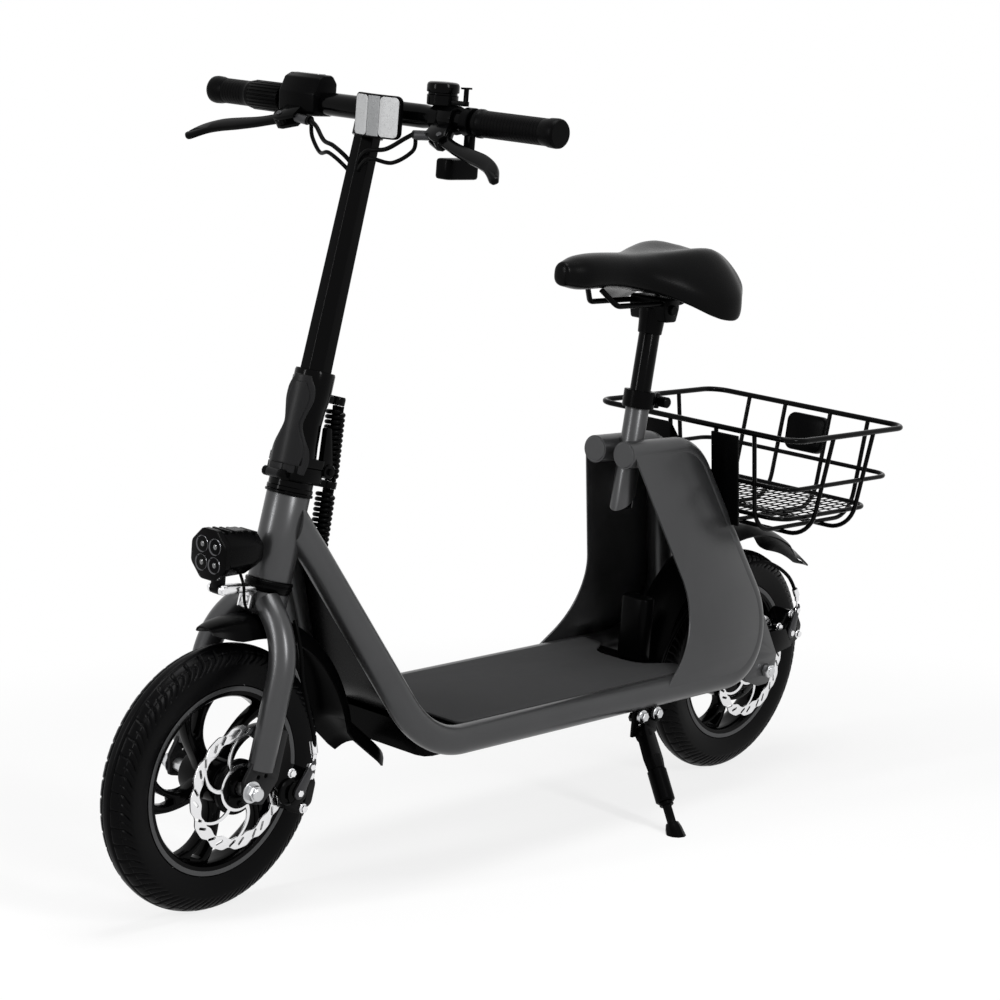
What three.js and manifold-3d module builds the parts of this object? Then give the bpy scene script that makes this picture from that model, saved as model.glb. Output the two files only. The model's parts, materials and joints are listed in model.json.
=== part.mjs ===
// Seated electric scooter: 12-inch wheels, a bent-tube frame, a folding stem, a sprung-nose saddle
// and a wire basket, standing on its side stand.
// Lengths are millimetres. X runs forward, Y to the rider's left and Z up. The machine is built
// upright, with the front axle over the origin, and leant onto its stand at the end.
import * as THREE from 'three';
import { mergeVertices } from 'three/addons/utils/BufferGeometryUtils.js';
import Module from 'manifold-3d';

const wasm = await Module();
wasm.setup();

// Angles
const degree = Math.PI / 180;
const quarterTurn = 90 * degree;
const halfTurn = 180 * degree;
const fullTurn = 360 * degree;

// Main sizes of the machine
const wheelbase = 939;
const wheelRadius = 152.4;
const headAngle = 12.29 * degree;
const axisSetback = 21.8;
const standLean = 6.04 * degree;
const runningGap = 0.3;
const overrun = 40;
const weldTolerance = 0.001;

// Wheels and tyres
const wheelFacets = 28;
const tyreWidth = 43.6;
const tyreWall = 5;
const tyreBead = 3.6;
const rimLipRadius = 108.6;
const rimInnerRadius = 97;
const rimWidth = 37;
const rimLipHeight = 4.2;
const rimLipWidth = 2.4;
const rimBarrelRise = 2.5;
const rimBarrelStep = 6.5;
const spokeCount = 5;
const spokeDepth = 17;
const spokeRootWidth = 27;
const spokeSeat = 3;
const spokeSlotLength = 27;
const spokeSlotWidth = 16;
const spokeLean = 17 * degree;
const spokePhase = 20 * degree;
const hubFacets = 16;
const hubStep = 3;
const frontHubRadius = 26;
const frontHubWidth = 58;
const motorRadius = 53;
const motorWidth = 62;
const motorCoverStep = 5;
const motorWall = 4;
const motorAirGap = 1;
const axleRadius = 6;
const axleBore = 8;

// Brake discs
const rotorRadius = 71;
const rotorRingWidth = 14;
const rotorThickness = 2;
const rotorOffset = 44;
const rotorLobes = 12;
const rotorLobeDepth = 2;
const rotorArmWidth = 4;
const rotorArms = 6;
const rotorSlots = 12;
const rotorSlotLength = 9;
const rotorSlotWidth = 2.6;
const rotorSlotLean = 35 * degree;
const rotorArmSweep = 24 * degree;
const carrierRadius = 27;
const carrierBore = 18;

// Fork and steering
const steererRadius = 14.3;
const forkSides = 10;
const shoulderBend = 90;
const tabReach = 66;
const tabWidth = 13;
const headTubeRadius = 24.5;
const headTubeLow = 221;
const headTubeHigh = 319;
const upperCupHeight = 3.2;
const cupFlangeRadius = 27;
const crownTop = 208.7;
const crownHeight = 25;
const crownRadius = 25;
const forkLegRadius = 15;
const forkLegOffset = 61;
const forkLegAhead = 12.5;
const forkLegRoot = 20;
const forkLegEnd = 20;
const forkShoulder = 160;
const dropoutThickness = 5;
const dropoutWidth = 44;
const dropoutHeight = 46;
const axleHalfLength = 75;
const axleNutRadius = 9.5;
const axleNutLength = 9;

// Frame
const frameTubeRadius = 17.5;
const loopHalfWidth = 97;
const loopHeight = 170.5;
const loopLean = 13.93 * degree;
const headJointX = -95;
const headJointY = 15;
const headJointZ = 426;
const frontBendX = -241;
const frontBendRadius = 98;
const rearBendReach = 17;
const rearBendRadius = 75;
const topBendReach = 158;
const topTubeHeight = 462;
const topBendRadius = 50;
const topTubeReach = 289;
const topTubeRise = 2.5;
const tubeSides = 8;
const seatAxisReach = 244.3;
const seatAxisRise = 20.2;
const seatAngle = 6.53 * degree;
const seatTubeRadius = 15.2;
const seatPostRadius = 13.5;
const seatTubeTop = 58;
const seatTubeMouth = -98;
const mouthCutAngle = 42 * degree;
const mouthRise = 14;
const panelThickness = 2.6;
const panelInset = 3;
const panelWaistReach = 189;
const panelWaistZ = 240;
const panelToeReach = 274;
const panelBendRadius = 90;
const frameDropoutY = 69;
const frameDropoutThickness = 5;

// Deck
const deckTop = 184.2;
const deckSheet = 2;
const matTop = 188.4;
const matHalfWidth = 93;
const matGap = 0.3;
const deckReach = 239;
const deckSideReach = 193;
const deckRearRadius = 60;
const deckHorn = 16;
const shieldTopZ = 392;
const trayDepth = 36;
const trayHalfWidth = 76;
const trayFront = -262;
const trayReach = 233;
const trayWall = 2;
const trayCorner = 14;
const batteryLength = 300;
const batteryWidth = 136;
const batteryHeight = 27;
const batteryReach = 319;
const controllerLength = 26;
const controllerWidth = 44;
const controllerHeight = 84;
const controllerCorner = 9;
const controllerY = 7;
const controllerReach = 211;

// Fenders
const fenderSheet = 2.4;
const stayRadius = 8;
const stayAngle = 62 * degree;
const stayHalf = 58;
const fenderHalfWidth = 31;
const fenderCrown = 10;
const frontFenderRadius = 172;
const frontFenderBack = 25;
const frontFenderRise = 10.6;
const frontFenderLead = 17 * degree;
const frontFenderTrail = 80 * degree;
const flapHalfWidth = 43;
const flapLength = 65;
const flapKick = 41 * degree;
const flapSlotLength = 16;
const flapSlotHeight = 4;
const rearFenderRadius = 188;
const rearFenderLead = 82 * degree;
const rearFenderTrail = 30 * degree;
const tailLength = 90;
const tailHalfWidth = 13;
const tailHoleLength = 12;
const tailHoleWidth = 7;

// Seat
const postBottom = -92;
const postTop = 150;
const saddleNoseReach = 411.5;
const saddleRise = 75;
const saddleLength = 269;
const saddleHalfWidth = 96;
const saddleThickness = 60;
const saddleNoseFall = 22;
const saddleDroop = 44;
const saddleNotch = 12;
const saddleRingPoints = 18;
const saddleRadiusShares = [0.13, 0.25, 0.29, 0.31, 0.34, 0.42, 0.58, 0.77, 0.92, 1, 0.98, 0.8];
const saddleHeightShares = [0.5, 0.68, 0.72, 0.72, 0.74, 0.78, 0.85, 0.93, 1, 1, 0.96, 0.72];
const saddleTopShares = [0.9, 0.62, 0.5, 0.48, 0.5, 0.52, 0.44, 0.26, 0.1, 0, 0.02, 0.22];
const railRadius = 3.5;
const railSpacing = 22;
const railLift = 23.77;
const railFrontReach = 347;
const railRearReach = 177;
const railRise = 20;
const railBend = 14;
const railClampWidth = 30;
const railClampHeight = 20;
const seatClampRadius = 20.5;
const seatClampLow = 37;
const seatClampHigh = 59;
const seatClampEar = 12;
const seatKnobRadius = 7;
const seatKnobLength = 11;

// Basket
const basketReach = 120;
const basketLength = 261;
const basketHalfWidth = 164;
const basketRise = 30.4;
const basketMidDrop = 67;
const basketMidInset = 11.5;
const basketFloorDrop = 111;
const basketFloorInset = 29;
const basketDepth = 132;
const basketBaseInset = 22;
const basketCorner = 26;
const wireBend = 45;
const rimWire = 3.2;
const basketWire = 2.5;
const basketWireSides = 4;
const lengthWireYs = [-100, -38, 38, 100];
const crossWireReaches = [33, -59];
const meshColumns = 7;
const meshRows = 5;
const meshStrip = 2;
const meshThickness = 1.6;
const bracketInner = 34;
const bracketOuter = 77;
const bracketThickness = 4;
const bracketFoot = 16;
const tailReflectorHalf = 41;
const tailReflectorHeight = 58;
const tailReflectorDrop = 9;
const tailReflectorThickness = 14;
const tailReflectorCorner = 12;

// Folding joint and stem
const foldHeight = 352;
const foldPinBehind = 31;
const foldPinRadius = 4;
const foldCollarRadius = 24;
const foldFlangeHeight = 15;
const foldFlangeHalfWidth = 25;
const foldFlangeFront = 22.5;
const foldFlangeRear = 26;
const foldFlangeCorner = 9;
const foldTopHeight = 11;
const knuckleHalfLength = 14;
const knuckleRadius = 8.5;
const pinHead = 3;
const castingTop = 459;
const castingWaist = 400;
const castingRootRadius = 22;
const castingWaistRadius = 19.5;
const castingTopRadius = 22.5;
const castingPad = 22.5;
const stemLow = 424;
const stemLowRadius = 19.2;
const stemHighRadius = 14.4;
const stemWall = 3;
const leverPivotAhead = 29;
const leverPivotHeight = 340;
const leverPinRadius = 3;
const leverBarrelRadius = 5.5;
const leverBarrelHalf = 9.5;
const leverLugWidth = 5;
const foldLeverTop = 452;
const foldLeverGap = 0.8;
const foldLeverThickness = 7;
const catchLow = 430;
const catchHeight = 20;
const catchWidth = 12;
const catchThickness = 5;
const catchTravel = 6;

// Handlebar and controls
const barHeight = 754;
const barBehind = 7;
const barHalfLength = 262;
const barRadius = 11.1;
const barFacets = 12;
const barCentreRadius = 13;
const barCentreHalf = 72;
const gripRadius = 15.6;
const gripWaist = 1.2;
const gripInner = 152;
const gripOuter = 267;
const gripCap = 3;
const twistInner = 147;
const twistOuter = 196;
const twistRadius = 17;
const twistRibs = 12;
const housingInner = 82;
const housingOuter = 140;
const housingRise = 30;
const housingDrop = 15;
const housingAhead = 19;
const housingBehind = 17;
const leverDroop = 38.5 * degree;
const leverPivotReach = 34;
const leverPivotY = 124;
const leverPinHeight = 8;
const leverWidth = 13;
const leverThickness = 7.5;
const leverBallRadius = 7.5;
const leverLength = 112;
const leverReachOut = 48;
const perchY = 112;
const perchWidth = 20;
const perchWall = 4;
const perchPlate = 4;
const adjusterRadius = 5;
const adjusterLength = 22;
const bellRadius = 17.5;
const bellHeight = 17;
const bellWall = 2;
const bellY = 96;
const bellBase = 16;
const bellLeverLength = 36;
const bellLeverHeight = 5;
const bellTabHeight = 20;
const bellTabWidth = 14;
const switchY = 140;
const switchWidth = 11;
const switchBoxHalf = 13;
const switchBoxTop = 38;
const switchBoxDepth = 24;
const switchBoxAhead = 42;
const switchButtonRadius = 5;
const switchTravel = 2;
const reflectorY = 20;
const reflectorWidth = 48;
const reflectorHeight = 47;
const reflectorThickness = 11;
const reflectorBow = 5;
const reflectorLow = -27;
const reflectorStandOff = 8;

// Lamp
const lampAhead = 25;
const lampBack = -40;
const lampHeight = 408;
const lampRadius = 29.5;
const lampSides = 12;
const lampFins = 5;
const lampFinDepth = 5;
const lampFinGap = 3.6;
const lampLugWidth = 12;
const lampLugLow = 368;
const lampLugX = 8;
const strapPin = 2.6;
const strapThickness = 2.4;
const strapWidth = 13;

// Side stand
const standReach = 299;
const standBracketLength = 48;
const standBracketWidth = 16;
const standPlate = 4;
const standPivotReach = 307;
const standPivotY = 113;
const standPivotZ = 124;
const standLegForward = 30;
const standLegSpread = 83;
const standLegDrop = 104;
const standRodRadius = 6;
const standHeadRadius = 12;
const standHeadThickness = 8;
const standSleeveRadius = 10.5;
const standSleeveStart = 30;
const standSleeveEnd = 92;
const standFootRadius = 14.5;
const standFootHeight = 16;
const standBoltRadius = 6.5;

// Calipers
const frontCaliperTurn = 1 * degree;
const rearCaliperTurn = 34 * degree;
const frontArmTurn = 70 * degree;
const rearArmTurn = 40 * degree;
const caliperReach = 83;
const caliperHalfHeight = 26;
const caliperDepth = 42;
const caliperInside = 30;
const caliperOutside = 58;
const caliperCorner = 8;
const caliperSlot = 5;
const caliperPotRadius = 15;
const caliperPotReach = 62;
const caliperBracket = 4;
const caliperArmThickness = 3.5;
const caliperArmLength = 38;
const caliperArmWidth = 12;

// Cables
const cableRadius = 2.5;
const cableSides = 6;
const cableLoom = 6;
const loomStart = 79;
const loomStartAhead = 25;
const loomStartDrop = 19;
const cableDrop = 63;
const stemMeet = 41;
const bundleRadius = 8.5;
const bundleWire = 2.1;
const bundleCurlSteps = 8;
const bundleWireSides = 5;
const bundlePitch = 5.9;
const bundleGap = 0.4;
const bundleFoot = 65;
const bundleAtClip = 57;
const bundleHead = 44;
const framePortTop = 257;
const framePortHeight = 17;
const stemPortLow = 426;
const stemPortHeight = 12;
const clipHeight = 8;
const clipLow = 333;

// Brake cable routes, chosen by hand: the front one in the steering frame, the rear one from the rear
// axle's place on the ground
const frontCableRoute = [
  [-22, 30, 184], [-25, 36, 170], [-31, 42, 148], [-38, 47, 120], [-47, 55, 92], [-58, 62, 62],
  [-64, 64, 42],
];
const rearCableRoute = [
  [201, 48, 186], [187, 47, 212], [149, 45, 252], [99, 43, 282], [44, 45, 296], [-6, 52, 297],
  [-46, 60, 276], [-67, 64, 246],
];

// Places that follow the rear axle, the top tube or the seat post
const rearBendX = rearBendReach - wheelbase;
const topBendX = topBendReach - wheelbase;
const topTubeEnd = topTubeReach - wheelbase;
const seatAxisX = seatAxisReach - wheelbase;
const panelWaistX = panelWaistReach - wheelbase;
const panelToeX = panelToeReach - wheelbase;
const deckRear = deckReach - wheelbase;
const deckRearSide = deckSideReach - wheelbase;
const trayRear = trayReach - wheelbase;
const batteryRear = batteryReach - wheelbase;
const controllerX = controllerReach - wheelbase;
const saddleNoseX = saddleNoseReach - wheelbase;
const railFront = railFrontReach - wheelbase;
const railRear = railRearReach - wheelbase;
const basketFront = basketReach - wheelbase;
const standX = standReach - wheelbase;
const standPivotX = standPivotReach - wheelbase;
const crossWireXs = crossWireReaches.map((reach) => reach - wheelbase);
const seatAxisZ = topTubeHeight + seatAxisRise;
const basketTop = topTubeHeight + basketRise;
const railHeight = seatAxisZ + postTop * Math.cos(seatAngle) + railLift;
const saddleTop = railHeight + saddleRise;

// Surfaces
const surface = (color, roughness, metalness) =>
  new THREE.MeshStandardMaterial({ color, roughness, metalness });
const charcoal = surface(0x56575a, 0.42, 0.55);
const blackMetal = surface(0x141415, 0.38, 0.5);
const blackPlastic = surface(0x17171a, 0.5, 0);
const rubber = surface(0x1a1a1b, 0.75, 0);
const leatherette = surface(0x1c1c1e, 0.4, 0);
const brightSteel = surface(0xc8c9cc, 0.25, 1);
const matRubber = surface(0x3c3d3f, 0.85, 0);
const reflectorLens = surface(0xd9d9d6, 0.2, 0);

// Points and outlines
const at = (x, y, z = 0) => new THREE.Vector3(x, y, z);
const polar = (radius, angle) => at(radius * Math.cos(angle), radius * Math.sin(angle));
const outline = (points) => new THREE.Shape(points.map((p) => new THREE.Vector2(p.x, p.y)));
const mix = THREE.MathUtils.lerp;
const steps = (count) => Array.from({ length: count + 1 }, (_, i) => i / count);

// A ring of points on a circle, with a flat side down.
function circlePoints(radius, sides, centre = at(0, 0)) {
  const angles = steps(sides).slice(0, sides).map((share) => (share + 0.5 / sides) * fullTurn);
  return angles.map((angle) => polar(radius, angle).add(centre));
}

const disc = (radius, sides) => outline(circlePoints(radius, sides));

// A hole to cut in an outline.
const hole = (points) => new THREE.Path(points.map((p) => new THREE.Vector2(p.x, p.y)));

// A polyline whose corners become arcs; one radius for all of them, or a list with one for each.
function rounded(corners, radii, arcSteps, closed = false) {
  const count = corners.length;
  const radiusOf = (i) => (Array.isArray(radii) ? radii[i] : radii);
  const isSharp = (i) => radiusOf(i) === 0 || (!closed && (i === 0 || i === count - 1));
  return corners.flatMap((corner, i) => {
    if (isSharp(i)) return [corner.clone()];
    const back = corners[(i + count - 1) % count].clone().sub(corner).normalize();
    const ahead = corners[(i + 1) % count].clone().sub(corner).normalize();
    const inner = back.angleTo(ahead);
    const middle = back.clone().add(ahead).normalize();
    const centre = corner.clone().addScaledVector(middle, radiusOf(i) / Math.sin(inner / 2));
    const reach = radiusOf(i) / Math.tan(inner / 2);
    const first = corner.clone().addScaledVector(back, reach).sub(centre);
    const last = corner.clone().addScaledVector(ahead, reach).sub(centre);
    const sweep = Math.PI - inner;
    return steps(arcSteps).map((share) => {
      const near = Math.sin((1 - share) * sweep) / Math.sin(sweep);
      const far = Math.sin(share * sweep) / Math.sin(sweep);
      return centre.clone().addScaledVector(first, near).addScaledVector(last, far);
    });
  });
}

// A curve that runs straight from each point to the next, square to the bend at each.
class Route extends THREE.Curve {
  constructor(points) {
    super();
    this.points = points;
  }

  getPoint(t) {
    const place = t * (this.points.length - 1);
    const i = Math.min(Math.floor(place), this.points.length - 2);
    return this.points[i].clone().lerp(this.points[i + 1], place - i);
  }

  getPointAt(t) {
    return this.getPoint(t);
  }

  getTangentAt(t) {
    const last = this.points.length - 1;
    const i = Math.round(t * last);
    const here = this.points[i];
    const before = here.clone().sub(this.points[Math.max(i - 1, 0)]).normalize();
    const after = this.points[Math.min(i + 1, last)].clone().sub(here).normalize();
    return before.add(after).normalize();
  }
}

// Shapes as geometries
const sweep = (shape, points) => new THREE.ExtrudeGeometry(shape, {
  steps: points.length - 1,
  extrudePath: new Route(points),
});

const tube = (points, radius, sides) => sweep(disc(radius, sides), points);

// A sheet cut to an outline in X and Y, rising from Z = 0.
const slab = (shape, thickness) =>
  new THREE.ExtrudeGeometry(shape, { depth: thickness, bevelEnabled: false });

// The same, stood on edge: the outline's Y becomes Z, and the sheet is centred on y.
const sideSlab = (shape, thickness, y = 0) =>
  slab(shape, thickness).rotateX(quarterTurn).translate(0, y + thickness / 2, 0);

// A body turned about Y from [radius, height] pairs.
function turned(profile, facets) {
  const points = profile.map(([radius, height]) => new THREE.Vector2(radius, height));
  return new THREE.LatheGeometry(points, facets, fullTurn / facets / 2);
}

const turnedUp = (profile, facets) => turned(profile, facets).rotateX(quarterTurn);
const ringOf = (profile) => [...profile, profile[0]];
const rod = (radius, length, facets) =>
  new THREE.CylinderGeometry(radius, radius, length, facets, 1, false, fullTurn / facets / 2);
const rodUp = (radius, low, high, facets) =>
  rod(radius, high - low, facets).rotateX(quarterTurn).translate(0, 0, (low + high) / 2);
const block = (low, high) => {
  const size = high.clone().sub(low);
  const middle = high.clone().add(low).multiplyScalar(0.5);
  return new THREE.BoxGeometry(size.x, size.y, size.z).translate(middle.x, middle.y, middle.z);
};

// A skin through rings of points, closed at both ends.
function lofted(rings) {
  const size = rings[0].length;
  const points = rings.flat();
  const faces = [];
  for (let i = 0; i + 1 < rings.length; i += 1) {
    for (let j = 0; j < size; j += 1) {
      const [a, b] = [i * size + j, i * size + ((j + 1) % size)];
      faces.push(a, b, b + size, a, b + size, a + size);
    }
  }
  for (const [ring, turn] of [[0, 1], [rings.length - 1, 0]]) {
    const first = ring * size;
    const centre = points.length;
    points.push(rings[ring].reduce((sum, p) => sum.add(p), at(0, 0)).multiplyScalar(1 / size));
    for (let j = 0; j < size; j += 1) {
      const pair = [first + j, first + ((j + 1) % size)];
      faces.push(centre, pair[turn], pair[1 - turn]);
    }
  }
  const geometry = new THREE.BufferGeometry().setFromPoints(points);
  geometry.setIndex(faces);
  return geometry;
}

// A straight round bar between two points.
function bar(start, end, radius, facets) {
  const along = end.clone().sub(start);
  const middle = start.clone().add(end).multiplyScalar(0.5);
  const turn = new THREE.Quaternion().setFromUnitVectors(at(0, 1, 0), along.clone().normalize());
  return rod(radius, along.length(), facets)
    .applyQuaternion(turn)
    .translate(middle.x, middle.y, middle.z);
}

// Solids
// A closed three.js geometry as a solid; end faces that meet back to back cancel out.
function solid(geometry) {
  const bare = geometry.clone();
  bare.deleteAttribute('normal');
  bare.deleteAttribute('uv');
  const welded = mergeVertices(bare, weldTolerance);
  const corners = welded.attributes.position.array;
  const index = Array.from(welded.index.array);
  const kept = new Map();
  let volume = 0;
  for (let i = 0; i < index.length; i += 3) {
    const face = index.slice(i, i + 3);
    if (new Set(face).size < 3) continue;
    const key = [...face].sort((a, b) => a - b).join();
    if (!kept.delete(key)) kept.set(key, face);
    const [p, q, r] = face.map((k) => new THREE.Vector3().fromArray(corners, 3 * k));
    volume += p.dot(q.cross(r));
  }
  const faces = [...kept.values()].flat();
  const triVerts = Uint32Array.from(volume < 0 ? faces.reverse() : faces);
  return new wasm.Manifold(new wasm.Mesh({ numProp: 3, vertProperties: corners, triVerts }));
}

const asSolid = (form) => (form.isBufferGeometry ? solid(form) : form);
const joined = (first, ...others) =>
  others.flat().reduce((whole, next) => whole.add(asSolid(next)), asSolid(first));
const cut = (first, ...tools) =>
  tools.flat().reduce((whole, tool) => whole.subtract(asSolid(tool)), asSolid(first));
const shared = (first, second) => asSolid(first).intersect(asSolid(second));
const mirrored = (geometry) => geometry.clone().scale(1, -1, 1);
const onSide = (side, geometry) => (side > 0 ? geometry : mirrored(geometry));

// A named part of the machine in its group.
function piece(parent, name, material, form) {
  const made = asSolid(form).getMesh();
  const geometry = new THREE.BufferGeometry();
  geometry.setAttribute('position', new THREE.BufferAttribute(made.vertProperties, 3));
  geometry.setIndex(new THREE.BufferAttribute(made.triVerts, 1));
  geometry.computeVertexNormals();
  const mesh = new THREE.Mesh(geometry, material);
  mesh.name = name;
  parent.add(mesh);
  return mesh;
}

// A group at a place, turned about the cross axis.
function frameAt(parent, place, turn = 0) {
  const group = new THREE.Group();
  group.position.copy(place);
  group.rotation.y = turn;
  parent.add(group);
  return group;
}

// Groups of the machine, from the lean down
const scooter = new THREE.Group();
const upright = new THREE.Group();
upright.rotation.x = -standLean;
scooter.add(upright);

const axleAhead = axisSetback * Math.cos(headAngle);
const axleDrop = axisSetback * Math.sin(headAngle);
const steering = frameAt(upright, at(-axisSetback, 0, wheelRadius), -headAngle);
const frontHub = frameAt(upright, at(0, 0, wheelRadius));
const rearHub = frameAt(upright, at(-wheelbase, 0, wheelRadius));
const seat = frameAt(upright, at(seatAxisX, 0, seatAxisZ), -seatAngle);

// Tyres
const sectionHalf = tyreWidth / 2;
const sectionCentre = wheelRadius - sectionHalf;
const facetReach = 1 / Math.cos(Math.PI / wheelFacets);
const rimSeatRadius = rimLipRadius - rimLipHeight;
const beadOuter = rimWidth / 2 - rimLipWidth - 2 * runningGap;
const beadInner = beadOuter - tyreBead;

function tyre() {
  const crown = steps(4).map((share) => {
    const angle = mix(-quarterTurn, quarterTurn, share);
    const reach = sectionCentre + sectionHalf * Math.cos(angle);
    return [reach * facetReach, sectionHalf * Math.sin(angle)];
  });
  const lip = rimLipRadius + runningGap;
  const heel = rimSeatRadius + runningGap;
  const side = (sign) => [
    [lip, sign * rimWidth / 2],
    [lip, sign * beadOuter],
    [heel, sign * beadOuter],
    [heel, sign * beadInner],
    [sectionCentre, sign * (sectionHalf - tyreWall)],
  ];
  const inside = [wheelRadius - tyreWall, 0];
  return turned(ringOf([...crown, ...side(1), inside, ...side(-1).reverse()]), wheelFacets);
}

// Wheels
function rim() {
  const half = rimWidth / 2;
  const barrel = rimInnerRadius - rimBarrelRise;
  const side = (sign) => [
    [rimSeatRadius, sign * (beadInner - runningGap)],
    [rimSeatRadius, sign * (beadOuter + runningGap)],
    [rimLipRadius, sign * (half - rimLipWidth)],
    [rimLipRadius, sign * half],
    [rimInnerRadius, sign * half],
    [barrel, sign * (half - rimBarrelStep)],
  ];
  return turned(ringOf([...side(1), ...side(-1).reverse()]), wheelFacets);
}

// One Y-shaped spoke: it sweeps back as it rises and opens in a slot at the rim.
function spoke(hubRadius) {
  const inner = hubRadius - spokeSeat;
  const outer = rimInnerRadius - spokeSeat / 2;
  const radiusShares = [0, 0.35, 0.7, 1];
  const widthShares = [1, 0.62, 1.3, 1.85];
  const edge = (sign) => radiusShares.map((share, i) => {
    const radius = mix(inner, outer, share);
    const half = (widthShares[i] * spokeRootWidth) / 2;
    return polar(radius, spokeLean * share * share + (sign * half) / radius);
  });
  const shape = outline([...edge(-1), ...edge(1).reverse()]);
  const middle = outer - spokeSlotLength / 2 - spokeSlotWidth / 2;
  const turn = spokeLean * ((middle - inner) / (outer - inner)) ** 2;
  const slotEnd = (sign) => at(middle + (sign * spokeSlotLength) / 2, 0);
  const halfSlot = spokeSlotWidth / 2;
  const slotPoints = [
    slotEnd(-1).add(at(0, halfSlot * 0.3)),
    slotEnd(1).add(at(0, halfSlot)),
    slotEnd(1).add(at(0, -halfSlot)),
    slotEnd(-1).add(at(0, -halfSlot * 0.3)),
  ];
  shape.holes.push(hole(slotPoints.map((p) => p.applyAxisAngle(at(0, 0, 1), turn))));
  return sideSlab(shape, spokeDepth);
}

// The boss that carries the disc, with its pilot through the disc's bore.
const rotorFace = rotorOffset - rotorThickness / 2 - runningGap;
const pilotRadius = carrierBore - runningGap;
const bossProfile = () => [
  [carrierRadius, rotorFace],
  [pilotRadius, rotorFace],
  [pilotRadius, rotorOffset + rotorThickness],
  [axleBore, rotorOffset + rotorThickness],
];

function frontHubBody() {
  const half = frontHubWidth / 2;
  return turned(ringOf([
    [axleBore, -half],
    [frontHubRadius - hubStep, -half],
    [frontHubRadius, hubStep - half],
    [frontHubRadius, half - hubStep],
    [carrierRadius - hubStep, half],
    ...bossProfile(),
  ]), hubFacets);
}

// The hub motor's shell; its hollow holds the stator, which the axle carries.
function motorShell() {
  const half = motorWidth / 2;
  const inside = half - motorWall;
  return turned(ringOf([
    [axleBore, -half],
    [motorRadius - motorCoverStep, -half],
    [motorRadius, motorCoverStep - half],
    [motorRadius, half - motorCoverStep],
    [motorRadius - motorCoverStep, half],
    [carrierRadius, half],
    ...bossProfile(),
    [axleBore, inside],
    [motorRadius - motorWall, inside],
    [motorRadius - motorWall, -inside],
    [axleBore, -inside],
  ]), hubFacets);
}

function spokedWheel(hubRadius, hub) {
  const angles = steps(spokeCount).slice(0, spokeCount).map((share) => share * fullTurn);
  const spokes = angles.map((angle) => spoke(hubRadius).rotateY(angle + spokePhase));
  return joined(hub, rim(), spokes);
}

// Brake discs: a lobed ring with slanted slots, on swept arms
function rotor() {
  const ringInner = rotorRadius - rotorRingWidth;
  const lobePoints = steps(rotorLobes * 2).slice(0, rotorLobes * 2).map((share) => {
    const wave = Math.cos(share * rotorLobes * fullTurn);
    return polar(rotorRadius - (rotorLobeDepth / 2) * (1 - wave), share * fullTurn);
  });
  const shape = outline(lobePoints);
  shape.holes.push(hole(circlePoints(carrierBore, hubFacets)));
  const armTurn = fullTurn / rotorArms;
  const armHalf = (radius) => rotorArmWidth / 2 / radius;
  for (let i = 0; i < rotorArms; i += 1) {
    const sweepAt = (share) => rotorArmSweep * share + i * armTurn;
    const outer = steps(2).map((share) => polar(ringInner,
      mix(sweepAt(1) + armHalf(ringInner), sweepAt(1) + armTurn - armHalf(ringInner), share)));
    const inner = steps(1).map((share) => polar(carrierRadius,
      mix(sweepAt(0) + armHalf(carrierRadius), sweepAt(0) + armTurn - armHalf(carrierRadius), share)));
    shape.holes.push(hole([...outer, ...inner.reverse()]));
  }
  const slotMiddle = rotorRadius - rotorRingWidth / 2 - rotorLobeDepth / 2;
  for (let i = 0; i < rotorSlots; i += 1) {
    const centre = at(slotMiddle, 0);
    const half = at(rotorSlotLength / 2, 0).applyAxisAngle(at(0, 0, 1), rotorSlotLean);
    const across = at(0, rotorSlotWidth / 2);
    const corners = [
      centre.clone().add(half).add(across),
      centre.clone().sub(half).add(across),
      centre.clone().sub(half).sub(across),
      centre.clone().add(half).sub(across),
    ];
    const turn = ((i + 0.5) / rotorSlots) * fullTurn;
    shape.holes.push(hole(corners.map((p) => p.applyAxisAngle(at(0, 0, 1), turn))));
  }
  return sideSlab(shape, rotorThickness, rotorOffset);
}

// An axle with its nuts outside the dropouts and a spacer to the hub on each side.
function axleWith(faceY, halfLength, hubRight, extra = []) {
  const nutInside = faceY + runningGap;
  const nut = (side) => rod(axleNutRadius, axleNutLength, 6)
    .translate(0, side * (nutInside + axleNutLength / 2), 0);
  const spacerOut = faceY - dropoutThickness - runningGap;
  const spacer = (from) => {
    const reach = Math.abs(spacerOut - from);
    return rod(axleBore, reach, hubFacets / 2).translate(0, (spacerOut + from) / 2, 0);
  };
  const leftFrom = rotorOffset + rotorThickness + runningGap;
  const rightFrom = hubRight + runningGap;
  return joined(
    rod(axleRadius, 2 * halfLength, hubFacets / 2),
    nut(1),
    nut(-1),
    spacer(leftFrom),
    mirrored(spacer(rightFrom)),
    extra,
  );
}

const forkFace = forkLegOffset + dropoutThickness / 2;
const frameFace = frameDropoutY + frameDropoutThickness / 2;
piece(frontHub, 'front_tyre', rubber, tyre());
piece(frontHub, 'front_wheel', blackMetal, spokedWheel(frontHubRadius, frontHubBody()));
piece(frontHub, 'front_rotor', brightSteel, rotor());
piece(frontHub, 'front_axle', brightSteel, axleWith(forkFace, axleHalfLength, frontHubWidth / 2));

const statorRadius = motorRadius - motorWall - motorAirGap;
const statorHalf = motorWidth / 2 - motorWall - motorAirGap;
const stator = rod(statorRadius, 2 * statorHalf, hubFacets);
piece(rearHub, 'rear_tyre', rubber, tyre());
piece(rearHub, 'rear_wheel', blackMetal, spokedWheel(motorRadius, motorShell()));
piece(rearHub, 'rear_rotor', brightSteel, rotor());
piece(rearHub, 'rear_axle', brightSteel,
  axleWith(frameFace, axleHalfLength + frameFace - forkFace, motorWidth / 2, [stator]));

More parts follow.
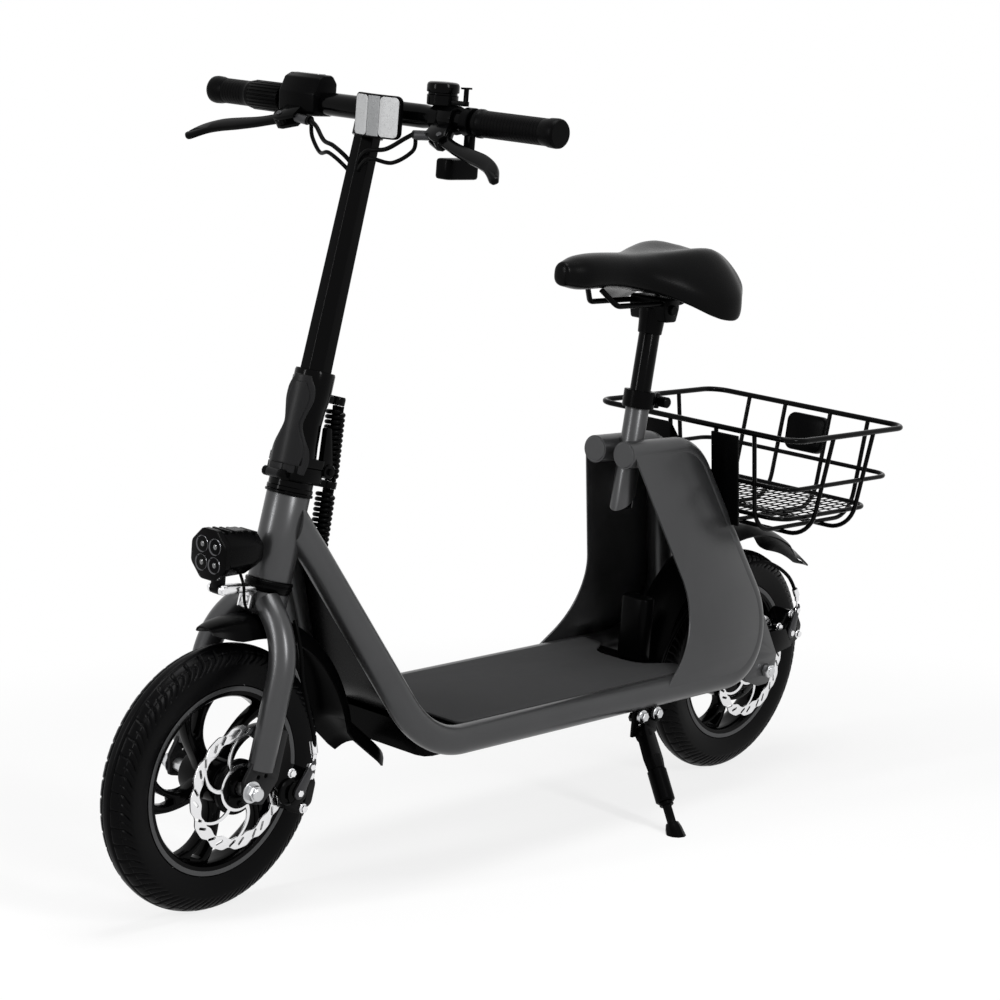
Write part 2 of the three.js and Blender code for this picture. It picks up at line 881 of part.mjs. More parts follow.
// Head tube and its bearings
const headFacets = 16;
const upperCupTop = headTubeHigh + upperCupHeight;
const cupBase = crownTop + runningGap;
const bearingBore = steererRadius + runningGap;
piece(steering, 'head_tube', charcoal, turnedUp(ringOf([
  [bearingBore, cupBase],
  [crownRadius, cupBase],
  [cupFlangeRadius, mix(cupBase, headTubeLow, 0.4)],
  [cupFlangeRadius, headTubeLow],
  [headTubeRadius, headTubeLow],
  [headTubeRadius, headTubeHigh],
  [cupFlangeRadius, headTubeHigh],
  [cupFlangeRadius, upperCupTop],
  [bearingBore, upperCupTop],
]), headFacets));

// Fork: a crown, a steerer, two bent legs and their dropouts
const steererTop = foldHeight - foldFlangeHeight / 2;

function forkLeg(side, radius = forkLegRadius) {
  const path = rounded([
    at(forkLegAhead, forkLegRoot, crownTop - forkLegRadius / 2),
    at(forkLegAhead, forkLegOffset, forkShoulder),
    at(forkLegAhead, forkLegOffset, forkLegEnd),
  ], shoulderBend, 5);
  return onSide(side, tube(path, radius, forkSides));
}

// The dropout plate holds the axle; the left one also has the tab that the caliper bolts to.
function forkDropout(side) {
  const low = -axleDrop - dropoutHeight * 0.3;
  const high = forkLegEnd + dropoutHeight * 0.4;
  const front = axleAhead + dropoutWidth * 0.3;
  const rear = forkLegAhead - dropoutWidth * 0.5;
  const corners = [
    at(mix(rear, front, 0.2), low),
    at(mix(rear, front, 0.85), low),
    at(front, forkLegEnd),
    at(forkLegAhead + forkLegRadius * 0.7, high),
    at(forkLegAhead - forkLegRadius * 0.7, high),
  ];
  const tab = [
    at(forkLegAhead - forkLegRadius * 0.7, tabReach),
    at(rear - tabWidth / 2, tabReach),
    at(rear - tabWidth / 2, forkLegEnd / 2),
  ];
  const plain = [at(rear, forkLegEnd)];
  const shape = outline([...corners, ...(side > 0 ? tab : plain)]);
  shape.holes.push(hole(circlePoints(axleRadius + runningGap, 12, at(axleAhead, -axleDrop))));
  return sideSlab(shape, dropoutThickness, side * forkLegOffset);
}

const crownBlock = turnedUp([
  [0, crownTop - crownHeight],
  [crownRadius - hubStep, crownTop - crownHeight],
  [crownRadius, crownTop - crownHeight + hubStep],
  [crownRadius, crownTop],
  [steererRadius, crownTop],
  [steererRadius, steererTop],
  [0, steererTop],
], headFacets);
piece(steering, 'fork', charcoal,
  joined(crownBlock, [1, -1].flatMap((side) => [forkLeg(side), forkDropout(side)])));

// Frame: each side is one tube, bent in a plane that leans in towards the top
const loopTan = Math.tan(loopLean);
const loopY = (z) => loopHalfWidth - loopTan * (z - loopHeight);
const onLoop = (x, z) => at(x, loopY(z), z);
const loopCorners = [
  at(headJointX, headJointY, headJointZ),
  onLoop(frontBendX, loopHeight),
  onLoop(rearBendX, loopHeight),
  onLoop(topBendX, topTubeHeight),
  onLoop(topTubeEnd, topTubeHeight + topTubeRise),
];
const loopRadii = [0, frontBendRadius, rearBendRadius, topBendRadius, 0];
const bendSteps = 5;
const loopPath = rounded(loopCorners, loopRadii, bendSteps);
const loopTube = (radius) => tube(loopPath, radius, tubeSides);
const loopClearance = [1, -1].map((side) => solid(onSide(side, loopTube(frameTubeRadius + runningGap))));

// Cutters in the upright frame for the head tube and the seat tube.
const inUpright = (geometry, group) => {
  group.updateMatrix();
  return geometry.clone().applyMatrix4(group.matrix);
};
const headCutter = inUpright(
  rodUp(headTubeRadius + runningGap, headTubeLow - overrun, headTubeHigh, headFacets), steering);
const cupCutter = inUpright(
  rodUp(cupFlangeRadius + runningGap, headTubeHigh - runningGap, headTubeHigh + overrun, headFacets),
  steering);
const frontCutter = inUpright(
  block(at(0, -overrun, headTubeLow), at(overrun, overrun, headTubeHigh + overrun)), steering);
const seatCutter = inUpright(
  rodUp(seatTubeRadius + runningGap, seatTubeMouth - overrun, seatTubeTop + overrun, headFacets), seat);

// The rear dropout is welded to the tube's inner side and carries the axle.
function frameDropout(side) {
  const back = -wheelbase;
  const corners = [
    at(back - dropoutWidth * 0.5, wheelRadius + dropoutHeight * 0.42),
    at(back - dropoutWidth * 0.5, wheelRadius - dropoutHeight * 0.1),
    at(back + dropoutWidth * 0.3, wheelRadius - dropoutHeight * 0.5),
    at(back + dropoutWidth, wheelRadius - dropoutHeight * 0.2),
    at(back + dropoutWidth * 1.5, wheelRadius + dropoutHeight),
    at(back + dropoutWidth * 1.5, wheelRadius + dropoutHeight * 2.3),
    at(back + dropoutWidth * 0.85, wheelRadius + dropoutHeight * 2.3),
    at(back + dropoutWidth * 0.45, wheelRadius + dropoutHeight * 1.85),
  ];
  const shape = outline(corners);
  shape.holes.push(hole(circlePoints(axleRadius + runningGap, 12, at(back, wheelRadius))));
  return sideSlab(shape, frameDropoutThickness, side * frameDropoutY);
}

for (const side of [1, -1]) {
  const name = side > 0 ? 'left_frame_tube' : 'right_frame_tube';
  const sideTube = onSide(side, loopTube(frameTubeRadius));
  const trimmed = cut(sideTube, headCutter, cupCutter, frontCutter, seatCutter);
  piece(upright, name, charcoal, joined(trimmed, frameDropout(side)));
}

// Seat tube: open at both ends, its lower mouth cut on a slant between the two frame tubes
const seatTube = turnedUp(ringOf([
  [seatPostRadius + runningGap, seatTubeMouth],
  [seatTubeRadius, seatTubeMouth],
  [seatTubeRadius, seatTubeTop],
  [seatPostRadius + runningGap, seatTubeTop],
]), headFacets);
const mouthCutter = block(at(-overrun * 2, -overrun, -overrun * 2), at(overrun * 2, overrun, 0))
  .rotateY(mouthCutAngle)
  .translate(0, 0, seatTubeMouth + mouthRise);
piece(seat, 'seat_tube', charcoal, cut(seatTube, mouthCutter));

// Side panels: sheets on the outer face of each tube loop
function sidePanel(side) {
  const rise = (z) => (z - loopHeight) / Math.cos(loopLean);
  const loopEnd = loopPath[loopPath.length - 1];
  const frontEdge = rounded([
    at(loopEnd.x, loopEnd.z),
    at(panelWaistX, panelWaistZ),
    at(panelToeX, loopHeight),
  ], panelBendRadius, 4);
  const rearEdge = loopPath.slice(bendSteps + 2).map((p) => at(p.x, p.z));
  const points = [...rearEdge, ...frontEdge.slice(1)].map((p) => at(p.x, rise(p.y)));
  const sheet = slab(outline(points), panelThickness)
    .translate(0, 0, panelInset - frameTubeRadius - panelThickness)
    .rotateX(quarterTurn + loopLean)
    .translate(0, loopHalfWidth, loopHeight);
  return onSide(side, sheet);
}

piece(upright, 'left_side_panel', charcoal, cut(sidePanel(1), loopClearance[0]));
piece(upright, 'right_side_panel', charcoal, cut(sidePanel(-1), loopClearance[1]));

// Deck: a sheet that bends up into a shield between the down tubes
const downTube = loopCorners[0].clone().sub(loopCorners[1]);
const downSlope = downTube.x / downTube.z;

function deckPlate() {
  const middle = (x, offset) => at(x, loopHeight + offset);
  const frontFoot = at(frontBendX, loopHeight);
  const along = at(downTube.x, downTube.z).normalize();
  const behind = at(-along.y, along.x);
  const bend = (offset) => {
    const shift = offset * Math.tan((quarterTurn - Math.atan(downSlope)) / 2);
    return frontFoot.clone().add(at(-shift, offset));
  };
  const topLength = (shieldTopZ - loopHeight) / along.y;
  const sheetLine = (offset) => rounded([
    middle(deckRearSide, offset),
    bend(offset),
    frontFoot.clone().addScaledVector(along, topLength).addScaledVector(behind, offset),
  ], frontBendRadius - offset, 5);
  const upper = sheetLine(deckTop - loopHeight);
  const lower = sheetLine(deckTop - loopHeight - deckSheet);
  const profile = sideSlab(outline([...upper, ...lower.reverse()]), 2 * loopHalfWidth);
  const share = (shieldTopZ - loopHeight) / downTube.z;
  const topHalf = mix(loopHalfWidth, headJointY, share);
  const halfWidths = [
    at(loopHalfWidth, 0), at(loopHalfWidth, loopHeight + deckSheet), at(topHalf, shieldTopZ + overrun),
    at(-topHalf, shieldTopZ + overrun), at(-loopHalfWidth, loopHeight + deckSheet), at(-loopHalfWidth, 0),
  ];
  const trapezoid = slab(outline(halfWidths), wheelbase)
    .rotateX(quarterTurn)
    .rotateZ(quarterTurn)
    .translate(-wheelbase, 0, 0);
  return shared(profile, trapezoid);
}

// The rear edge of the deck and of its mat: a round bay for the wheel between two horns.
function rearBay(halfWidth, reach) {
  const horn = deckRearSide + reach;
  return rounded([
    at(horn, halfWidth),
    at(horn, deckRearRadius),
    at(deckRear + reach, deckRearRadius * 0.6),
    at(deckRear + reach, -deckRearRadius * 0.6),
    at(horn, -deckRearRadius),
    at(horn, -halfWidth),
  ], [0, deckHorn, deckHorn * 2, deckHorn * 2, deckHorn, 0], 3);
}

// A socket on top of the shield, where the cable bundle enters the frame.
const framePort = inUpright(block(
  at(-bundleFoot - bundleRadius * 1.2, -bundleRadius * 1.2, framePortTop - framePortHeight),
  at(-bundleFoot + bundleRadius * 1.6, bundleRadius * 1.2, framePortTop),
), steering);
piece(upright, 'deck_plate', blackMetal, cut(joined(deckPlate(), framePort), loopClearance));

const matFront = frontBendX - frontBendRadius * 0.62;
const mat = slab(outline([
  ...rounded([at(matFront, -matHalfWidth), at(matFront, matHalfWidth)], 0, 1),
  ...rearBay(matHalfWidth, matGap),
]), matTop - deckTop - matGap).translate(0, 0, deckTop + matGap);
piece(upright, 'deck_mat', matRubber, cut(mat, loopClearance));

// Battery tray under the deck, with the pack in it
const trayTop = deckTop - deckSheet - runningGap;
const trayBase = deckTop - trayDepth;
const roundBox = (length, width, corner) => outline(rounded([
  at(-length / 2, -width / 2), at(length / 2, -width / 2),
  at(length / 2, width / 2), at(-length / 2, width / 2),
], corner, 2, true));
const trayLength = trayFront - trayRear;
const trayMiddle = (trayFront + trayRear) / 2;
const trayOuter = slab(roundBox(trayLength, 2 * trayHalfWidth, trayCorner), trayTop - trayBase)
  .translate(trayMiddle, 0, trayBase);
const trayInner = slab(
  roundBox(trayLength - 2 * trayWall, 2 * (trayHalfWidth - trayWall), trayCorner - trayWall), trayDepth)
  .translate(trayMiddle, 0, trayBase + trayWall);
piece(upright, 'battery_tray', blackMetal, cut(trayOuter, trayInner));
const batteryBase = trayBase + trayWall + runningGap;
piece(upright, 'battery_pack', blackPlastic,
  slab(roundBox(batteryLength, batteryWidth, trayCorner / 2), batteryHeight)
    .translate(batteryRear + batteryLength / 2, 0, batteryBase));
piece(upright, 'motor_controller', blackPlastic,
  slab(roundBox(controllerLength, controllerWidth, controllerCorner), controllerHeight)
    .translate(controllerX, controllerY, deckTop + runningGap));

// Fenders: a crowned sheet swept round the wheel, then trimmed to its plan
function fenderSection(halfWidth) {
  const bow = (share) => at(share * halfWidth, -fenderCrown * share * share);
  const top = [-1, -0.55, 0, 0.55, 1].map(bow);
  const under = top.map((p) => p.clone().sub(at(0, fenderSheet)));
  return outline([...top, ...under.reverse()]);
}

// Solids of the upright frame, seen from the rear hub.
const inRearHub = (solids) => solids.map((one) => one.translate([wheelbase, 0, -wheelRadius]));

// Points round a wheel from the front over the top to the back, angles from the top.
const overWheel = (radius, lead, trail, count) => steps(count).map((share) => {
  const angle = mix(lead, -trail, share);
  return at(radius * Math.sin(angle), 0, radius * Math.cos(angle));
});

// Keeps what lies inside a plan outline.
const trimmedTo = (geometry, planPoints) =>
  shared(geometry, slab(outline(planPoints), 4 * wheelRadius).translate(0, 0, -2 * wheelRadius));
const mirrorPlan = (points) => [...points, ...points.map((p) => at(p.x, -p.y)).reverse()];

function frontFender() {
  const arc = overWheel(frontFenderRadius, frontFenderLead, frontFenderTrail, 9);
  const flapAngle = halfTurn - frontFenderTrail + flapKick;
  const flap = at(Math.cos(flapAngle), 0, -Math.sin(flapAngle)).multiplyScalar(flapLength);
  const tip = arc[arc.length - 1].clone().add(flap);
  const soft = arc[arc.length - 1].clone().addScaledVector(flap, 0.35);
  const path = [...arc, soft, tip].map((p) => p.add(at(-frontFenderBack, 0, frontFenderRise)));
  const noseX = path[0].x;
  const endX = path[path.length - 1].x;
  const kneeX = arc[arc.length - 1].x;
  const plan = [
    at(noseX + fenderCrown / 2, fenderHalfWidth * 0.35),
    at(noseX - fenderCrown, fenderHalfWidth * 0.8),
    at(noseX - fenderHalfWidth, fenderHalfWidth),
    at(kneeX + fenderCrown, fenderHalfWidth),
    at(endX + fenderCrown, flapHalfWidth),
    at(endX - fenderCrown, flapHalfWidth * 0.7),
  ];
  const slot = block(
    at(kneeX - overrun, -flapSlotLength / 2, path[path.length - 2].z - flapSlotHeight / 2),
    at(kneeX + overrun, flapSlotLength / 2, path[path.length - 2].z + flapSlotHeight / 2),
  );
  return cut(trimmedTo(sweep(fenderSection(flapHalfWidth), path), mirrorPlan(plan)), slot);
}

function rearFender() {
  const arc = overWheel(rearFenderRadius, rearFenderLead, rearFenderTrail, 9);
  const last = arc[arc.length - 1];
  const tail = at(-Math.cos(rearFenderTrail), 0, -Math.sin(rearFenderTrail));
  const path = [...arc, last.clone().addScaledVector(tail, tailLength)];
  const endX = path[path.length - 1].x;
  const plan = [
    at(path[0].x + overrun, fenderHalfWidth),
    at(mix(last.x, endX, 0.1), fenderHalfWidth),
    at(mix(last.x, endX, 0.55), tailHalfWidth * 1.2),
    at(mix(last.x, endX, 0.85), tailHalfWidth),
    at(endX + weldTolerance, tailHalfWidth * 0.55),
  ];
  const holeX = mix(last.x, endX, 0.8);
  const slot = slab(roundBox(tailHoleLength, tailHoleWidth, tailHoleWidth * 0.45), 4 * wheelRadius)
    .translate(holeX, 0, -wheelRadius);
  return cut(trimmedTo(sweep(fenderSection(fenderHalfWidth), path), mirrorPlan(plan)), slot);
}

const frontFenderGroup = frameAt(frontHub, at(0, 0, 0));
const legClearance = [1, -1].map((side) =>
  inUpright(forkLeg(side, forkLegRadius + 2 * runningGap), steering).translate(0, 0, -wheelRadius));
piece(frontFenderGroup, 'front_fender', blackPlastic, cut(frontFender(), legClearance));
// The rear fender hangs between the frame tubes on its own cross stay.
const stayWay = polar(rearFenderRadius + stayRadius / 2, stayAngle);
const stay = rod(stayRadius, 2 * stayHalf, 10).translate(stayWay.x, 0, stayWay.y);
piece(rearHub, 'rear_fender', blackPlastic,
  cut(joined(rearFender(), stay), inRearHub(loopClearance)));

// Seat: a post with rails, a clamped collar on the seat tube, and the saddle
const railPath = rounded([
  at(railFront, railSpacing / 2, railHeight + railRise),
  at(railFront - railRise, railSpacing, railHeight),
  at(railRear + railRise, railSpacing, railHeight),
  at(railRear, railSpacing * 1.3, railHeight + railRise),
], railBend, 3);
const rails = (radius) => [1, -1].map((side) => solid(onSide(side, tube(railPath, radius, 6))));

function seatPost() {
  const post = inUpright(rodUp(seatPostRadius, postBottom, postTop, headFacets), seat);
  const headX = seatAxisX - (railHeight - seatAxisZ) * Math.tan(seatAngle);
  const half = railClampWidth / 2;
  const clampShape = outline(rounded([
    at(headX - half * 0.7, railHeight - railClampHeight * 1.2),
    at(headX + half * 0.7, railHeight - railClampHeight * 1.2),
    at(headX + half, railHeight - railClampHeight * 0.4),
    at(headX + half, railHeight + railClampHeight * 0.35),
    at(headX - half, railHeight + railClampHeight * 0.35),
    at(headX - half, railHeight - railClampHeight * 0.4),
  ], railClampHeight / 5, 2, true));
  const clamp = sideSlab(clampShape, 2 * railSpacing + 4 * railRadius);
  return joined(post, clamp, rails(railRadius));
}

piece(upright, 'seatpost', blackMetal, seatPost());

const collar = turnedUp(ringOf([
  [seatTubeRadius + runningGap, seatClampLow],
  [seatClampRadius, seatClampLow],
  [seatClampRadius, seatClampHigh],
  [seatTubeRadius + runningGap, seatClampHigh],
]), headFacets);
const earHalf = seatClampEar * 0.8;
const ears = cut(
  block(at(-seatClampRadius - seatClampEar, -earHalf, seatClampLow),
    at(-seatTubeRadius - runningGap * 2, earHalf, seatClampHigh)),
  block(at(-seatClampRadius - seatClampEar - overrun, -runningGap * 2, seatClampLow - overrun),
    at(-seatClampRadius, runningGap * 2, seatClampHigh + overrun)),
);
const clampBoltX = -seatClampRadius - seatClampEar / 2;
const clampMiddle = (seatClampLow + seatClampHigh) / 2;
const clampBolt = bar(at(clampBoltX, -earHalf - seatKnobLength / 2, clampMiddle),
  at(clampBoltX, earHalf + seatKnobLength, clampMiddle), seatKnobRadius / 2, 10);
const seatKnob = bar(at(clampBoltX, earHalf + seatKnobLength / 3, clampMiddle),
  at(clampBoltX, earHalf + seatKnobLength * 1.6, clampMiddle), seatKnobRadius, 10);
piece(seat, 'seat_clamp', blackMetal, joined(collar, ears, clampBolt, seatKnob));

// The saddle: rings from the nose to the tail, crowned on top and drooping into two lobes
function saddleForm() {
  const count = saddleRadiusShares.length;
  const rings = saddleRadiusShares.map((radiusShare, i) => {
    const along = i === 0 ? 0 : i / (count - 1);
    const half = radiusShare * saddleHalfWidth;
    const thick = saddleHeightShares[i] * saddleThickness;
    const top = saddleTop - saddleTopShares[i] * saddleNoseFall;
    const width = radiusShare * radiusShare;
    return steps(saddleRingPoints).slice(0, saddleRingPoints).map((share) => {
      const angle = share * fullTurn;
      const across = Math.cos(angle);
      const up = Math.sign(Math.sin(angle)) * Math.abs(Math.sin(angle)) ** 0.75;
      const droop = saddleDroop * width * across * across;
      const channel = saddleNotch * 0.4 * width * Math.max(0, 1 - (across / 0.45) ** 2);
      const back = saddleNotch * along ** 6 * (1 - across * across);
      return at(saddleNoseX - along * saddleLength + back, half * across,
        top - thick / 2 - droop + (up * thick) / 2 - (up > 0 ? channel * up : 0));
    });
  });
  return lofted(rings);
}

const saddle = cut(saddleForm(), rails(railRadius + runningGap));
piece(upright, 'saddle', leatherette, saddle);

// Basket: rings of wire, wires that run under from wall to wall, and a mesh floor
const basketMiddle = basketFront - basketLength / 2;

function wireRing(inset, drop, radius) {
  const halfLength = basketLength / 2 - inset;
  const halfWidth = basketHalfWidth - inset;
  const start = at(basketMiddle + halfLength, 0, basketTop - drop);
  const corners = [
    start,
    at(basketMiddle + halfLength, halfWidth, basketTop - drop),
    at(basketMiddle - halfLength, halfWidth, basketTop - drop),
    at(basketMiddle - halfLength, -halfWidth, basketTop - drop),
    at(basketMiddle + halfLength, -halfWidth, basketTop - drop),
    start,
  ];
  return tube(rounded(corners, basketCorner, 2), radius, basketWireSides);
}

// A wire from one wall under the floor to the opposite wall, drawn in the plane of X and Z.
function underWire(halfSpan) {
  const path = rounded([
    at(halfSpan, 0, basketTop),
    at(halfSpan - basketBaseInset, 0, basketTop - basketDepth),
    at(basketBaseInset - halfSpan, 0, basketTop - basketDepth),
    at(-halfSpan, 0, basketTop),
  ], wireBend, 1);
  return tube(path, basketWire, basketWireSides);
}

const lengthWires = lengthWireYs.map((y) =>
  underWire(basketLength / 2).translate(basketMiddle, y, 0));
const crossWires = crossWireXs.map((x) =>
  underWire(basketHalfWidth).rotateZ(quarterTurn).translate(x, 0, -2 * basketWire + weldTolerance));
function meshFloor() {
  const inset = basketFloorInset;
  const length = basketLength - 2 * inset;
  const width = 2 * (basketHalfWidth - inset);
  const sheet = slab(roundBox(length, width, basketCorner - basketWire), meshThickness);
  const gaps = [];
  const cellX = (length - meshStrip) / meshRows;
  const cellY = (width - meshStrip) / meshColumns;
  for (let i = 0; i < meshRows; i += 1) {
    for (let j = 0; j < meshColumns; j += 1) {
      const isCorner = (i === 0 || i === meshRows - 1) && (j === 0 || j === meshColumns - 1);
      if (isCorner) continue;
      const low = at(i * cellX - (length - meshStrip) / 2, j * cellY - (width - meshStrip) / 2);
      const near = low.clone().add(at(meshStrip, meshStrip, -meshThickness));
      const far = low.clone().add(at(cellX, cellY, 2 * meshThickness));
      gaps.push(block(near, far));
    }
  }
  return cut(sheet, gaps)
    .translate([basketMiddle, 0, basketTop - basketFloorDrop - meshThickness / 2]);
}

piece(upright, 'basket', blackMetal, joined(
  wireRing(0, 0, rimWire),
  wireRing(basketMidInset, basketMidDrop, basketWire),
  wireRing(basketFloorInset, basketFloorDrop, basketWire),
  lengthWires,
  crossWires,
  meshFloor(),
));

// Bracket: two plates on the front wall, joined by a foot that seats on the frame tubes
const wallAngle = Math.atan(basketBaseInset / basketDepth);
const wallFront = frameAt(upright, at(basketFront, 0, basketTop), wallAngle);
const plateNear = basketWire * Math.cos(Math.PI / basketWireSides) + runningGap;
const plateLow = -(basketDepth - basketWire);
const bracketPlate = (side) => block(
  at(plateNear, Math.min(side * bracketInner, side * bracketOuter), plateLow),
  at(plateNear + bracketThickness, Math.max(side * bracketInner, side * bracketOuter), -rimWire * 2),
);
const bracketCross = block(
  at(plateNear, -bracketOuter, plateLow),
  at(plateNear + bracketThickness, bracketOuter, plateLow + bracketFoot),
);
const inUprightSolids = joined(
  inUpright(bracketPlate(1), wallFront), inUpright(bracketPlate(-1), wallFront),
  inUpright(bracketCross, wallFront),
);
piece(upright, 'basket_bracket', blackMetal, cut(inUprightSolids, loopClearance));

const wallRear = frameAt(upright, at(basketFront - basketLength, 0, basketTop), -wallAngle);
const tailShape = outline(rounded([
  at(-tailReflectorHalf, -tailReflectorDrop),
  at(tailReflectorHalf, -tailReflectorDrop),
  at(tailReflectorHalf * 0.9, -tailReflectorDrop - tailReflectorHeight),
  at(-tailReflectorHalf * 0.9, -tailReflectorDrop - tailReflectorHeight),
], tailReflectorCorner, 3, true));
piece(wallRear, 'basket_reflector', blackPlastic, slab(tailShape, tailReflectorThickness)
  .rotateX(quarterTurn)
  .rotateZ(quarterTurn)
  .translate(-plateNear - tailReflectorThickness, 0, 0));

// Disc calipers: built with X outward from the axle, then turned to their place on the disc
function caliperBody(bracketPoints, plateFace) {
  const half = caliperDepth / 2;
  const shape = outline(rounded([
    at(caliperReach - half, -caliperHalfHeight * 0.8),
    at(caliperReach + half * 0.5, -caliperHalfHeight),
    at(caliperReach + half, -caliperHalfHeight * 0.4),
    at(caliperReach + half, caliperHalfHeight * 0.5),
    at(caliperReach + half * 0.3, caliperHalfHeight),
    at(caliperReach - half, caliperHalfHeight * 0.8),
  ], caliperCorner, 2, true));
  const width = caliperOutside - caliperInside;
  const body = sideSlab(shape, width, (caliperInside + caliperOutside) / 2);
  const slotHalf = caliperSlot / 2;
  const clearance = rotorRadius + caliperSlot;
  const slot = rod(clearance, caliperSlot, wheelFacets).translate(0, rotorOffset, 0);
  const pot = rod(caliperPotRadius, caliperPotReach - caliperOutside + slotHalf, 14)
    .translate(caliperReach - half * 0.4, (caliperPotReach + caliperOutside - slotHalf) / 2, 0);
  const bracketNear = caliperOutside - caliperBracket;
  const bracketThick = plateFace - bracketNear;
  const bracket = sideSlab(outline(bracketPoints), bracketThick, (plateFace + bracketNear) / 2);
  return cut(joined(body, pot, bracket), slot);
}

const armPivotX = caliperReach - caliperDepth * 0.2;

function caliperArm() {
  const half = caliperArmWidth / 2;
  const shape = outline([
    ...steps(4).map((share) => polar(half * 1.3, mix(quarterTurn, quarterTurn + halfTurn, share))),
    at(caliperArmLength, -half * 0.6),
    at(caliperArmLength + half * 0.6, 0),
    at(caliperArmLength, half * 0.6),
  ]);
  return sideSlab(shape, caliperArmThickness, caliperArmThickness / 2);
}

// The front caliper sits behind the fork leg, the rear one above and behind the axle.
const frontCaliper = frameAt(steering, at(axleAhead, 0, -axleDrop), halfTurn + frontCaliperTurn);
const rearCaliper = frameAt(rearHub, at(0, 0, 0), halfTurn + rearCaliperTurn);
const intoCaliper = (group, x, z) => {
  const local = at(x, 0, z).applyAxisAngle(at(0, 1, 0), -group.rotation.y);
  return at(local.x, local.z);
};
const bracketAround = (group, points) => points.map(([x, z]) => intoCaliper(group, x, z));
const caliperEdge = caliperDepth / 2 - caliperCorner / 2 - caliperReach;
const tabMiddle = forkLegAhead - dropoutWidth * 0.5 - axleAhead;
const frontBracket = bracketAround(frontCaliper, [
  [tabMiddle + tabWidth * 0.5, tabReach],
  [tabMiddle - tabWidth, tabReach],
  [caliperEdge, caliperHalfHeight * 0.5],
  [caliperEdge, -caliperHalfHeight * 0.5],
  [tabMiddle - tabWidth * 0.5, forkLegEnd / 2],
  [tabMiddle + tabWidth * 0.5, forkLegEnd / 2],
]);
const forkInside = forkLegOffset - dropoutThickness / 2 - runningGap;
const frameInside = frameDropoutY - frameDropoutThickness / 2 - runningGap;
piece(frontCaliper, 'front_caliper', blackMetal, caliperBody(frontBracket, forkInside));
const rearPlate = dropoutWidth * 0.5;
const rearBracket = [
  intoCaliper(rearCaliper, -rearPlate * 0.4, dropoutHeight * 0.3),
  intoCaliper(rearCaliper, -rearPlate * 0.2, dropoutHeight * 1.1),
  at(-caliperEdge, -caliperHalfHeight * 0.6),
  at(-caliperEdge, caliperHalfHeight * 0.6),
];
piece(rearCaliper, 'rear_caliper', blackMetal, caliperBody(rearBracket, frameInside));
const armY = caliperPotReach + runningGap;
const frontArmGroup = frameAt(frontCaliper, at(armPivotX, armY, 0), frontArmTurn);
const rearArmGroup = frameAt(rearCaliper, at(armPivotX, armY, 0), rearArmTurn);
piece(frontArmGroup, 'front_caliper_arm', blackMetal, caliperArm());
piece(rearArmGroup, 'rear_caliper_arm', blackMetal, caliperArm());

// Side stand: a bracket under the left tube, and a leg with a sleeve and a foot
const standAxis = at(0, standLegDrop, standLegSpread).normalize();
const legWay = at(standLegForward, standLegSpread, -standLegDrop);
const legLength = legWay.length();
const standPivot = at(standPivotX, standPivotY, standPivotZ);
const standGroup = new THREE.Group();
standGroup.position.copy(standPivot);
upright.add(standGroup);

// Bracket: a plate under the tube with two bolt bosses, and a cheek beside the leg's head.
const cheekOffset = standHeadThickness / 2 + runningGap;
const cheek = bar(standAxis.clone().multiplyScalar(-cheekOffset),
  standAxis.clone().multiplyScalar(-cheekOffset - standPlate), standHeadRadius, 12);
const standPin = bar(standAxis.clone().multiplyScalar(-cheekOffset - standPlate / 2),
  standAxis.clone().multiplyScalar(cheekOffset + standPlate), standRodRadius * 0.7, 10);
const bracketUp = standPivotZ + standHeadRadius * 0.6;
const bracketTop = loopHeight - frameTubeRadius * 0.6;
const cheekPoint = standPivot.clone().addScaledVector(standAxis, -cheekOffset - standPlate / 2);
const hanger = block(
  at(standX - standBracketLength / 2, cheekPoint.y - standBracketWidth / 2, standPivotZ - standPlate),
  at(standX + standBracketLength / 2, cheekPoint.y - standBracketWidth / 2 + standPlate, bracketTop),
);
const web = block(
  at(standPivotX - standHeadRadius * 0.8, cheekPoint.y - standBracketWidth / 2, standPivotZ - standPlate),
  at(standPivotX + standHeadRadius * 0.8, cheekPoint.y, bracketUp),
);
const bolts = [-1, 1].map((sign) => bar(
  at(standX + sign * standBracketLength * 0.3, cheekPoint.y - standBracketWidth,
    bracketUp + standPlate * 3),
  at(standX + sign * standBracketLength * 0.3, cheekPoint.y + standBracketWidth * 0.3,
    bracketUp + standPlate * 3),
  standBoltRadius, 6));
const headSpace = bar(standAxis.clone().multiplyScalar(-cheekOffset - runningGap),
  standAxis.clone().multiplyScalar(overrun), standHeadRadius * 1.3, 14)
  .translate(standPivot.x, standPivot.y, standPivot.z);
const atPivot = (geometry) => geometry.translate(standPivot.x, standPivot.y, standPivot.z);
const hangerSolid = cut(joined(hanger, web, bolts), headSpace);
const bracketSolid = joined(hangerSolid, atPivot(cheek), atPivot(standPin));
piece(upright, 'kickstand_bracket', blackMetal, cut(bracketSolid, loopClearance));

const alongLeg = (length) => legWay.clone().setLength(length);
const legHead = cut(
  bar(standAxis.clone().multiplyScalar(-standHeadThickness / 2),
    standAxis.clone().multiplyScalar(standHeadThickness / 2), standHeadRadius, 14),
  bar(standAxis.clone().multiplyScalar(-overrun), standAxis.clone().multiplyScalar(overrun),
    standRodRadius * 0.7 + runningGap, 10),
);
const footTop = legLength - standFootHeight;
const footRing = (length, radius) => circlePoints(radius, 10).map((p) => {
  const side = at(1, 0, 0).projectOnPlane(legWay).normalize();
  const other = legWay.clone().normalize().cross(side);
  return alongLeg(length).addScaledVector(side, p.x).addScaledVector(other, p.y);
});
const foot = lofted([
  footRing(footTop, standSleeveRadius * 0.8),
  footRing(footTop + standFootHeight * 0.4, standSleeveRadius),
  footRing(legLength + standFootHeight, standFootRadius),
]);
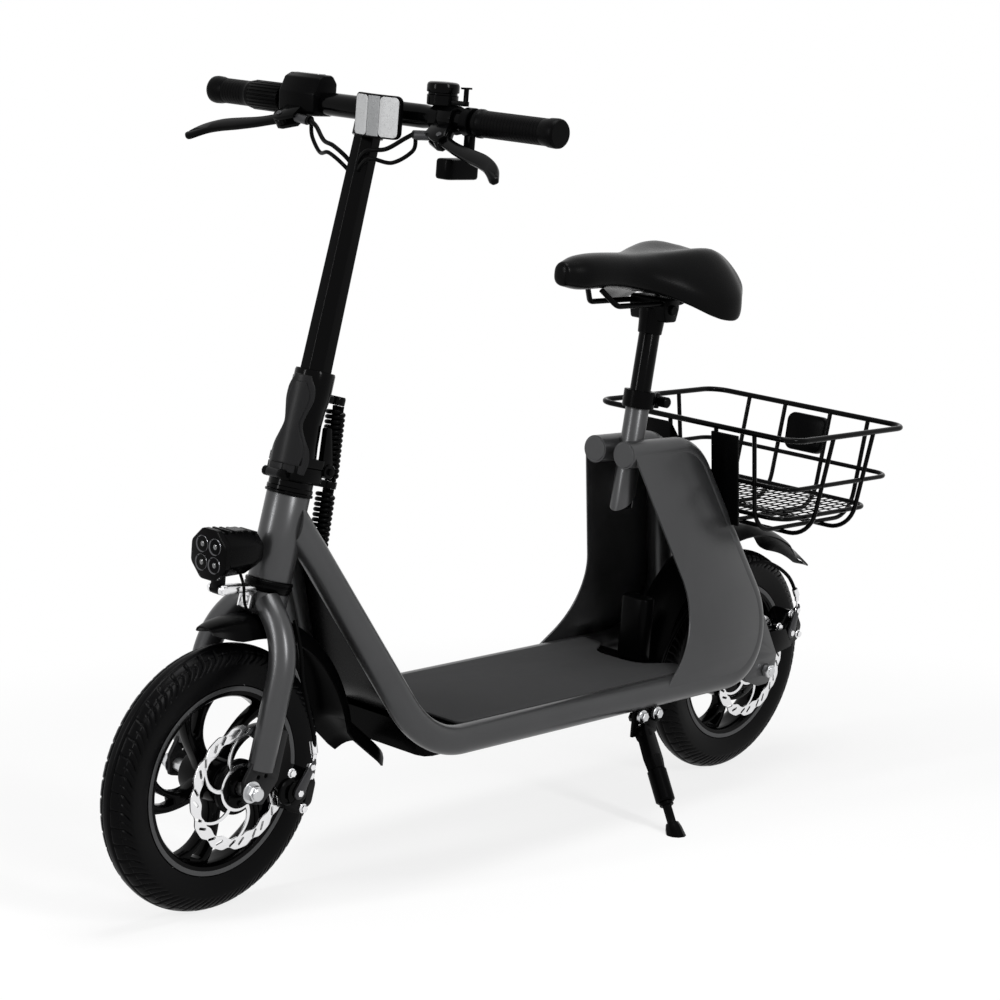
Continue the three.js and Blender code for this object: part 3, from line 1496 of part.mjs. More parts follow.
// The rod is flattened beside the bracket's cheek.
const cheekRoom = bar(standAxis.clone().multiplyScalar(-overrun),
  standAxis.clone().multiplyScalar(runningGap - cheekOffset), standHeadRadius * 1.25, 14);
const rodTop = alongLeg(standHeadRadius * 0.8);
const rodLeg = bar(rodTop, alongLeg(footTop + standFootHeight / 2), standRodRadius, 8);
const leg = joined(
  legHead,
  cut(rodLeg, cheekRoom),
  bar(alongLeg(standSleeveStart), alongLeg(standSleeveEnd), standSleeveRadius, 8),
  foot,
);
// The foot is cut flat where it meets the ground: the plane under both tyres, which leans in here.
const groundCutter = block(at(-wheelbase, -wheelbase, -wheelbase), at(wheelbase, wheelbase, 0))
  .rotateX(standLean)
  .translate(-standPivot.x, -standPivot.y, -standPivot.z);
piece(standGroup, 'kickstand_leg', blackMetal, cut(leg, groundCutter));

// Fold: a base on the steerer and a casting on the stem, hinged behind on one pin
const foldLow = upperCupTop + runningGap;
const flangeTop = foldHeight - runningGap;
const castingBase = foldHeight + runningGap;
const alongPin = (radius, halfLength, facets) =>
  rod(radius, 2 * halfLength, facets).translate(-foldPinBehind, 0, foldHeight);
const flange = (low, high) => slab(outline(rounded([
  at(-foldFlangeRear, -foldFlangeHalfWidth), at(foldFlangeFront, -foldFlangeHalfWidth),
  at(foldFlangeFront, foldFlangeHalfWidth), at(-foldFlangeRear, foldFlangeHalfWidth),
], foldFlangeCorner, 2, true)), high - low).translate(0, 0, low);
const outerKnuckles = (radius, gap) => [1, -1].map((side) => {
  const half = (foldFlangeHalfWidth - knuckleHalfLength) / 2;
  return rod(radius, 2 * (half + gap), 14)
    .translate(-foldPinBehind, side * (knuckleHalfLength + half + runningGap), foldHeight);
});
const leverLug = (side) => {
  const middle = side * (leverBarrelHalf + runningGap + leverLugWidth / 2);
  const lug = rod(leverBarrelRadius, leverLugWidth, 10)
    .translate(leverPivotAhead, middle, leverPivotHeight);
  const root = block(
    at(foldFlangeFront - leverLugWidth, middle - leverLugWidth / 2, leverPivotHeight - leverBarrelRadius),
    at(leverPivotAhead, middle + leverLugWidth / 2, leverPivotHeight + leverBarrelRadius * 0.8),
  );
  return joined(lug, root);
};
const clipMiddle = -bundleAtClip;
const clipHigh = clipLow + clipHeight;
const cableClip = joined(
  block(
    at(clipMiddle, -bundleRadius * 0.7, clipLow),
    at(-foldCollarRadius * 0.8, bundleRadius * 0.7, clipHigh),
  ),
  rodUp(bundleRadius + bundleWire, clipLow, clipHigh, 12).translate(clipMiddle, 0, 0),
);

function foldBase() {
  const collarPart = rodUp(foldCollarRadius, foldLow, foldHeight - foldFlangeHeight, headFacets);
  const knuckle = alongPin(knuckleRadius, knuckleHalfLength, 14);
  const pin = alongPin(foldPinRadius, foldFlangeHalfWidth + pinHead, 10);
  const leverPin = rod(leverPinRadius, 2 * leverBarrelHalf + leverLugWidth, 10)
    .translate(leverPivotAhead, 0, leverPivotHeight);
  const bore = rodUp(steererRadius + runningGap, foldLow - overrun, steererTop + runningGap, headFacets);
  const body = joined(collarPart, flange(foldHeight - foldFlangeHeight, flangeTop), knuckle);
  const recessed = cut(body, outerKnuckles(knuckleRadius + runningGap, runningGap));
  return cut(joined(recessed, pin, leverLug(1), leverLug(-1), leverPin, cableClip), bore);
}

piece(steering, 'fold_base', blackMetal, foldBase());

const stemTop = barHeight - barCentreRadius / 2;
const stemSocket = stemLowRadius + runningGap;
const castingSide = castingPad - castingWaistRadius * 0.4;

function stemCasting() {
  const body = turnedUp([
    [0, castingBase],
    [castingRootRadius, castingBase],
    [castingRootRadius, castingBase + foldTopHeight],
    [castingWaistRadius, castingWaist],
    [castingTopRadius, stemPortLow],
    [castingTopRadius, castingTop],
    [stemSocket, castingTop],
    [stemSocket, stemLow],
    [0, stemLow],
  ], headFacets);
  const pad = block(
    at(-catchWidth * 0.8, -castingPad, catchLow - catchTravel * 2),
    at(catchWidth * 0.8, -castingSide, catchLow + catchHeight + catchTravel / 2),
  );
  const port = joined(
    rodUp(bundleRadius + bundleWire, stemPortLow, stemPortLow + stemPortHeight, 12)
      .translate(-bundleHead, 0, 0),
    block(at(-bundleHead, -bundleRadius, stemPortLow),
      at(-castingTopRadius * 0.9, bundleRadius, stemPortLow + stemPortHeight)),
  );
  const ears = outerKnuckles(knuckleRadius, -runningGap);
  const pinHole = alongPin(foldPinRadius + runningGap, foldFlangeHalfWidth + overrun, 10);
  const innerSpace = alongPin(knuckleRadius + runningGap, knuckleHalfLength + runningGap, 14);
  const socket = rodUp(stemSocket, stemLow, castingTop + overrun, headFacets);
  const plate = flange(castingBase, castingBase + foldTopHeight);
  return cut(joined(body, plate, pad, port, ears), pinHole, innerSpace, socket);
}

piece(steering, 'stem_casting', blackMetal, stemCasting());

const barCutter = rod(barCentreRadius + 3 * runningGap, 2 * overrun, headFacets)
  .translate(-barBehind, 0, barHeight);
const stemTube = turnedUp(ringOf([
  [stemLowRadius - stemWall, stemLow + runningGap],
  [stemLowRadius, stemLow + runningGap],
  [stemHighRadius, stemTop],
  [stemHighRadius - stemWall, stemTop],
]), headFacets);
piece(steering, 'stem_tube', blackMetal, cut(stemTube, barCutter));

// The fold lever: an hourglass plate up the casting's front, on a barrel between the base's lugs
function foldLever() {
  const near = castingTopRadius + foldLeverGap;
  const span = foldLeverTop - leverPivotHeight;
  const heightShares = [0.09, 0.2, 0.46, 0.84, 0.96, 1];
  const widthShares = [0.8, 0.8, 0.36, 0.56, 0.5, 0.26];
  const edge = (sign) => heightShares.map((share, i) =>
    at(sign * widthShares[i] * foldFlangeHalfWidth, leverPivotHeight + share * span));
  const plate = slab(outline([...edge(-1), ...edge(1).reverse()]), foldLeverThickness)
    .rotateX(quarterTurn)
    .rotateZ(quarterTurn)
    .translate(near, 0, 0);
  const barrel = rod(leverBarrelRadius, 2 * leverBarrelHalf, 12)
    .translate(leverPivotAhead, 0, leverPivotHeight);
  const neck = block(
    at(near, -leverBarrelHalf, leverPivotHeight),
    at(near + foldLeverThickness, leverBarrelHalf, leverPivotHeight + span * 0.15),
  );
  const pinHole = rod(leverPinRadius + runningGap, 2 * overrun, 10)
    .translate(leverPivotAhead, 0, leverPivotHeight);
  return cut(joined(plate, barrel, neck), pinHole);
}

piece(steering, 'fold_lever', blackMetal, foldLever());
piece(steering, 'fold_catch', blackMetal, block(
  at(-catchWidth / 2, -castingPad - runningGap - catchThickness, catchLow),
  at(catchWidth / 2, -castingPad - runningGap, catchLow + catchHeight),
));

// Handlebar: X forward and level, its centre line along Y
const bars = frameAt(steering, at(-barBehind, 0, barHeight), headAngle);
piece(bars, 'handlebar', blackMetal, joined(
  rod(barRadius, 2 * barHalfLength, barFacets),
  rod(barCentreRadius, 2 * barCentreHalf, barFacets),
));
const controlBore = barRadius + 2 * runningGap;

function grip(inner) {
  const bulge = gripRadius - gripWaist;
  const inside = barHalfLength + runningGap;
  return turned([
    [0, inside],
    [controlBore, inside],
    [controlBore, inner],
    [gripRadius, inner],
    [gripRadius, inner + 2 * gripCap],
    [bulge, inner + 3 * gripCap],
    [bulge, gripOuter - 3 * gripCap],
    [gripRadius, gripOuter - 2 * gripCap],
    [gripRadius, gripOuter - gripCap / 2],
    [bulge, gripOuter],
    [0, gripOuter],
  ], barFacets);
}

piece(bars, 'left_grip', rubber, grip(gripInner));
piece(bars, 'right_grip', rubber, mirrored(grip(twistOuter + 2 * runningGap)));

// The twist throttle is ribbed all round.
const ribPoints = steps(2 * twistRibs).slice(0, 2 * twistRibs)
  .map((share, i) => polar(twistRadius - (i % 2) * gripWaist, share * fullTurn));
const twistShape = outline(ribPoints);
twistShape.holes.push(hole(circlePoints(controlBore, barFacets)));
piece(bars, 'throttle_twist', rubber,
  sideSlab(twistShape, twistOuter - twistInner, -(twistInner + twistOuter) / 2));

const housingShape = outline(rounded([
  at(housingAhead, -housingDrop),
  at(housingAhead, housingRise * 0.3),
  at(housingAhead * 0.5, housingRise),
  at(-housingBehind * 0.5, housingRise),
  at(-housingBehind, housingRise * 0.4),
  at(-housingBehind, -housingDrop),
], housingAhead / 4, 2, true));
housingShape.holes.push(hole(circlePoints(controlBore, barFacets)));
const perchRoom = block(
  at(-overrun, -perchY - perchWidth / 2 - perchWall, -overrun),
  at(overrun, -perchY + perchWidth / 2 + perchWall, controlBore + perchWall + runningGap),
);
piece(bars, 'throttle_housing', blackPlastic, cut(
  sideSlab(housingShape, housingOuter - housingInner, -(housingInner + housingOuter) / 2),
  perchRoom,
));

// Brake levers: X reaches forward and down, Z is the lever's axis
const controls = frameAt(bars, at(0, 0, 0), leverDroop);

function perch() {
  const ringShape = disc(controlBore + perchWall, barFacets);
  ringShape.holes.push(hole(circlePoints(controlBore, barFacets)));
  const ring = sideSlab(ringShape, perchWidth, perchY);
  const cheekPoints = [
    at(controlBore + perchWall / 2, perchY - perchWidth / 2),
    at(leverPivotReach, perchY - perchWidth / 2),
    at(leverPivotReach + leverPinHeight, leverPivotY - leverPinHeight / 2),
    at(leverPivotReach + leverPinHeight, leverPivotY + leverPinHeight / 2),
    at(leverPivotReach, leverPivotY + leverPinHeight),
    at(controlBore + perchWall / 2, perchY + perchWidth / 2),
  ];
  const near = leverThickness / 2 + runningGap;
  const cheekAt = (low) => slab(outline(cheekPoints), perchPlate).translate(0, 0, low);
  const back = block(
    at(controlBore + perchWall / 2, perchY - perchWidth / 2, -near - perchPlate),
    at(leverPivotReach / 2 + perchWall, perchY + perchWidth / 2, near + perchPlate),
  );
  const pin = rodUp(leverPinRadius, -near - perchPlate / 2, near + perchPlate / 2, 10)
    .translate(leverPivotReach, leverPivotY, 0);
  const adjuster = bar(at(leverPivotReach * 0.8, perchY, 0),
    at(leverPivotReach * 0.9, perchY - perchWidth / 2 - adjusterLength, 0), adjusterRadius, 10);
  const leverRoom = rodUp(leverWidth, -near, near, 16).translate(leverPivotReach, leverPivotY, 0);
  const body = cut(joined(back, adjuster), leverRoom);
  const bore = rod(controlBore, 4 * perchWidth, barFacets).translate(0, perchY, 0);
  return cut(joined(ring, cheekAt(near), cheekAt(-near - perchPlate), body, pin), bore);
}

function brakeLever() {
  const along = (reachShare, lengthShare) =>
    at(leverPivotReach + reachShare * leverReachOut, leverPivotY + lengthShare * leverLength);
  const path = [
    along(0, 0), along(0.2, 0.24), along(0.36, 0.48), along(0.5, 0.7), along(0.7, 0.87), along(1, 1),
  ];
  const flatten = leverThickness / leverWidth;
  const section = outline(circlePoints(leverWidth / 2, 8).map((p) => at(p.x * flatten, p.y)));
  const blade = sweep(section, path);
  const hub = rodUp(leverWidth * 0.62, -leverThickness / 2, leverThickness / 2, 12)
    .translate(leverPivotReach, leverPivotY, 0);
  const ball = new THREE.SphereGeometry(leverBallRadius, 8, 5);
  const tip = path[path.length - 1];
  const pinHole = rodUp(leverPinRadius + runningGap, -overrun, overrun, 10)
    .translate(leverPivotReach, leverPivotY, 0);
  return cut(joined(blade, hub, ball.translate(tip.x, tip.y, tip.z)), pinHole);
}

for (const side of [1, -1]) {
  const name = side > 0 ? 'left' : 'right';
  const facing = (form) => (side > 0 ? form : form.mirror([0, 1, 0]));
  piece(controls, `${name}_lever_perch`, blackMetal, facing(perch()));
  piece(controls, `${name}_brake_lever`, blackMetal, facing(brakeLever()));
}

// Bell: a dome on a post over its clamp, and a striker lever round the post
function bell() {
  const dome = bellBase + bellLeverHeight + 2 * runningGap;
  const top = dome + bellHeight;
  const post = bellRadius / 4;
  return joined(
    turnedUp([
      [0, barRadius + perchWall / 2],
      [post, barRadius + perchWall / 2],
      [post, top - 2 * bellWall],
      [bellRadius * 0.6, top - 2 * bellWall],
      [bellRadius - bellWall, top - 3 * bellWall],
      [bellRadius - bellWall, dome],
      [bellRadius, dome],
      [bellRadius, top - 3 * bellWall],
      [bellRadius * 0.65, top - bellWall * 0.4],
      [0, top],
    ], 12).translate(0, bellY, 0),
    cut(
      rod(controlBore + perchWall, perchWidth * 0.6, barFacets),
      rod(controlBore, 2 * perchWidth, barFacets),
    )
      .translate([0, bellY, 0]),
  );
}

piece(bars, 'bell', blackMetal, bell());

function bellLever() {
  const post = bellRadius / 4 + runningGap;
  const low = bellBase;
  const hub = rodUp(post + bellWall, low, low + bellLeverHeight, 12);
  const arm = block(
    at(-bellTabWidth / 4, 0, low),
    at(bellTabWidth / 4, bellLeverLength, low + bellLeverHeight),
  );
  const tab = block(
    at(-bellWall, bellLeverLength - 2 * bellWall, low),
    at(bellWall, bellLeverLength, low + bellTabHeight),
  );
  const cross = block(
    at(-bellTabWidth / 2, bellLeverLength - 2 * bellWall, low + bellTabHeight - bellWall),
    at(bellTabWidth / 2, bellLeverLength, low + bellTabHeight),
  );
  return cut(joined(hub, arm, tab, cross), rodUp(post, low - overrun, low + overrun, 12))
    .translate([0, bellY, 0]);
}

piece(bars, 'bell_lever', blackMetal, bellLever());

// Switch box: it hangs from a clamp between the left perch and the grip
function switchBox() {
  const ring = rod(controlBore + perchWall, switchWidth, barFacets).translate(0, switchY, 0);
  const strap = block(
    at(-switchBoxHalf / 2, switchY - switchWidth / 2, -switchBoxTop - switchWidth / 2),
    at(switchBoxHalf / 2, switchY + switchWidth / 2, 0),
  );
  const box = slab(roundBox(switchBoxAhead, 2 * switchBoxHalf, switchBoxHalf / 3), switchBoxDepth)
    .translate((switchBoxAhead - switchBoxHalf) / 2, switchY - switchWidth / 4,
      -switchBoxTop - switchBoxDepth);
  const recess = buttonRod(switchButtonRadius + runningGap, switchTravel + runningGap);
  const bore = rod(controlBore, 2 * switchWidth, barFacets).translate(0, switchY, 0);
  return cut(joined(ring, strap, box), recess, bore);
}

// The button's barrel, lengthened into the box by a depth.
function buttonRod(radius, deeper) {
  const face = -switchBoxHalf / 2;
  return bar(
    at(face - 2 * switchTravel, switchY - switchWidth / 4, -switchBoxTop - switchBoxDepth / 2),
    at(face + switchButtonRadius + deeper, switchY - switchWidth / 4, -switchBoxTop - switchBoxDepth / 2),
    radius, 12,
  );
}

piece(bars, 'switch_box', blackPlastic, switchBox());
piece(bars, 'switch_button', blackPlastic, buttonRod(switchButtonRadius, 0));

// Front reflector: a bowed panel on the middle of the bar
const reflectorBack = barBehind + stemHighRadius + reflectorStandOff;
const reflectorShape = outline([
  at(reflectorBack, -reflectorWidth / 2),
  at(reflectorBack + reflectorThickness / 2, -reflectorWidth / 2),
  ...[-0.3, 0, 0.3].map((share) => at(
    reflectorBack + reflectorThickness / 2 + reflectorBow * (1 - (2 * share) ** 2),
    share * reflectorWidth,
  )),
  at(reflectorBack + reflectorThickness / 2, reflectorWidth / 2),
  at(reflectorBack, reflectorWidth / 2),
]);
const reflectorArm = block(
  at(barCentreRadius + runningGap, reflectorY + reflectorWidth * 0.1, -barCentreRadius / 2),
  at(reflectorBack + reflectorThickness / 4, reflectorY + reflectorWidth * 0.35, barCentreRadius / 2),
);
piece(bars, 'front_reflector', reflectorLens, joined(
  slab(reflectorShape, reflectorHeight).translate(0, reflectorY, reflectorLow),
  reflectorArm,
));

// Control cables: each side loops from its lever to the stem
const loomPath = (side) => new THREE.CatmullRomCurve3([
  at(loomStartAhead, side * loomStart, -loomStartDrop),
  at(loomStartAhead, side * (loomStart - 2 * cableLoom), -loomStartDrop - cableLoom / 4),
  at(loomStartAhead, side * loomStart * 0.62, -cableDrop * 0.75),
  at(stemMeet, side * loomStart * 0.42, -cableDrop),
  at(stemMeet, -side * cableLoom, -cableDrop),
]).getPoints(9);
piece(bars, 'control_cables', rubber, joined(
  tube(loomPath(1), cableLoom / 2, cableSides),
  tube(loomPath(-1), cableLoom / 2, cableSides),
));

// Lamp: level, on a strap bracket that is bolted to the crown's front
const lampPivot = at(lampLugX, 0, lampLugLow).sub(steering.position)
  .applyAxisAngle(at(0, 1, 0), headAngle);
const lampFrame = frameAt(steering, lampPivot, headAngle);

function lamp() {
  const rise = lampHeight - lampLugLow;
  const xs = [lampAhead, lampAhead - lampFinDepth, lampAhead - lampFinDepth * 1.6, lampBack / 2, lampBack];
  const radiusShares = [1, 1, 0.9, 0.88, 0.66];
  const rings = xs.map((x, i) => circlePoints(lampRadius * radiusShares[i], lampSides)
    .map((p) => at(x - lampLugX, p.x, rise + p.y)));
  const fins = steps(lampFins - 1).map((share) => {
    const x = mix(lampBack + lampFinGap * 2, lampAhead - lampFinDepth * 3, share) - lampLugX;
    return block(
      at(x - lampFinGap / 2, -lampRadius, rise + lampRadius * 0.9 - lampFinDepth),
      at(x + lampFinGap / 2, lampRadius, rise + 2 * lampRadius),
    );
  });
  const lug = block(
    at(-lampLugWidth / 2, -lampLugWidth / 2, 0),
    at(lampLugWidth / 2, lampLugWidth / 2, rise - lampRadius / 2),
  );
  const eye = rod(lampLugWidth / 2, lampLugWidth, 12);
  const pinHole = rod(strapPin + runningGap, 2 * lampLugWidth, 10);
  return cut(joined(lofted(rings), lug, eye), fins, pinHole);
}

piece(lampFrame, 'headlight', blackMetal, lamp());

function lampBracket() {
  const foot = at(crownRadius + runningGap, crownTop - crownHeight * 0.85);
  const rise = crownHeight * 0.8;
  const side = lampLugWidth / 2 + runningGap + strapThickness / 2;
  const eyeRadius = strapWidth / 2;
  const shape = outline([
    at(foot.x, foot.y),
    at(foot.x + strapWidth, foot.y),
    at(lampPivot.x - eyeRadius * 0.5, lampPivot.z - eyeRadius),
    at(lampPivot.x + eyeRadius * 0.6, lampPivot.z - eyeRadius * 0.8),
    at(lampPivot.x + eyeRadius, lampPivot.z),
    at(lampPivot.x + eyeRadius * 0.6, lampPivot.z + eyeRadius * 0.8),
    at(lampPivot.x - eyeRadius * 0.5, lampPivot.z + eyeRadius),
    at(foot.x, foot.y + rise),
  ]);
  const plate = block(
    at(foot.x, -side - strapThickness / 2, foot.y),
    at(foot.x + strapThickness, side + strapThickness / 2, foot.y + rise),
  );
  const pin = rod(strapPin, 2 * side + 2 * strapThickness, 10)
    .translate(lampPivot.x, 0, lampPivot.z);
  const arms = [side, -side].map((y) => sideSlab(shape, strapThickness, y));
  return joined(plate, pin, arms);
}

piece(steering, 'light_bracket', brightSteel, lampBracket());

// Brake cables, each along its whole route to its caliper arm
const routePoints = (route, count) =>
  new THREE.CatmullRomCurve3(route.map(([x, y, z]) => at(x, y, z))).getPoints(count);
const frontRoute = routePoints(frontCableRoute, 14);
piece(steering, 'front_brake_cable', rubber, tube(frontRoute, cableRadius, cableSides));
const rearRoute = routePoints(rearCableRoute, 18).map((p) => p.sub(at(wheelbase, 0)));
piece(upright, 'rear_brake_cable', rubber, tube(rearRoute, cableRadius, cableSides));

// The cable bundle in its spiral wrap, above and below the clip
function wrapRoute(top, bottom, bow) {
  const middle = top.clone().lerp(bottom, 0.5).add(at(-bow, 0, 0));
  return new THREE.CatmullRomCurve3([top, middle, bottom]);
}

function spiral(curve) {
  const length = curve.getLength();
  const lead = 2 * bundleWire;
  const wound = length - 2 * lead;
  const curls = Math.round(wound / bundlePitch);
  const count = curls * bundleCurlSteps;
  const radius = bundleRadius - bundleWire;
  const place = (share, angle, shift = 0) => {
    const way = curve.getTangentAt(share);
    const across = at(0, 1, 0);
    const other = way.clone().cross(across);
    return curve.getPointAt(share).addScaledVector(across, radius * Math.cos(angle))
      .addScaledVector(other, radius * Math.sin(angle)).addScaledVector(way, shift);
  };
  const first = (lead / length);
  const points = steps(count).map((share) =>
    place(mix(first, 1 - first, share), share * curls * fullTurn));
  const turnsApart = points.slice(bundleCurlSteps).map((p, i) => p.distanceTo(points[i]));
  const least = Math.min(...turnsApart) - 2 * bundleWire;
  console.log(`Spiral wrap: ${curls} curls, least gap between curls ${least.toFixed(2)} mm`);
  const enter = points[0].clone().addScaledVector(curve.getTangentAt(0), -lead);
  const leave = points[count].clone().addScaledVector(curve.getTangentAt(1), lead);
  return tube([enter, ...points, leave], bundleWire, bundleWireSides);
}

const upperRoute = wrapRoute(
  at(-bundleHead, 0, stemPortLow - bundleGap), at(-bundleAtClip, 0, clipHigh + bundleGap), 0);
const lowerRoute = wrapRoute(
  at(-bundleAtClip, 0, clipLow - bundleGap), at(-bundleFoot, 0, framePortTop + bundleGap), 0);
piece(steering, 'upper_cable_wrap', blackPlastic, spiral(upperRoute));
piece(steering, 'lower_cable_wrap', blackPlastic, spiral(lowerRoute));

// The part leans onto its stand. Its origin is the middle of its box, on the ground.
scooter.updateMatrixWorld(true);
const bounds = new THREE.Box3().setFromObject(scooter, true);
const middle = bounds.getCenter(at(0, 0, 0));
scooter.position.set(-middle.x, -middle.y, -bounds.min.z);

export default scooter;
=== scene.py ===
"""Seated electric scooter: its surfaces and fine forms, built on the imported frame.

Lengths are millimetres in the frame that each form is drawn in; a form becomes metres of the
shared frame when it is fitted.
"""

import json
import logging
from dataclasses import dataclass
from enum import Enum
from math import asin, atan, atan2, copysign, cos, hypot, pi, radians, sin, sqrt, tan
from typing import Any, Callable, Iterable, Optional, Sequence

import bmesh
import bpy
from mathutils import Matrix, Vector

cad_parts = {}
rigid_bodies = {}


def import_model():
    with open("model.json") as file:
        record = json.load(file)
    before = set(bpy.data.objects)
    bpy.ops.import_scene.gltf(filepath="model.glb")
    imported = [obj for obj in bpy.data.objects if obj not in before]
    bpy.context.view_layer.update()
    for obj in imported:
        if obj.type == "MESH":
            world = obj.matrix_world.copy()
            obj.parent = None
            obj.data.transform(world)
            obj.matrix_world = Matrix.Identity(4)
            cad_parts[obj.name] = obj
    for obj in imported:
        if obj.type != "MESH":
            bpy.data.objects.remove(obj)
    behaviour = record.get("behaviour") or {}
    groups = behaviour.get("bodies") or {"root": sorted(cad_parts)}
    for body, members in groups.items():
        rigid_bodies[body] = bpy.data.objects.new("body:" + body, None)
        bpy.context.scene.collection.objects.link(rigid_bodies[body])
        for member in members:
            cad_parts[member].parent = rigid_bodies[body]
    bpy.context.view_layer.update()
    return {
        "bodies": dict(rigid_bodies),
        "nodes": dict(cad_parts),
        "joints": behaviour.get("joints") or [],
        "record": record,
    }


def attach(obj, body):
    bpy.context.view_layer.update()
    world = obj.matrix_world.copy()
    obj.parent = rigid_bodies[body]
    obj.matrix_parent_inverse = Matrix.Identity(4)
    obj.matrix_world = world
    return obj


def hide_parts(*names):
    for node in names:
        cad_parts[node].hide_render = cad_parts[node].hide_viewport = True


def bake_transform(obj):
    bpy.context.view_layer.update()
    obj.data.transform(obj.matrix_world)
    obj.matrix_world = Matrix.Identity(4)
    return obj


log = logging.getLogger("scooter")
MM = 0.001
TAU = 2 * pi
QUARTER = pi / 2
SIDES = ((1, "left"), (-1, "right"))


# Points and routes

def at(x: float, y: float, z: float = 0.0) -> Vector:
    """A point from its coordinates."""
    return Vector((x, y, z))


def polar(radius: float, angle: float) -> Vector:
    """A point of the XY plane at a radius and an angle."""
    return at(radius * cos(angle), radius * sin(angle))


def mix(a: float, b: float, share: float) -> float:
    """The number at a share of the way from a to b."""
    return a + (b - a) * share


def clamp(value: float) -> float:
    """A number held between 0 and 1."""
    return min(1, max(0, value))


def shares(count: int) -> list[float]:
    """The numbers from 0 to 1 in count equal steps."""
    return [i / count for i in range(count + 1)]


def smooth_shares(values: Sequence[float], share: float) -> float:
    """Read a table of evenly spaced values on a smooth curve.

    Args:
        values: the table.
        share: the place along it, 0 to 1.
    Returns:
        The value there.
    """
    last = len(values) - 1
    place = min(max(share, 0.0), 1.0) * last
    i = min(int(place), last - 1)
    t = place - i
    a, b = values[max(i - 1, 0)], values[i]
    c, d = values[i + 1], values[min(i + 2, last)]
    return 0.5 * (2 * b + (c - a) * t + (2 * a - 5 * b + 4 * c - d) * t * t
                  + (3 * b - a - 3 * c + d) * t ** 3)


def smooth_route(points: Sequence[Sequence[float]], count: int) -> list[Vector]:
    """A smooth route through a few points.

    Args:
        points: the points that it passes.
        count: the number of steps on it.
    Returns:
        The points of the route.
    """
    axes = [[at(*p)[k] for p in points] for k in range(3)]
    return [Vector([smooth_shares(axis, share) for axis in axes]) for share in shares(count)]


def rounded(corners: Sequence[Sequence[float]], radii: float | Sequence[float], steps: int = 10,
            closed: bool = False) -> list[Vector]:
    """A polyline whose corners are arcs.

    Args:
        corners: the sharp corners.
        radii: one radius for all of them, or one for each.
        steps: the steps of each arc.
        closed: whether the last corner runs on to the first.
    Returns:
        The points of the rounded line.
    """
    corners, count = [at(*p) for p in corners], len(corners)
    points: list[Vector] = []
    for i, corner in enumerate(corners):
        radius = radii[i] if isinstance(radii, (list, tuple)) else radii
        if radius == 0 or (not closed and i in (0, count - 1)):
            points.append(corner.copy())
            continue
        back = (corners[i - 1] - corner).normalized()
        ahead = (corners[(i + 1) % count] - corner).normalized()
        inner = back.angle(ahead)
        centre = corner + (back + ahead).normalized() * (radius / sin(inner / 2))
        reach = radius / tan(inner / 2)
        first, last = corner + back * reach - centre, corner + ahead * reach - centre
        sweep = pi - inner
        for share in shares(steps):
            near = sin((1 - share) * sweep) / sin(sweep)
            far = sin(share * sweep) / sin(sweep)
            points.append(centre + first * near + last * far)
    return points


def headings(route: Sequence[Vector]) -> list[Vector]:
    """The way that a route runs at each of its points."""
    last = len(route) - 1
    return [(route[min(i + 1, last)] - route[max(i - 1, 0)]).normalized() for i in range(last + 1)]


def circle(radius: float, sides: int = 24, centre: Vector = at(0, 0)) -> list[Vector]:
    """Points on a circle in the XY plane."""
    return [polar(radius, i / sides * TAU) + centre for i in range(sides)]


def spun_points(points: Iterable[Vector], angle: float) -> list[Vector]:
    """Points of the XY plane turned about the origin."""
    return [Matrix.Rotation(angle, 3, "Z") @ p for p in points]


# The machine's frames

class Place(Enum):
    """What a form is drawn on."""

    UPRIGHT = "upright"
    STEERING = "steering"
    FRONT_HUB = "front hub"
    REAR_HUB = "rear hub"
    SEAT = "seat"
    BARS = "bars"
    CONTROLS = "controls"
    LAMP = "lamp"
    FRONT_CALIPER = "front caliper"
    REAR_CALIPER = "rear caliper"
    WALL_REAR = "basket rear"
    SHARED = "shared"


Spot = tuple[Place, str]
ON_FRAME: Spot = (Place.UPRIGHT, "frame")
ON_FORK: Spot = (Place.STEERING, "fork")
ON_STEM: Spot = (Place.STEERING, "stem")
ON_BARS: Spot = (Place.BARS, "stem")


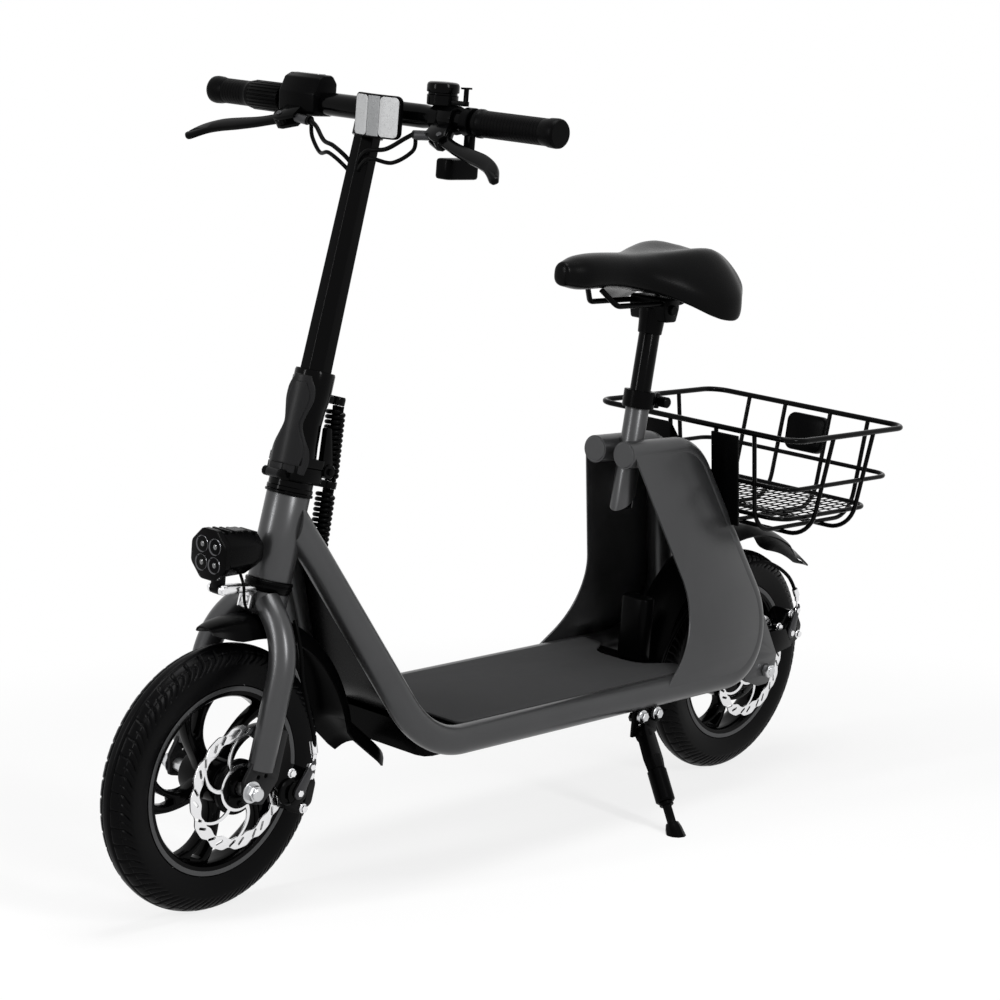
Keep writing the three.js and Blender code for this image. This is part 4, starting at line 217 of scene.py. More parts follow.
@dataclass(frozen=True)
class Layout:
    """The sizes that place the machine's frames, and the lean onto its stand."""

    wheelbase: float = 939
    wheel_radius: float = 152.4
    head_angle: float = radians(12.29)
    setback: float = 21.8
    lean: float = radians(6.04)
    seat_x: float = -694.7
    seat_z: float = 482.2
    seat_angle: float = radians(6.53)
    bar_height: float = 754
    bar_behind: float = 7
    lever_droop: float = radians(38.5)
    lamp_pivot: Vector = at(8, 0, 368)
    front_caliper: Vector = at(21.3, 0, -4.64)
    front_caliper_angle: float = radians(181)
    rear_caliper_angle: float = radians(214)
    basket_front: float = -819
    basket_length: float = 261
    basket_top: float = 492.4
    wall_angle: float = atan(22 / 132)
    shift: Vector = at(479.2706, -93.3989, 0)

    def matrix(self, place: Place) -> Matrix:
        """The transform from a frame's millimetres to the shared frame's metres.

        Args:
            place: the frame that a form is drawn in.
        Returns:
            The transform.
        """
        if place is Place.SHARED:
            return Matrix.Identity(4)
        move, turn = Matrix.Translation, Matrix.Rotation
        upright = Matrix.Scale(MM, 4) @ move(self.shift) @ turn(-self.lean, 4, "X")
        steering = (upright @ move(at(-self.setback, 0, self.wheel_radius))
                    @ turn(-self.head_angle, 4, "Y"))
        bars = (steering @ move(at(-self.bar_behind, 0, self.bar_height))
                @ turn(self.head_angle, 4, "Y"))
        rear_x = self.basket_front - self.basket_length
        return {
            Place.UPRIGHT: upright,
            Place.STEERING: steering,
            Place.FRONT_HUB: upright @ move(at(0, 0, self.wheel_radius)),
            Place.REAR_HUB: upright @ move(at(-self.wheelbase, 0, self.wheel_radius)),
            Place.SEAT: upright @ move(at(self.seat_x, 0, self.seat_z))
            @ turn(-self.seat_angle, 4, "Y"),
            Place.BARS: bars,
            Place.CONTROLS: bars @ turn(self.lever_droop, 4, "Y"),
            Place.LAMP: upright @ move(self.lamp_pivot),
            Place.FRONT_CALIPER: steering @ move(self.front_caliper)
            @ turn(self.front_caliper_angle, 4, "Y"),
            Place.REAR_CALIPER: upright @ move(at(-self.wheelbase, 0, self.wheel_radius))
            @ turn(self.rear_caliper_angle, 4, "Y"),
            Place.WALL_REAR: upright @ move(at(rear_x, 0, self.basket_top))
            @ turn(-self.wall_angle, 4, "Y"),
        }[place]


# Forms

class Form:
    """A mesh being shaped in one of the machine's frames."""

    def __init__(self) -> None:
        """Start with nothing in it."""
        self.bm = bmesh.new()

    def tidy(self, reach: float = 0.002) -> "Form":
        """Merge doubled points and turn every face outwards.

        Args:
            reach: how near two points are when they are one.
        Returns:
            The form itself.
        """
        bmesh.ops.remove_doubles(self.bm, verts=self.bm.verts, dist=reach)
        bmesh.ops.recalc_face_normals(self.bm, faces=self.bm.faces)
        return self

    @staticmethod
    def turned(profile: Sequence[tuple[float, float]], steps: int = 64, axis: str = "Y",
               angle: float = TAU) -> "Form":
        """Spin a profile of radius and height pairs.

        Args:
            profile: the pairs, from one end to the other.
            steps: the steps of the turn.
            axis: the axis it turns about, Y or Z.
            angle: how far it turns.
        Returns:
            The turned form.
        """
        form = Form()
        verts = [form.bm.verts.new((radius, height, 0)) for radius, height in profile]
        edges = [form.bm.edges.new(pair) for pair in zip(verts, verts[1:])]
        bmesh.ops.spin(form.bm, geom=verts + edges, cent=(0, 0, 0), axis=(0, 1, 0), dvec=(0, 0, 0),
                       angle=angle, steps=steps, use_merge=angle == TAU, use_duplicate=False)
        form.tidy()
        return form.turn(QUARTER, "X") if axis == "Z" else form

    @staticmethod
    def _of_curve(rings: Iterable[Sequence[Vector]], closed: bool, widths: Sequence[float] = (),
                  **settings: Any) -> "Form":
        """Take the surface that a curve makes.

        Args:
            rings: the points of each of its lines.
            closed: whether the lines run back to their start.
            widths: the share of the bevel at each point, where it changes.
            settings: the curve's own settings.
        Returns:
            The surface.
        """
        curve = bpy.data.curves.new("route", "CURVE")
        for name, value in settings.items():
            setattr(curve, name, value)
        for ring in rings:
            spline = curve.splines.new("POLY")
            spline.points.add(len(ring) - 1)
            for i, p in enumerate(ring):
                spline.points[i].co = (*p, 1)
                spline.points[i].radius = widths[i] if widths else 1
            spline.use_cyclic_u = closed
        carrier = bpy.data.objects.new("route", curve)
        bpy.context.scene.collection.objects.link(carrier)
        mesh = bpy.data.meshes.new_from_object(carrier)
        form = Form()
        form.bm.from_mesh(mesh)
        bpy.data.objects.remove(carrier)
        bpy.data.curves.remove(curve)
        bpy.data.meshes.remove(mesh)
        return form.tidy()

    @staticmethod
    def tube(points: Sequence[Vector], radius: float, sides: int = 16, closed: bool = False,
             widths: Sequence[float] = ()) -> "Form":
        """Sweep a circle along a route.

        Args:
            points: the route.
            radius: the tube's radius.
            sides: the facets round it.
            closed: whether the route runs back to its start.
            widths: the share of the radius at each point, where it changes.
        Returns:
            The tube, capped where it is open.
        """
        return Form._of_curve([points], closed, widths, dimensions="3D", bevel_depth=radius,
                              bevel_resolution=max(0, sides // 2 - 2), use_fill_caps=not closed)

    @staticmethod
    def bar(start: Sequence[float], end: Sequence[float], radius: float, sides: int = 16,
            bevel: float = 0.0) -> "Form":
        """A straight round bar between two points, with softened ends.

        Args:
            start: the middle of one end.
            end: the middle of the other.
            radius: its radius.
            sides: the facets round it.
            bevel: the width of the softened edge at each end.
        Returns:
            The bar.
        """
        start, end = at(*start), at(*end)
        length = (end - start).length
        ends = [(0, 0), (radius - bevel, 0), (radius, bevel)] if bevel else [(0, 0), (radius, 0)]
        profile = ends + [(r, length - h) for r, h in reversed(ends)]
        form = Form.turned(profile, sides, "Z")
        return form.change(Matrix.Translation(start)
                           @ (end - start).to_track_quat("Z", "Y").to_matrix().to_4x4())

    @staticmethod
    def plate(outer: Sequence[Vector], thickness: float, bevel: float = 0.3,
              holes: Iterable[Sequence[Vector]] = ()) -> "Form":
        """Cut a plate to an outline in the XY plane, centred on that plane, with soft edges.

        Args:
            outer: its outline.
            thickness: its thickness.
            bevel: the width of its softened edges.
            holes: the outlines of its holes.
        Returns:
            The plate.
        """
        rings = [[at(p.x, p.y) for p in ring] for ring in (outer, *holes)]
        return Form._of_curve(rings, True, dimensions="2D", fill_mode="BOTH", bevel_depth=bevel,
                              extrude=thickness / 2 - bevel, bevel_resolution=1, offset=-bevel)

    @staticmethod
    def block(low: Sequence[float], high: Sequence[float], bevel: float) -> "Form":
        """A box between two corners with softened edges.

        Args:
            low: the lowest corner.
            high: the highest corner.
            bevel: the width of its softened edges.
        Returns:
            The box.
        """
        form, low, high = Form(), at(*low), at(*high)
        size, middle = high - low, (high + low) / 2
        bmesh.ops.create_cube(form.bm, size=1, matrix=Matrix.Translation(middle)
                              @ Matrix.Diagonal((*size, 1)))
        return form.soften(bevel)

    @staticmethod
    def lofted(rings: Sequence[Sequence[Vector]]) -> "Form":
        """Bridge closed rings of points in order and cap both ends.

        Args:
            rings: the rings, each with as many points as the next.
        Returns:
            The skin.
        """
        form = Form()
        loops = []
        for ring in rings:
            made = bmesh.ops.create_circle(form.bm, segments=len(ring), radius=1, cap_ends=False)["verts"]
            for vert, p in zip(made, ring):
                vert.co = p
            loops.append([e for e in form.bm.edges if e.verts[0] in set(made) and e.verts[1] in set(made)])
        for first, second in zip(loops, loops[1:]):
            bmesh.ops.bridge_loops(form.bm, edges=first + second)
        bmesh.ops.holes_fill(form.bm, edges=loops[0] + loops[-1], sides=0)
        return form.tidy()

    @staticmethod
    def sheet(rows: Iterable[Sequence[Vector]], wall: float) -> "Form":
        """Bridge open rows of points in order and give the skin a wall.

        Args:
            rows: the rows, each with as many points as the next.
            wall: the wall's thickness.
        Returns:
            The sheet.
        """
        form, lines = Form(), []
        for row in rows:
            points = [form.bm.verts.new(p) for p in row]
            lines.append([form.bm.edges.new(pair) for pair in zip(points, points[1:])])
        for first, second in zip(lines, lines[1:]):
            bmesh.ops.bridge_loops(form.bm, edges=first + second)
        bmesh.ops.recalc_face_normals(form.bm, faces=form.bm.faces)
        bmesh.ops.solidify(form.bm, geom=form.bm.faces[:], thickness=wall)
        return form.tidy()

    @staticmethod
    def of_node(node: bpy.types.Object, soften: float) -> "Form":
        """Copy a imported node, merge its loose triangles and soften its edges.

        Args:
            node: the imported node.
            soften: the width of the softened edges, in millimetres.
        Returns:
            The copy, in metres of the shared frame.
        """
        form = Form()
        form.bm.from_mesh(node.data)
        bmesh.ops.remove_doubles(form.bm, verts=form.bm.verts, dist=2e-6)
        bmesh.ops.dissolve_limit(form.bm, angle_limit=radians(0.5), verts=form.bm.verts,
                                 edges=form.bm.edges, delimit=set())
        return form.soften(soften * MM, angle=24)

    def soften(self, width: float, segments: int = 2, angle: float = 30) -> "Form":
        """Bevel the edges that are sharper than an angle.

        Args:
            width: the width of the bevel.
            segments: the steps across it.
            angle: the least angle between two faces, in degrees.
        Returns:
            The form itself.
        """
        limit = radians(angle)
        sharp = [e for e in self.bm.edges if e.is_manifold and e.calc_face_angle(0) > limit]
        bmesh.ops.bevel(self.bm, geom=sharp, offset=width, offset_type="OFFSET", affect="EDGES",
                        segments=segments, profile=0.5, clamp_overlap=True, material=-1)
        return self

    def change(self, matrix: Matrix) -> "Form":
        """Apply a transform, keeping the faces outwards.

        Args:
            matrix: the transform.
        Returns:
            The form itself.
        """
        bmesh.ops.transform(self.bm, matrix=matrix, verts=self.bm.verts)
        if matrix.determinant() < 0:
            bmesh.ops.reverse_faces(self.bm, faces=self.bm.faces)
        return self

    def move(self, x: float = 0, y: float = 0, z: float = 0) -> "Form":
        """Shift the form."""
        return self.change(Matrix.Translation((x, y, z)))

    def turn(self, angle: float, axis: str) -> "Form":
        """Turn the form about an axis through the origin."""
        return self.change(Matrix.Rotation(angle, 4, axis))

    def on_edge(self, y: float = 0) -> "Form":
        """Stand a form drawn in XY on edge, so that its Y becomes Z, at a place on Y."""
        return self.turn(QUARTER, "X").move(y=y)

    def mirrored(self) -> "Form":
        """Reflect the form to the other side of the machine."""
        return self.change(Matrix.Diagonal((1, -1, 1, 1)))

    def on_side(self, side: int) -> "Form":
        """Keep the form on the left for 1, or reflect it to the right for -1."""
        return self if side > 0 else self.mirrored()

    def cut(self, place: Vector, normal: Vector) -> "Form":
        """Cut off what lies past a plane and close the cut.

        Args:
            place: a point of the plane.
            normal: the side that is cut off.
        Returns:
            The form itself.
        """
        geometry = self.bm.verts[:] + self.bm.edges[:] + self.bm.faces[:]
        cut = bmesh.ops.bisect_plane(self.bm, geom=geometry, plane_co=place, plane_no=normal,
                                     clear_outer=True)
        edges = [e for e in cut["geom_cut"] if isinstance(e, bmesh.types.BMEdge)]
        bmesh.ops.holes_fill(self.bm, edges=edges, sides=0)
        return self

    def sliced(self, places: Iterable[float], axis: int = 0) -> "Form":
        """Add edges where planes across an axis meet the form.

        Args:
            places: where the planes stand on the axis.
            axis: 0 for X, 1 for Y.
        Returns:
            The form itself.
        """
        normal = at(1 - axis, axis)
        for place in places:
            geometry = self.bm.verts[:] + self.bm.edges[:] + self.bm.faces[:]
            bmesh.ops.bisect_plane(self.bm, geom=geometry, plane_co=normal * place, plane_no=normal)
        return self

    def push(self, way: Callable[[Vector], Vector]) -> "Form":
        """Move each point by what a rule says for it.

        Args:
            way: the rule, from a point to its movement.
        Returns:
            The form itself.
        """
        for vert in self.bm.verts:
            vert.co = vert.co + way(vert.co)
        return self

    def repeated(self, count: int) -> "Form":
        """Repeat a sector about Y until it closes a full turn.

        Args:
            count: how many sectors make the turn.
        Returns:
            The form itself.
        """
        geometry = self.bm.verts[:] + self.bm.edges[:] + self.bm.faces[:]
        bmesh.ops.spin(self.bm, geom=geometry, cent=(0, 0, 0), axis=(0, 1, 0), dvec=(0, 0, 0),
                       angle=TAU * (count - 1) / count, steps=count - 1, use_duplicate=True)
        return self.tidy(0.01)

    def copy(self) -> "Form":
        """Another form with the same mesh.

        Returns:
            The copy.
        """
        twin = Form()
        twin.bm = self.bm.copy()
        return twin

    def join(self, *others: "Form") -> "Form":
        """Add other forms to this one.

        Args:
            others: what is added; each is used up.
        Returns:
            The form itself.
        """
        for other in others:
            mesh = other.mesh("joined")
            self.bm.from_mesh(mesh)
            bpy.data.meshes.remove(mesh)
        return self

    def mesh(self, name: str) -> bpy.types.Mesh:
        """Make the form a mesh, and use the form up.

        Args:
            name: the mesh's name.
        Returns:
            The mesh.
        """
        mesh = bpy.data.meshes.new(name)
        self.bm.to_mesh(mesh)
        self.bm.free()
        return mesh


# Shaders

class Signal:
    """A shader socket that takes part in sums."""

    def __init__(self, tree: "Tree", socket: bpy.types.NodeSocket) -> None:
        """Hold a socket of a tree."""
        self.tree, self.socket = tree, socket

    def _sum(self, operation: str, a: Any, b: Any) -> "Signal":
        """Add one Math node."""
        return self.tree.node("ShaderNodeMath", {"operation": operation}, {0: a, 1: b})

    def __add__(self, other: Any) -> "Signal":
        """This plus another."""
        return self._sum("ADD", self, other)

    def __mul__(self, other: Any) -> "Signal":
        """This times another."""
        return self._sum("MULTIPLY", self, other)

    def __rsub__(self, other: Any) -> "Signal":
        """Another less this."""
        return self._sum("SUBTRACT", other, self)

    def above(self, limit: float) -> "Signal":
        """1 where this is greater than a limit."""
        return self._sum("GREATER_THAN", self, limit)

    def between(self, low: float, high: float) -> "Signal":
        """Rise smoothly from 0 at low to 1 at high."""
        return self.tree.node("ShaderNodeMapRange", {"interpolation_type": "SMOOTHSTEP"},
                              {0: self, 1: low, 2: high})


class Tree:
    """The nodes of a material or a world, from the first texture to the surface."""

    def __init__(self, owner: bpy.types.Material | bpy.types.World) -> None:
        """Empty a material or a world and start its tree.

        Args:
            owner: what the nodes belong to.
        """
        owner.use_nodes = True
        self.tree = owner.node_tree
        self.tree.nodes.clear()
        kind = "World" if isinstance(owner, bpy.types.World) else "Material"
        self.output = self.tree.nodes.new(f"ShaderNodeOutput{kind}")

    def node(self, kind: str, settings: dict[str, Any], sockets: dict[Any, Any],
             out: int | str = 0) -> Signal:
        """Add a node.

        Args:
            kind: its type.
            settings: its own settings, set first.
            sockets: the values or signals of its inputs, by name or number.
            out: the output that is handed back.
        Returns:
            That output.
        """
        made = self.tree.nodes.new(kind)
        for name, value in settings.items():
            setattr(made, name, value)
        for name, value in sockets.items():
            if isinstance(value, Signal):
                self.tree.links.new(value.socket, made.inputs[name])
            else:
                made.inputs[name].default_value = value
        return Signal(self, made.outputs[out])

    def place(self, scale: Sequence[float] = (1, 1, 1)) -> Signal:
        """Object coordinates, scaled for a pattern."""
        source = self.node("ShaderNodeTexCoord", {}, {}, "Object")
        return self.node("ShaderNodeMapping", {}, {"Vector": source, "Scale": scale})

    def noise(self, where: Signal, scale: float, detail: float = 3, rough: float = 0.5) -> Signal:
        """A cloudy number between 0 and 1."""
        return self.node("ShaderNodeTexNoise", {}, {"Vector": where, "Scale": scale, "Detail": detail,
                                                    "Roughness": rough})

    def cells(self, where: Signal, scale: float, edges: bool = False) -> Signal:
        """The distance to the nearest cell's middle, or to its edge.

        Args:
            where: the place in the pattern.
            scale: the cells' number in a metre.
            edges: whether it is the distance to the edge.
        Returns:
            The distance.
        """
        feature = "DISTANCE_TO_EDGE" if edges else "F1"
        return self.node("ShaderNodeTexVoronoi", {"feature": feature}, {"Vector": where, "Scale": scale},
                         "Distance")

    def blend(self, share: Any, first: Sequence[float], second: Sequence[float]) -> Signal:
        """A colour between two colours."""
        return self.node("ShaderNodeMix", {"data_type": "RGBA"}, {0: share, 6: first, 7: second}, 2)

    def surface(self, shader: Signal) -> None:
        """Link the finished shader to the material's surface."""
        self.tree.links.new(shader.socket, self.output.inputs["Surface"])


class Texture(Enum):
    """The fine relief of a finish: its noise's scale, detail and roughness, and its depth in metres."""

    PAINT = (620, 2, 0.5, 0.00008)
    MOULDED = (1300, 3, 0.55, 0.0001)
    RUBBER = (420, 4, 0.6, 0.0002)
    BRUSHED = (1, 3, 0.6, 0.00004)
    LEATHER = (240, 3, 0.5, 0.0003)
    MAT = (1500, 2, 0.7, 0.0005)
    CAST = (900, 3, 0.6, 0.0002)
    KNURLED = (420, 3, 0.5, 0.0005)


@dataclass(frozen=True)
class Finish:
    """A surface: its colour, gloss and fine relief."""

    name: str
    color: tuple[float, float, float]
    roughness: float
    texture: Texture = Texture.PAINT
    metallic: float = 0.0
    specular: float = 0.5
    coat: float = 0.0
    relief: float = 0.15
    spread: float = 0.12
    slot: Optional[str] = None

    def _relief(self, tree: Tree) -> tuple[Signal, float]:
        """The texture's relief.

        Args:
            tree: the material's nodes.
        Returns:
            The signal of its height, and the real height in metres.
        """
        *noise, depth = self.texture.value
        where = tree.place((120, 120, 2600) if self.texture is Texture.BRUSHED else (1, 1, 1))
        if self.texture is Texture.KNURLED:
            return 1 - tree.cells(where, noise[0]).between(0.1, 0.5), depth
        relief = tree.noise(where, *noise)
        if self.texture is Texture.LEATHER:
            relief = tree.cells(where, 700, True).between(0, 0.28) + relief * 0.4
        if self.texture is Texture.MAT:
            relief = relief + tree.noise(where, 260, 2) * 0.5
        return relief, depth

    def material(self) -> bpy.types.Material:
        """Build the finish once and hand back the same material after that.

        Returns:
            The material.
        """
        known = bpy.data.materials.get(self.name)
        if known:
            return known
        made = bpy.data.materials.new(self.name)
        tree = Tree(made)
        height, depth = self._relief(tree)
        bump = tree.node("ShaderNodeBump", {}, {"Strength": self.relief, "Distance": depth,
                                                "Height": height}, "Normal")
        cloud = tree.noise(tree.place(), 9, 4, 0.6)
        dark = tuple(c * (1 - self.spread) for c in self.color) + (1,)
        light = tuple(min(1, c * (1 + self.spread)) for c in self.color) + (1,)
        smear = tree.noise(tree.place(), 38, 3, 0.6) * (self.spread * 0.6)
        made.diffuse_color = (*self.color, 1)
        sockets = {
            "Base Color": tree.blend(cloud, dark, light),
            "Roughness": smear + (self.roughness - self.spread * 0.3),
            "Metallic": self.metallic,
            "Specular IOR Level": self.specular,
            "Coat Weight": self.coat,
            "Coat Roughness": 0.12,
            "Normal": bump,
        }
        tree.surface(tree.node("ShaderNodeBsdfPrincipled", {}, sockets))
        return made


PAINT = Finish("satin_charcoal_paint", (0.066, 0.0665, 0.068), 0.31, metallic=0.72, specular=0.1,
               slot="frame_paint")
GLOSS = Finish("gloss_black_paint", (0.001, 0.001, 0.0011), 0.15, specular=0.05, slot="black_paint")
SATIN = Finish("satin_black_paint", (0.001, 0.001, 0.0011), 0.27, Texture.CAST, specular=0.035,
               slot="black_paint")
PLASTIC = Finish("moulded_black_plastic", (0.001, 0.001, 0.0011), 0.3, Texture.MOULDED,
                 specular=0.025, slot="black_plastic")
SOFT_BLACK = Finish("grip_rubber", (0.0012, 0.0012, 0.0013), 0.36, Texture.RUBBER, specular=0.03,
                    relief=0.3, slot="black_rubber")
TYRE = Finish("road_tyre_compound", (0.001, 0.001, 0.0012), 0.32, Texture.RUBBER, specular=0.05,
              relief=0.15, slot="tyre_rubber")
MAT = Finish("deck_mat_rubber", (0.042, 0.0422, 0.043), 0.85, Texture.MAT, specular=0.04,
             relief=0.5, slot="mat_rubber")
LEATHER = Finish("grained_saddle_cover", (0.0012, 0.0012, 0.0013), 0.27, Texture.LEATHER, specular=0.055,
                 relief=0.06, slot="saddle_cover")
STEEL = Finish("brushed_disc_steel", (0.78, 0.78, 0.79), 0.24, Texture.BRUSHED, metallic=1.0,
               relief=0.3, spread=0.06, slot="bright_steel")
ZINC = Finish("zinc_plate", (0.55, 0.555, 0.565), 0.32, Texture.CAST, metallic=1.0, relief=0.1,
              spread=0.1, slot="bright_steel")
DARK_STEEL = Finish("blackened_steel", (0.035, 0.035, 0.037), 0.38, Texture.CAST, metallic=0.8,
                    slot="black_paint")
LENS = Finish("clear_prism_lens", (0.5, 0.505, 0.51), 0.4, Texture.KNURLED, specular=0.3,
              relief=0.6, slot="lens_plastic")
LENS_DARK = Finish("inner_prism_lens", (0.27, 0.275, 0.28), 0.3, Texture.KNURLED, specular=0.4,
                   relief=0.9, slot="lens_plastic")
LAMP_GLASS = Finish("lamp_glass", (0.03, 0.032, 0.034), 0.06, Texture.MOULDED, specular=0.8,
                    coat=1.0, relief=0.02, slot="lens_plastic")
MIRROR = Finish("lamp_reflector", (0.09, 0.09, 0.095), 0.2, Texture.BRUSHED, metallic=1.0,
                slot="bright_steel")
LEVER = Finish("charcoal_lever_paint", (0.011, 0.011, 0.0115), 0.34, specular=0.08, slot="black_paint")
TAIL_LENS = Finish("dark_tail_lens", (0.02, 0.012, 0.012), 0.3, Texture.KNURLED, coat=0.3,
                   relief=0.5, slot="black_plastic")


# Fitting

@dataclass
class Workshop:
    """What every assembly shares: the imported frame, the layout and the count of pieces."""

    frame: dict[str, Any]
    layout: Layout = Layout()
    count: int = 0


@dataclass
class Assembly:
    """A sub-assembly of the machine, which fits its own pieces."""

    shop: Workshop

    @property
    def layout(self) -> Layout:
        """The machine's layout."""
        return self.shop.layout

    def build(self) -> None:
        """Make every piece."""
        raise NotImplementedError

    def fit(self, name: str, form: Form, spot: Spot, finish: Finish,
            replaces: str = "", angle: float = 34, rounds: int = 0,
            blend: Optional[tuple[str, Vector, Vector]] = None) -> bpy.types.Object:
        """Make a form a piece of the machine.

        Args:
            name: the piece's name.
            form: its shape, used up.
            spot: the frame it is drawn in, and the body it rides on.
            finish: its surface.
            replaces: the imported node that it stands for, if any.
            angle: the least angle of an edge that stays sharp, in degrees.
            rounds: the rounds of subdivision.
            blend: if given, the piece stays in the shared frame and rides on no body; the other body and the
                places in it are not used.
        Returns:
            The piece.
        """
        place, body = spot
        mesh = form.change(self.layout.matrix(place)).mesh(name)
        mesh.shade_smooth()
        mesh.set_sharp_from_angle(angle=radians(angle))
        mesh.materials.append(finish.material())
        piece = bpy.data.objects.new(name, mesh)
        bpy.context.scene.collection.objects.link(piece)
        if rounds:
            layer = piece.modifiers.new("rounding", "SUBSURF")
            layer.levels = layer.render_levels = rounds
        if blend:
            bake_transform(piece)
        else:
            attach(piece, body)
        if replaces:
            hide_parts(replaces)
        self.shop.count += 1
        log.info("%s: %d faces on %s", name, len(mesh.polygons), body)
        return piece

    def refine(self, node: str, body: str, finish: Finish, soften: float) -> bpy.types.Object:
        """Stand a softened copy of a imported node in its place.

        Args:
            node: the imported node.
            body: the body it rides on.
            finish: its surface.
            soften: the width of its softened edges.
        Returns:
            The piece.
        """
        form = Form.of_node(self.shop.frame["nodes"][node], soften)
        return self.fit(f"{node}_body", form, (Place.SHARED, body), finish, node)

    def dress(self, node: str, finish: Finish) -> None:
        """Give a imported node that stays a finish.

        Args:
            node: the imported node.
            finish: its surface.
        """
        mesh = self.shop.frame["nodes"][node].data
        mesh.materials.clear()
        mesh.materials.append(finish.material())
        log.info("%s keeps its own form", node)


# Wheels

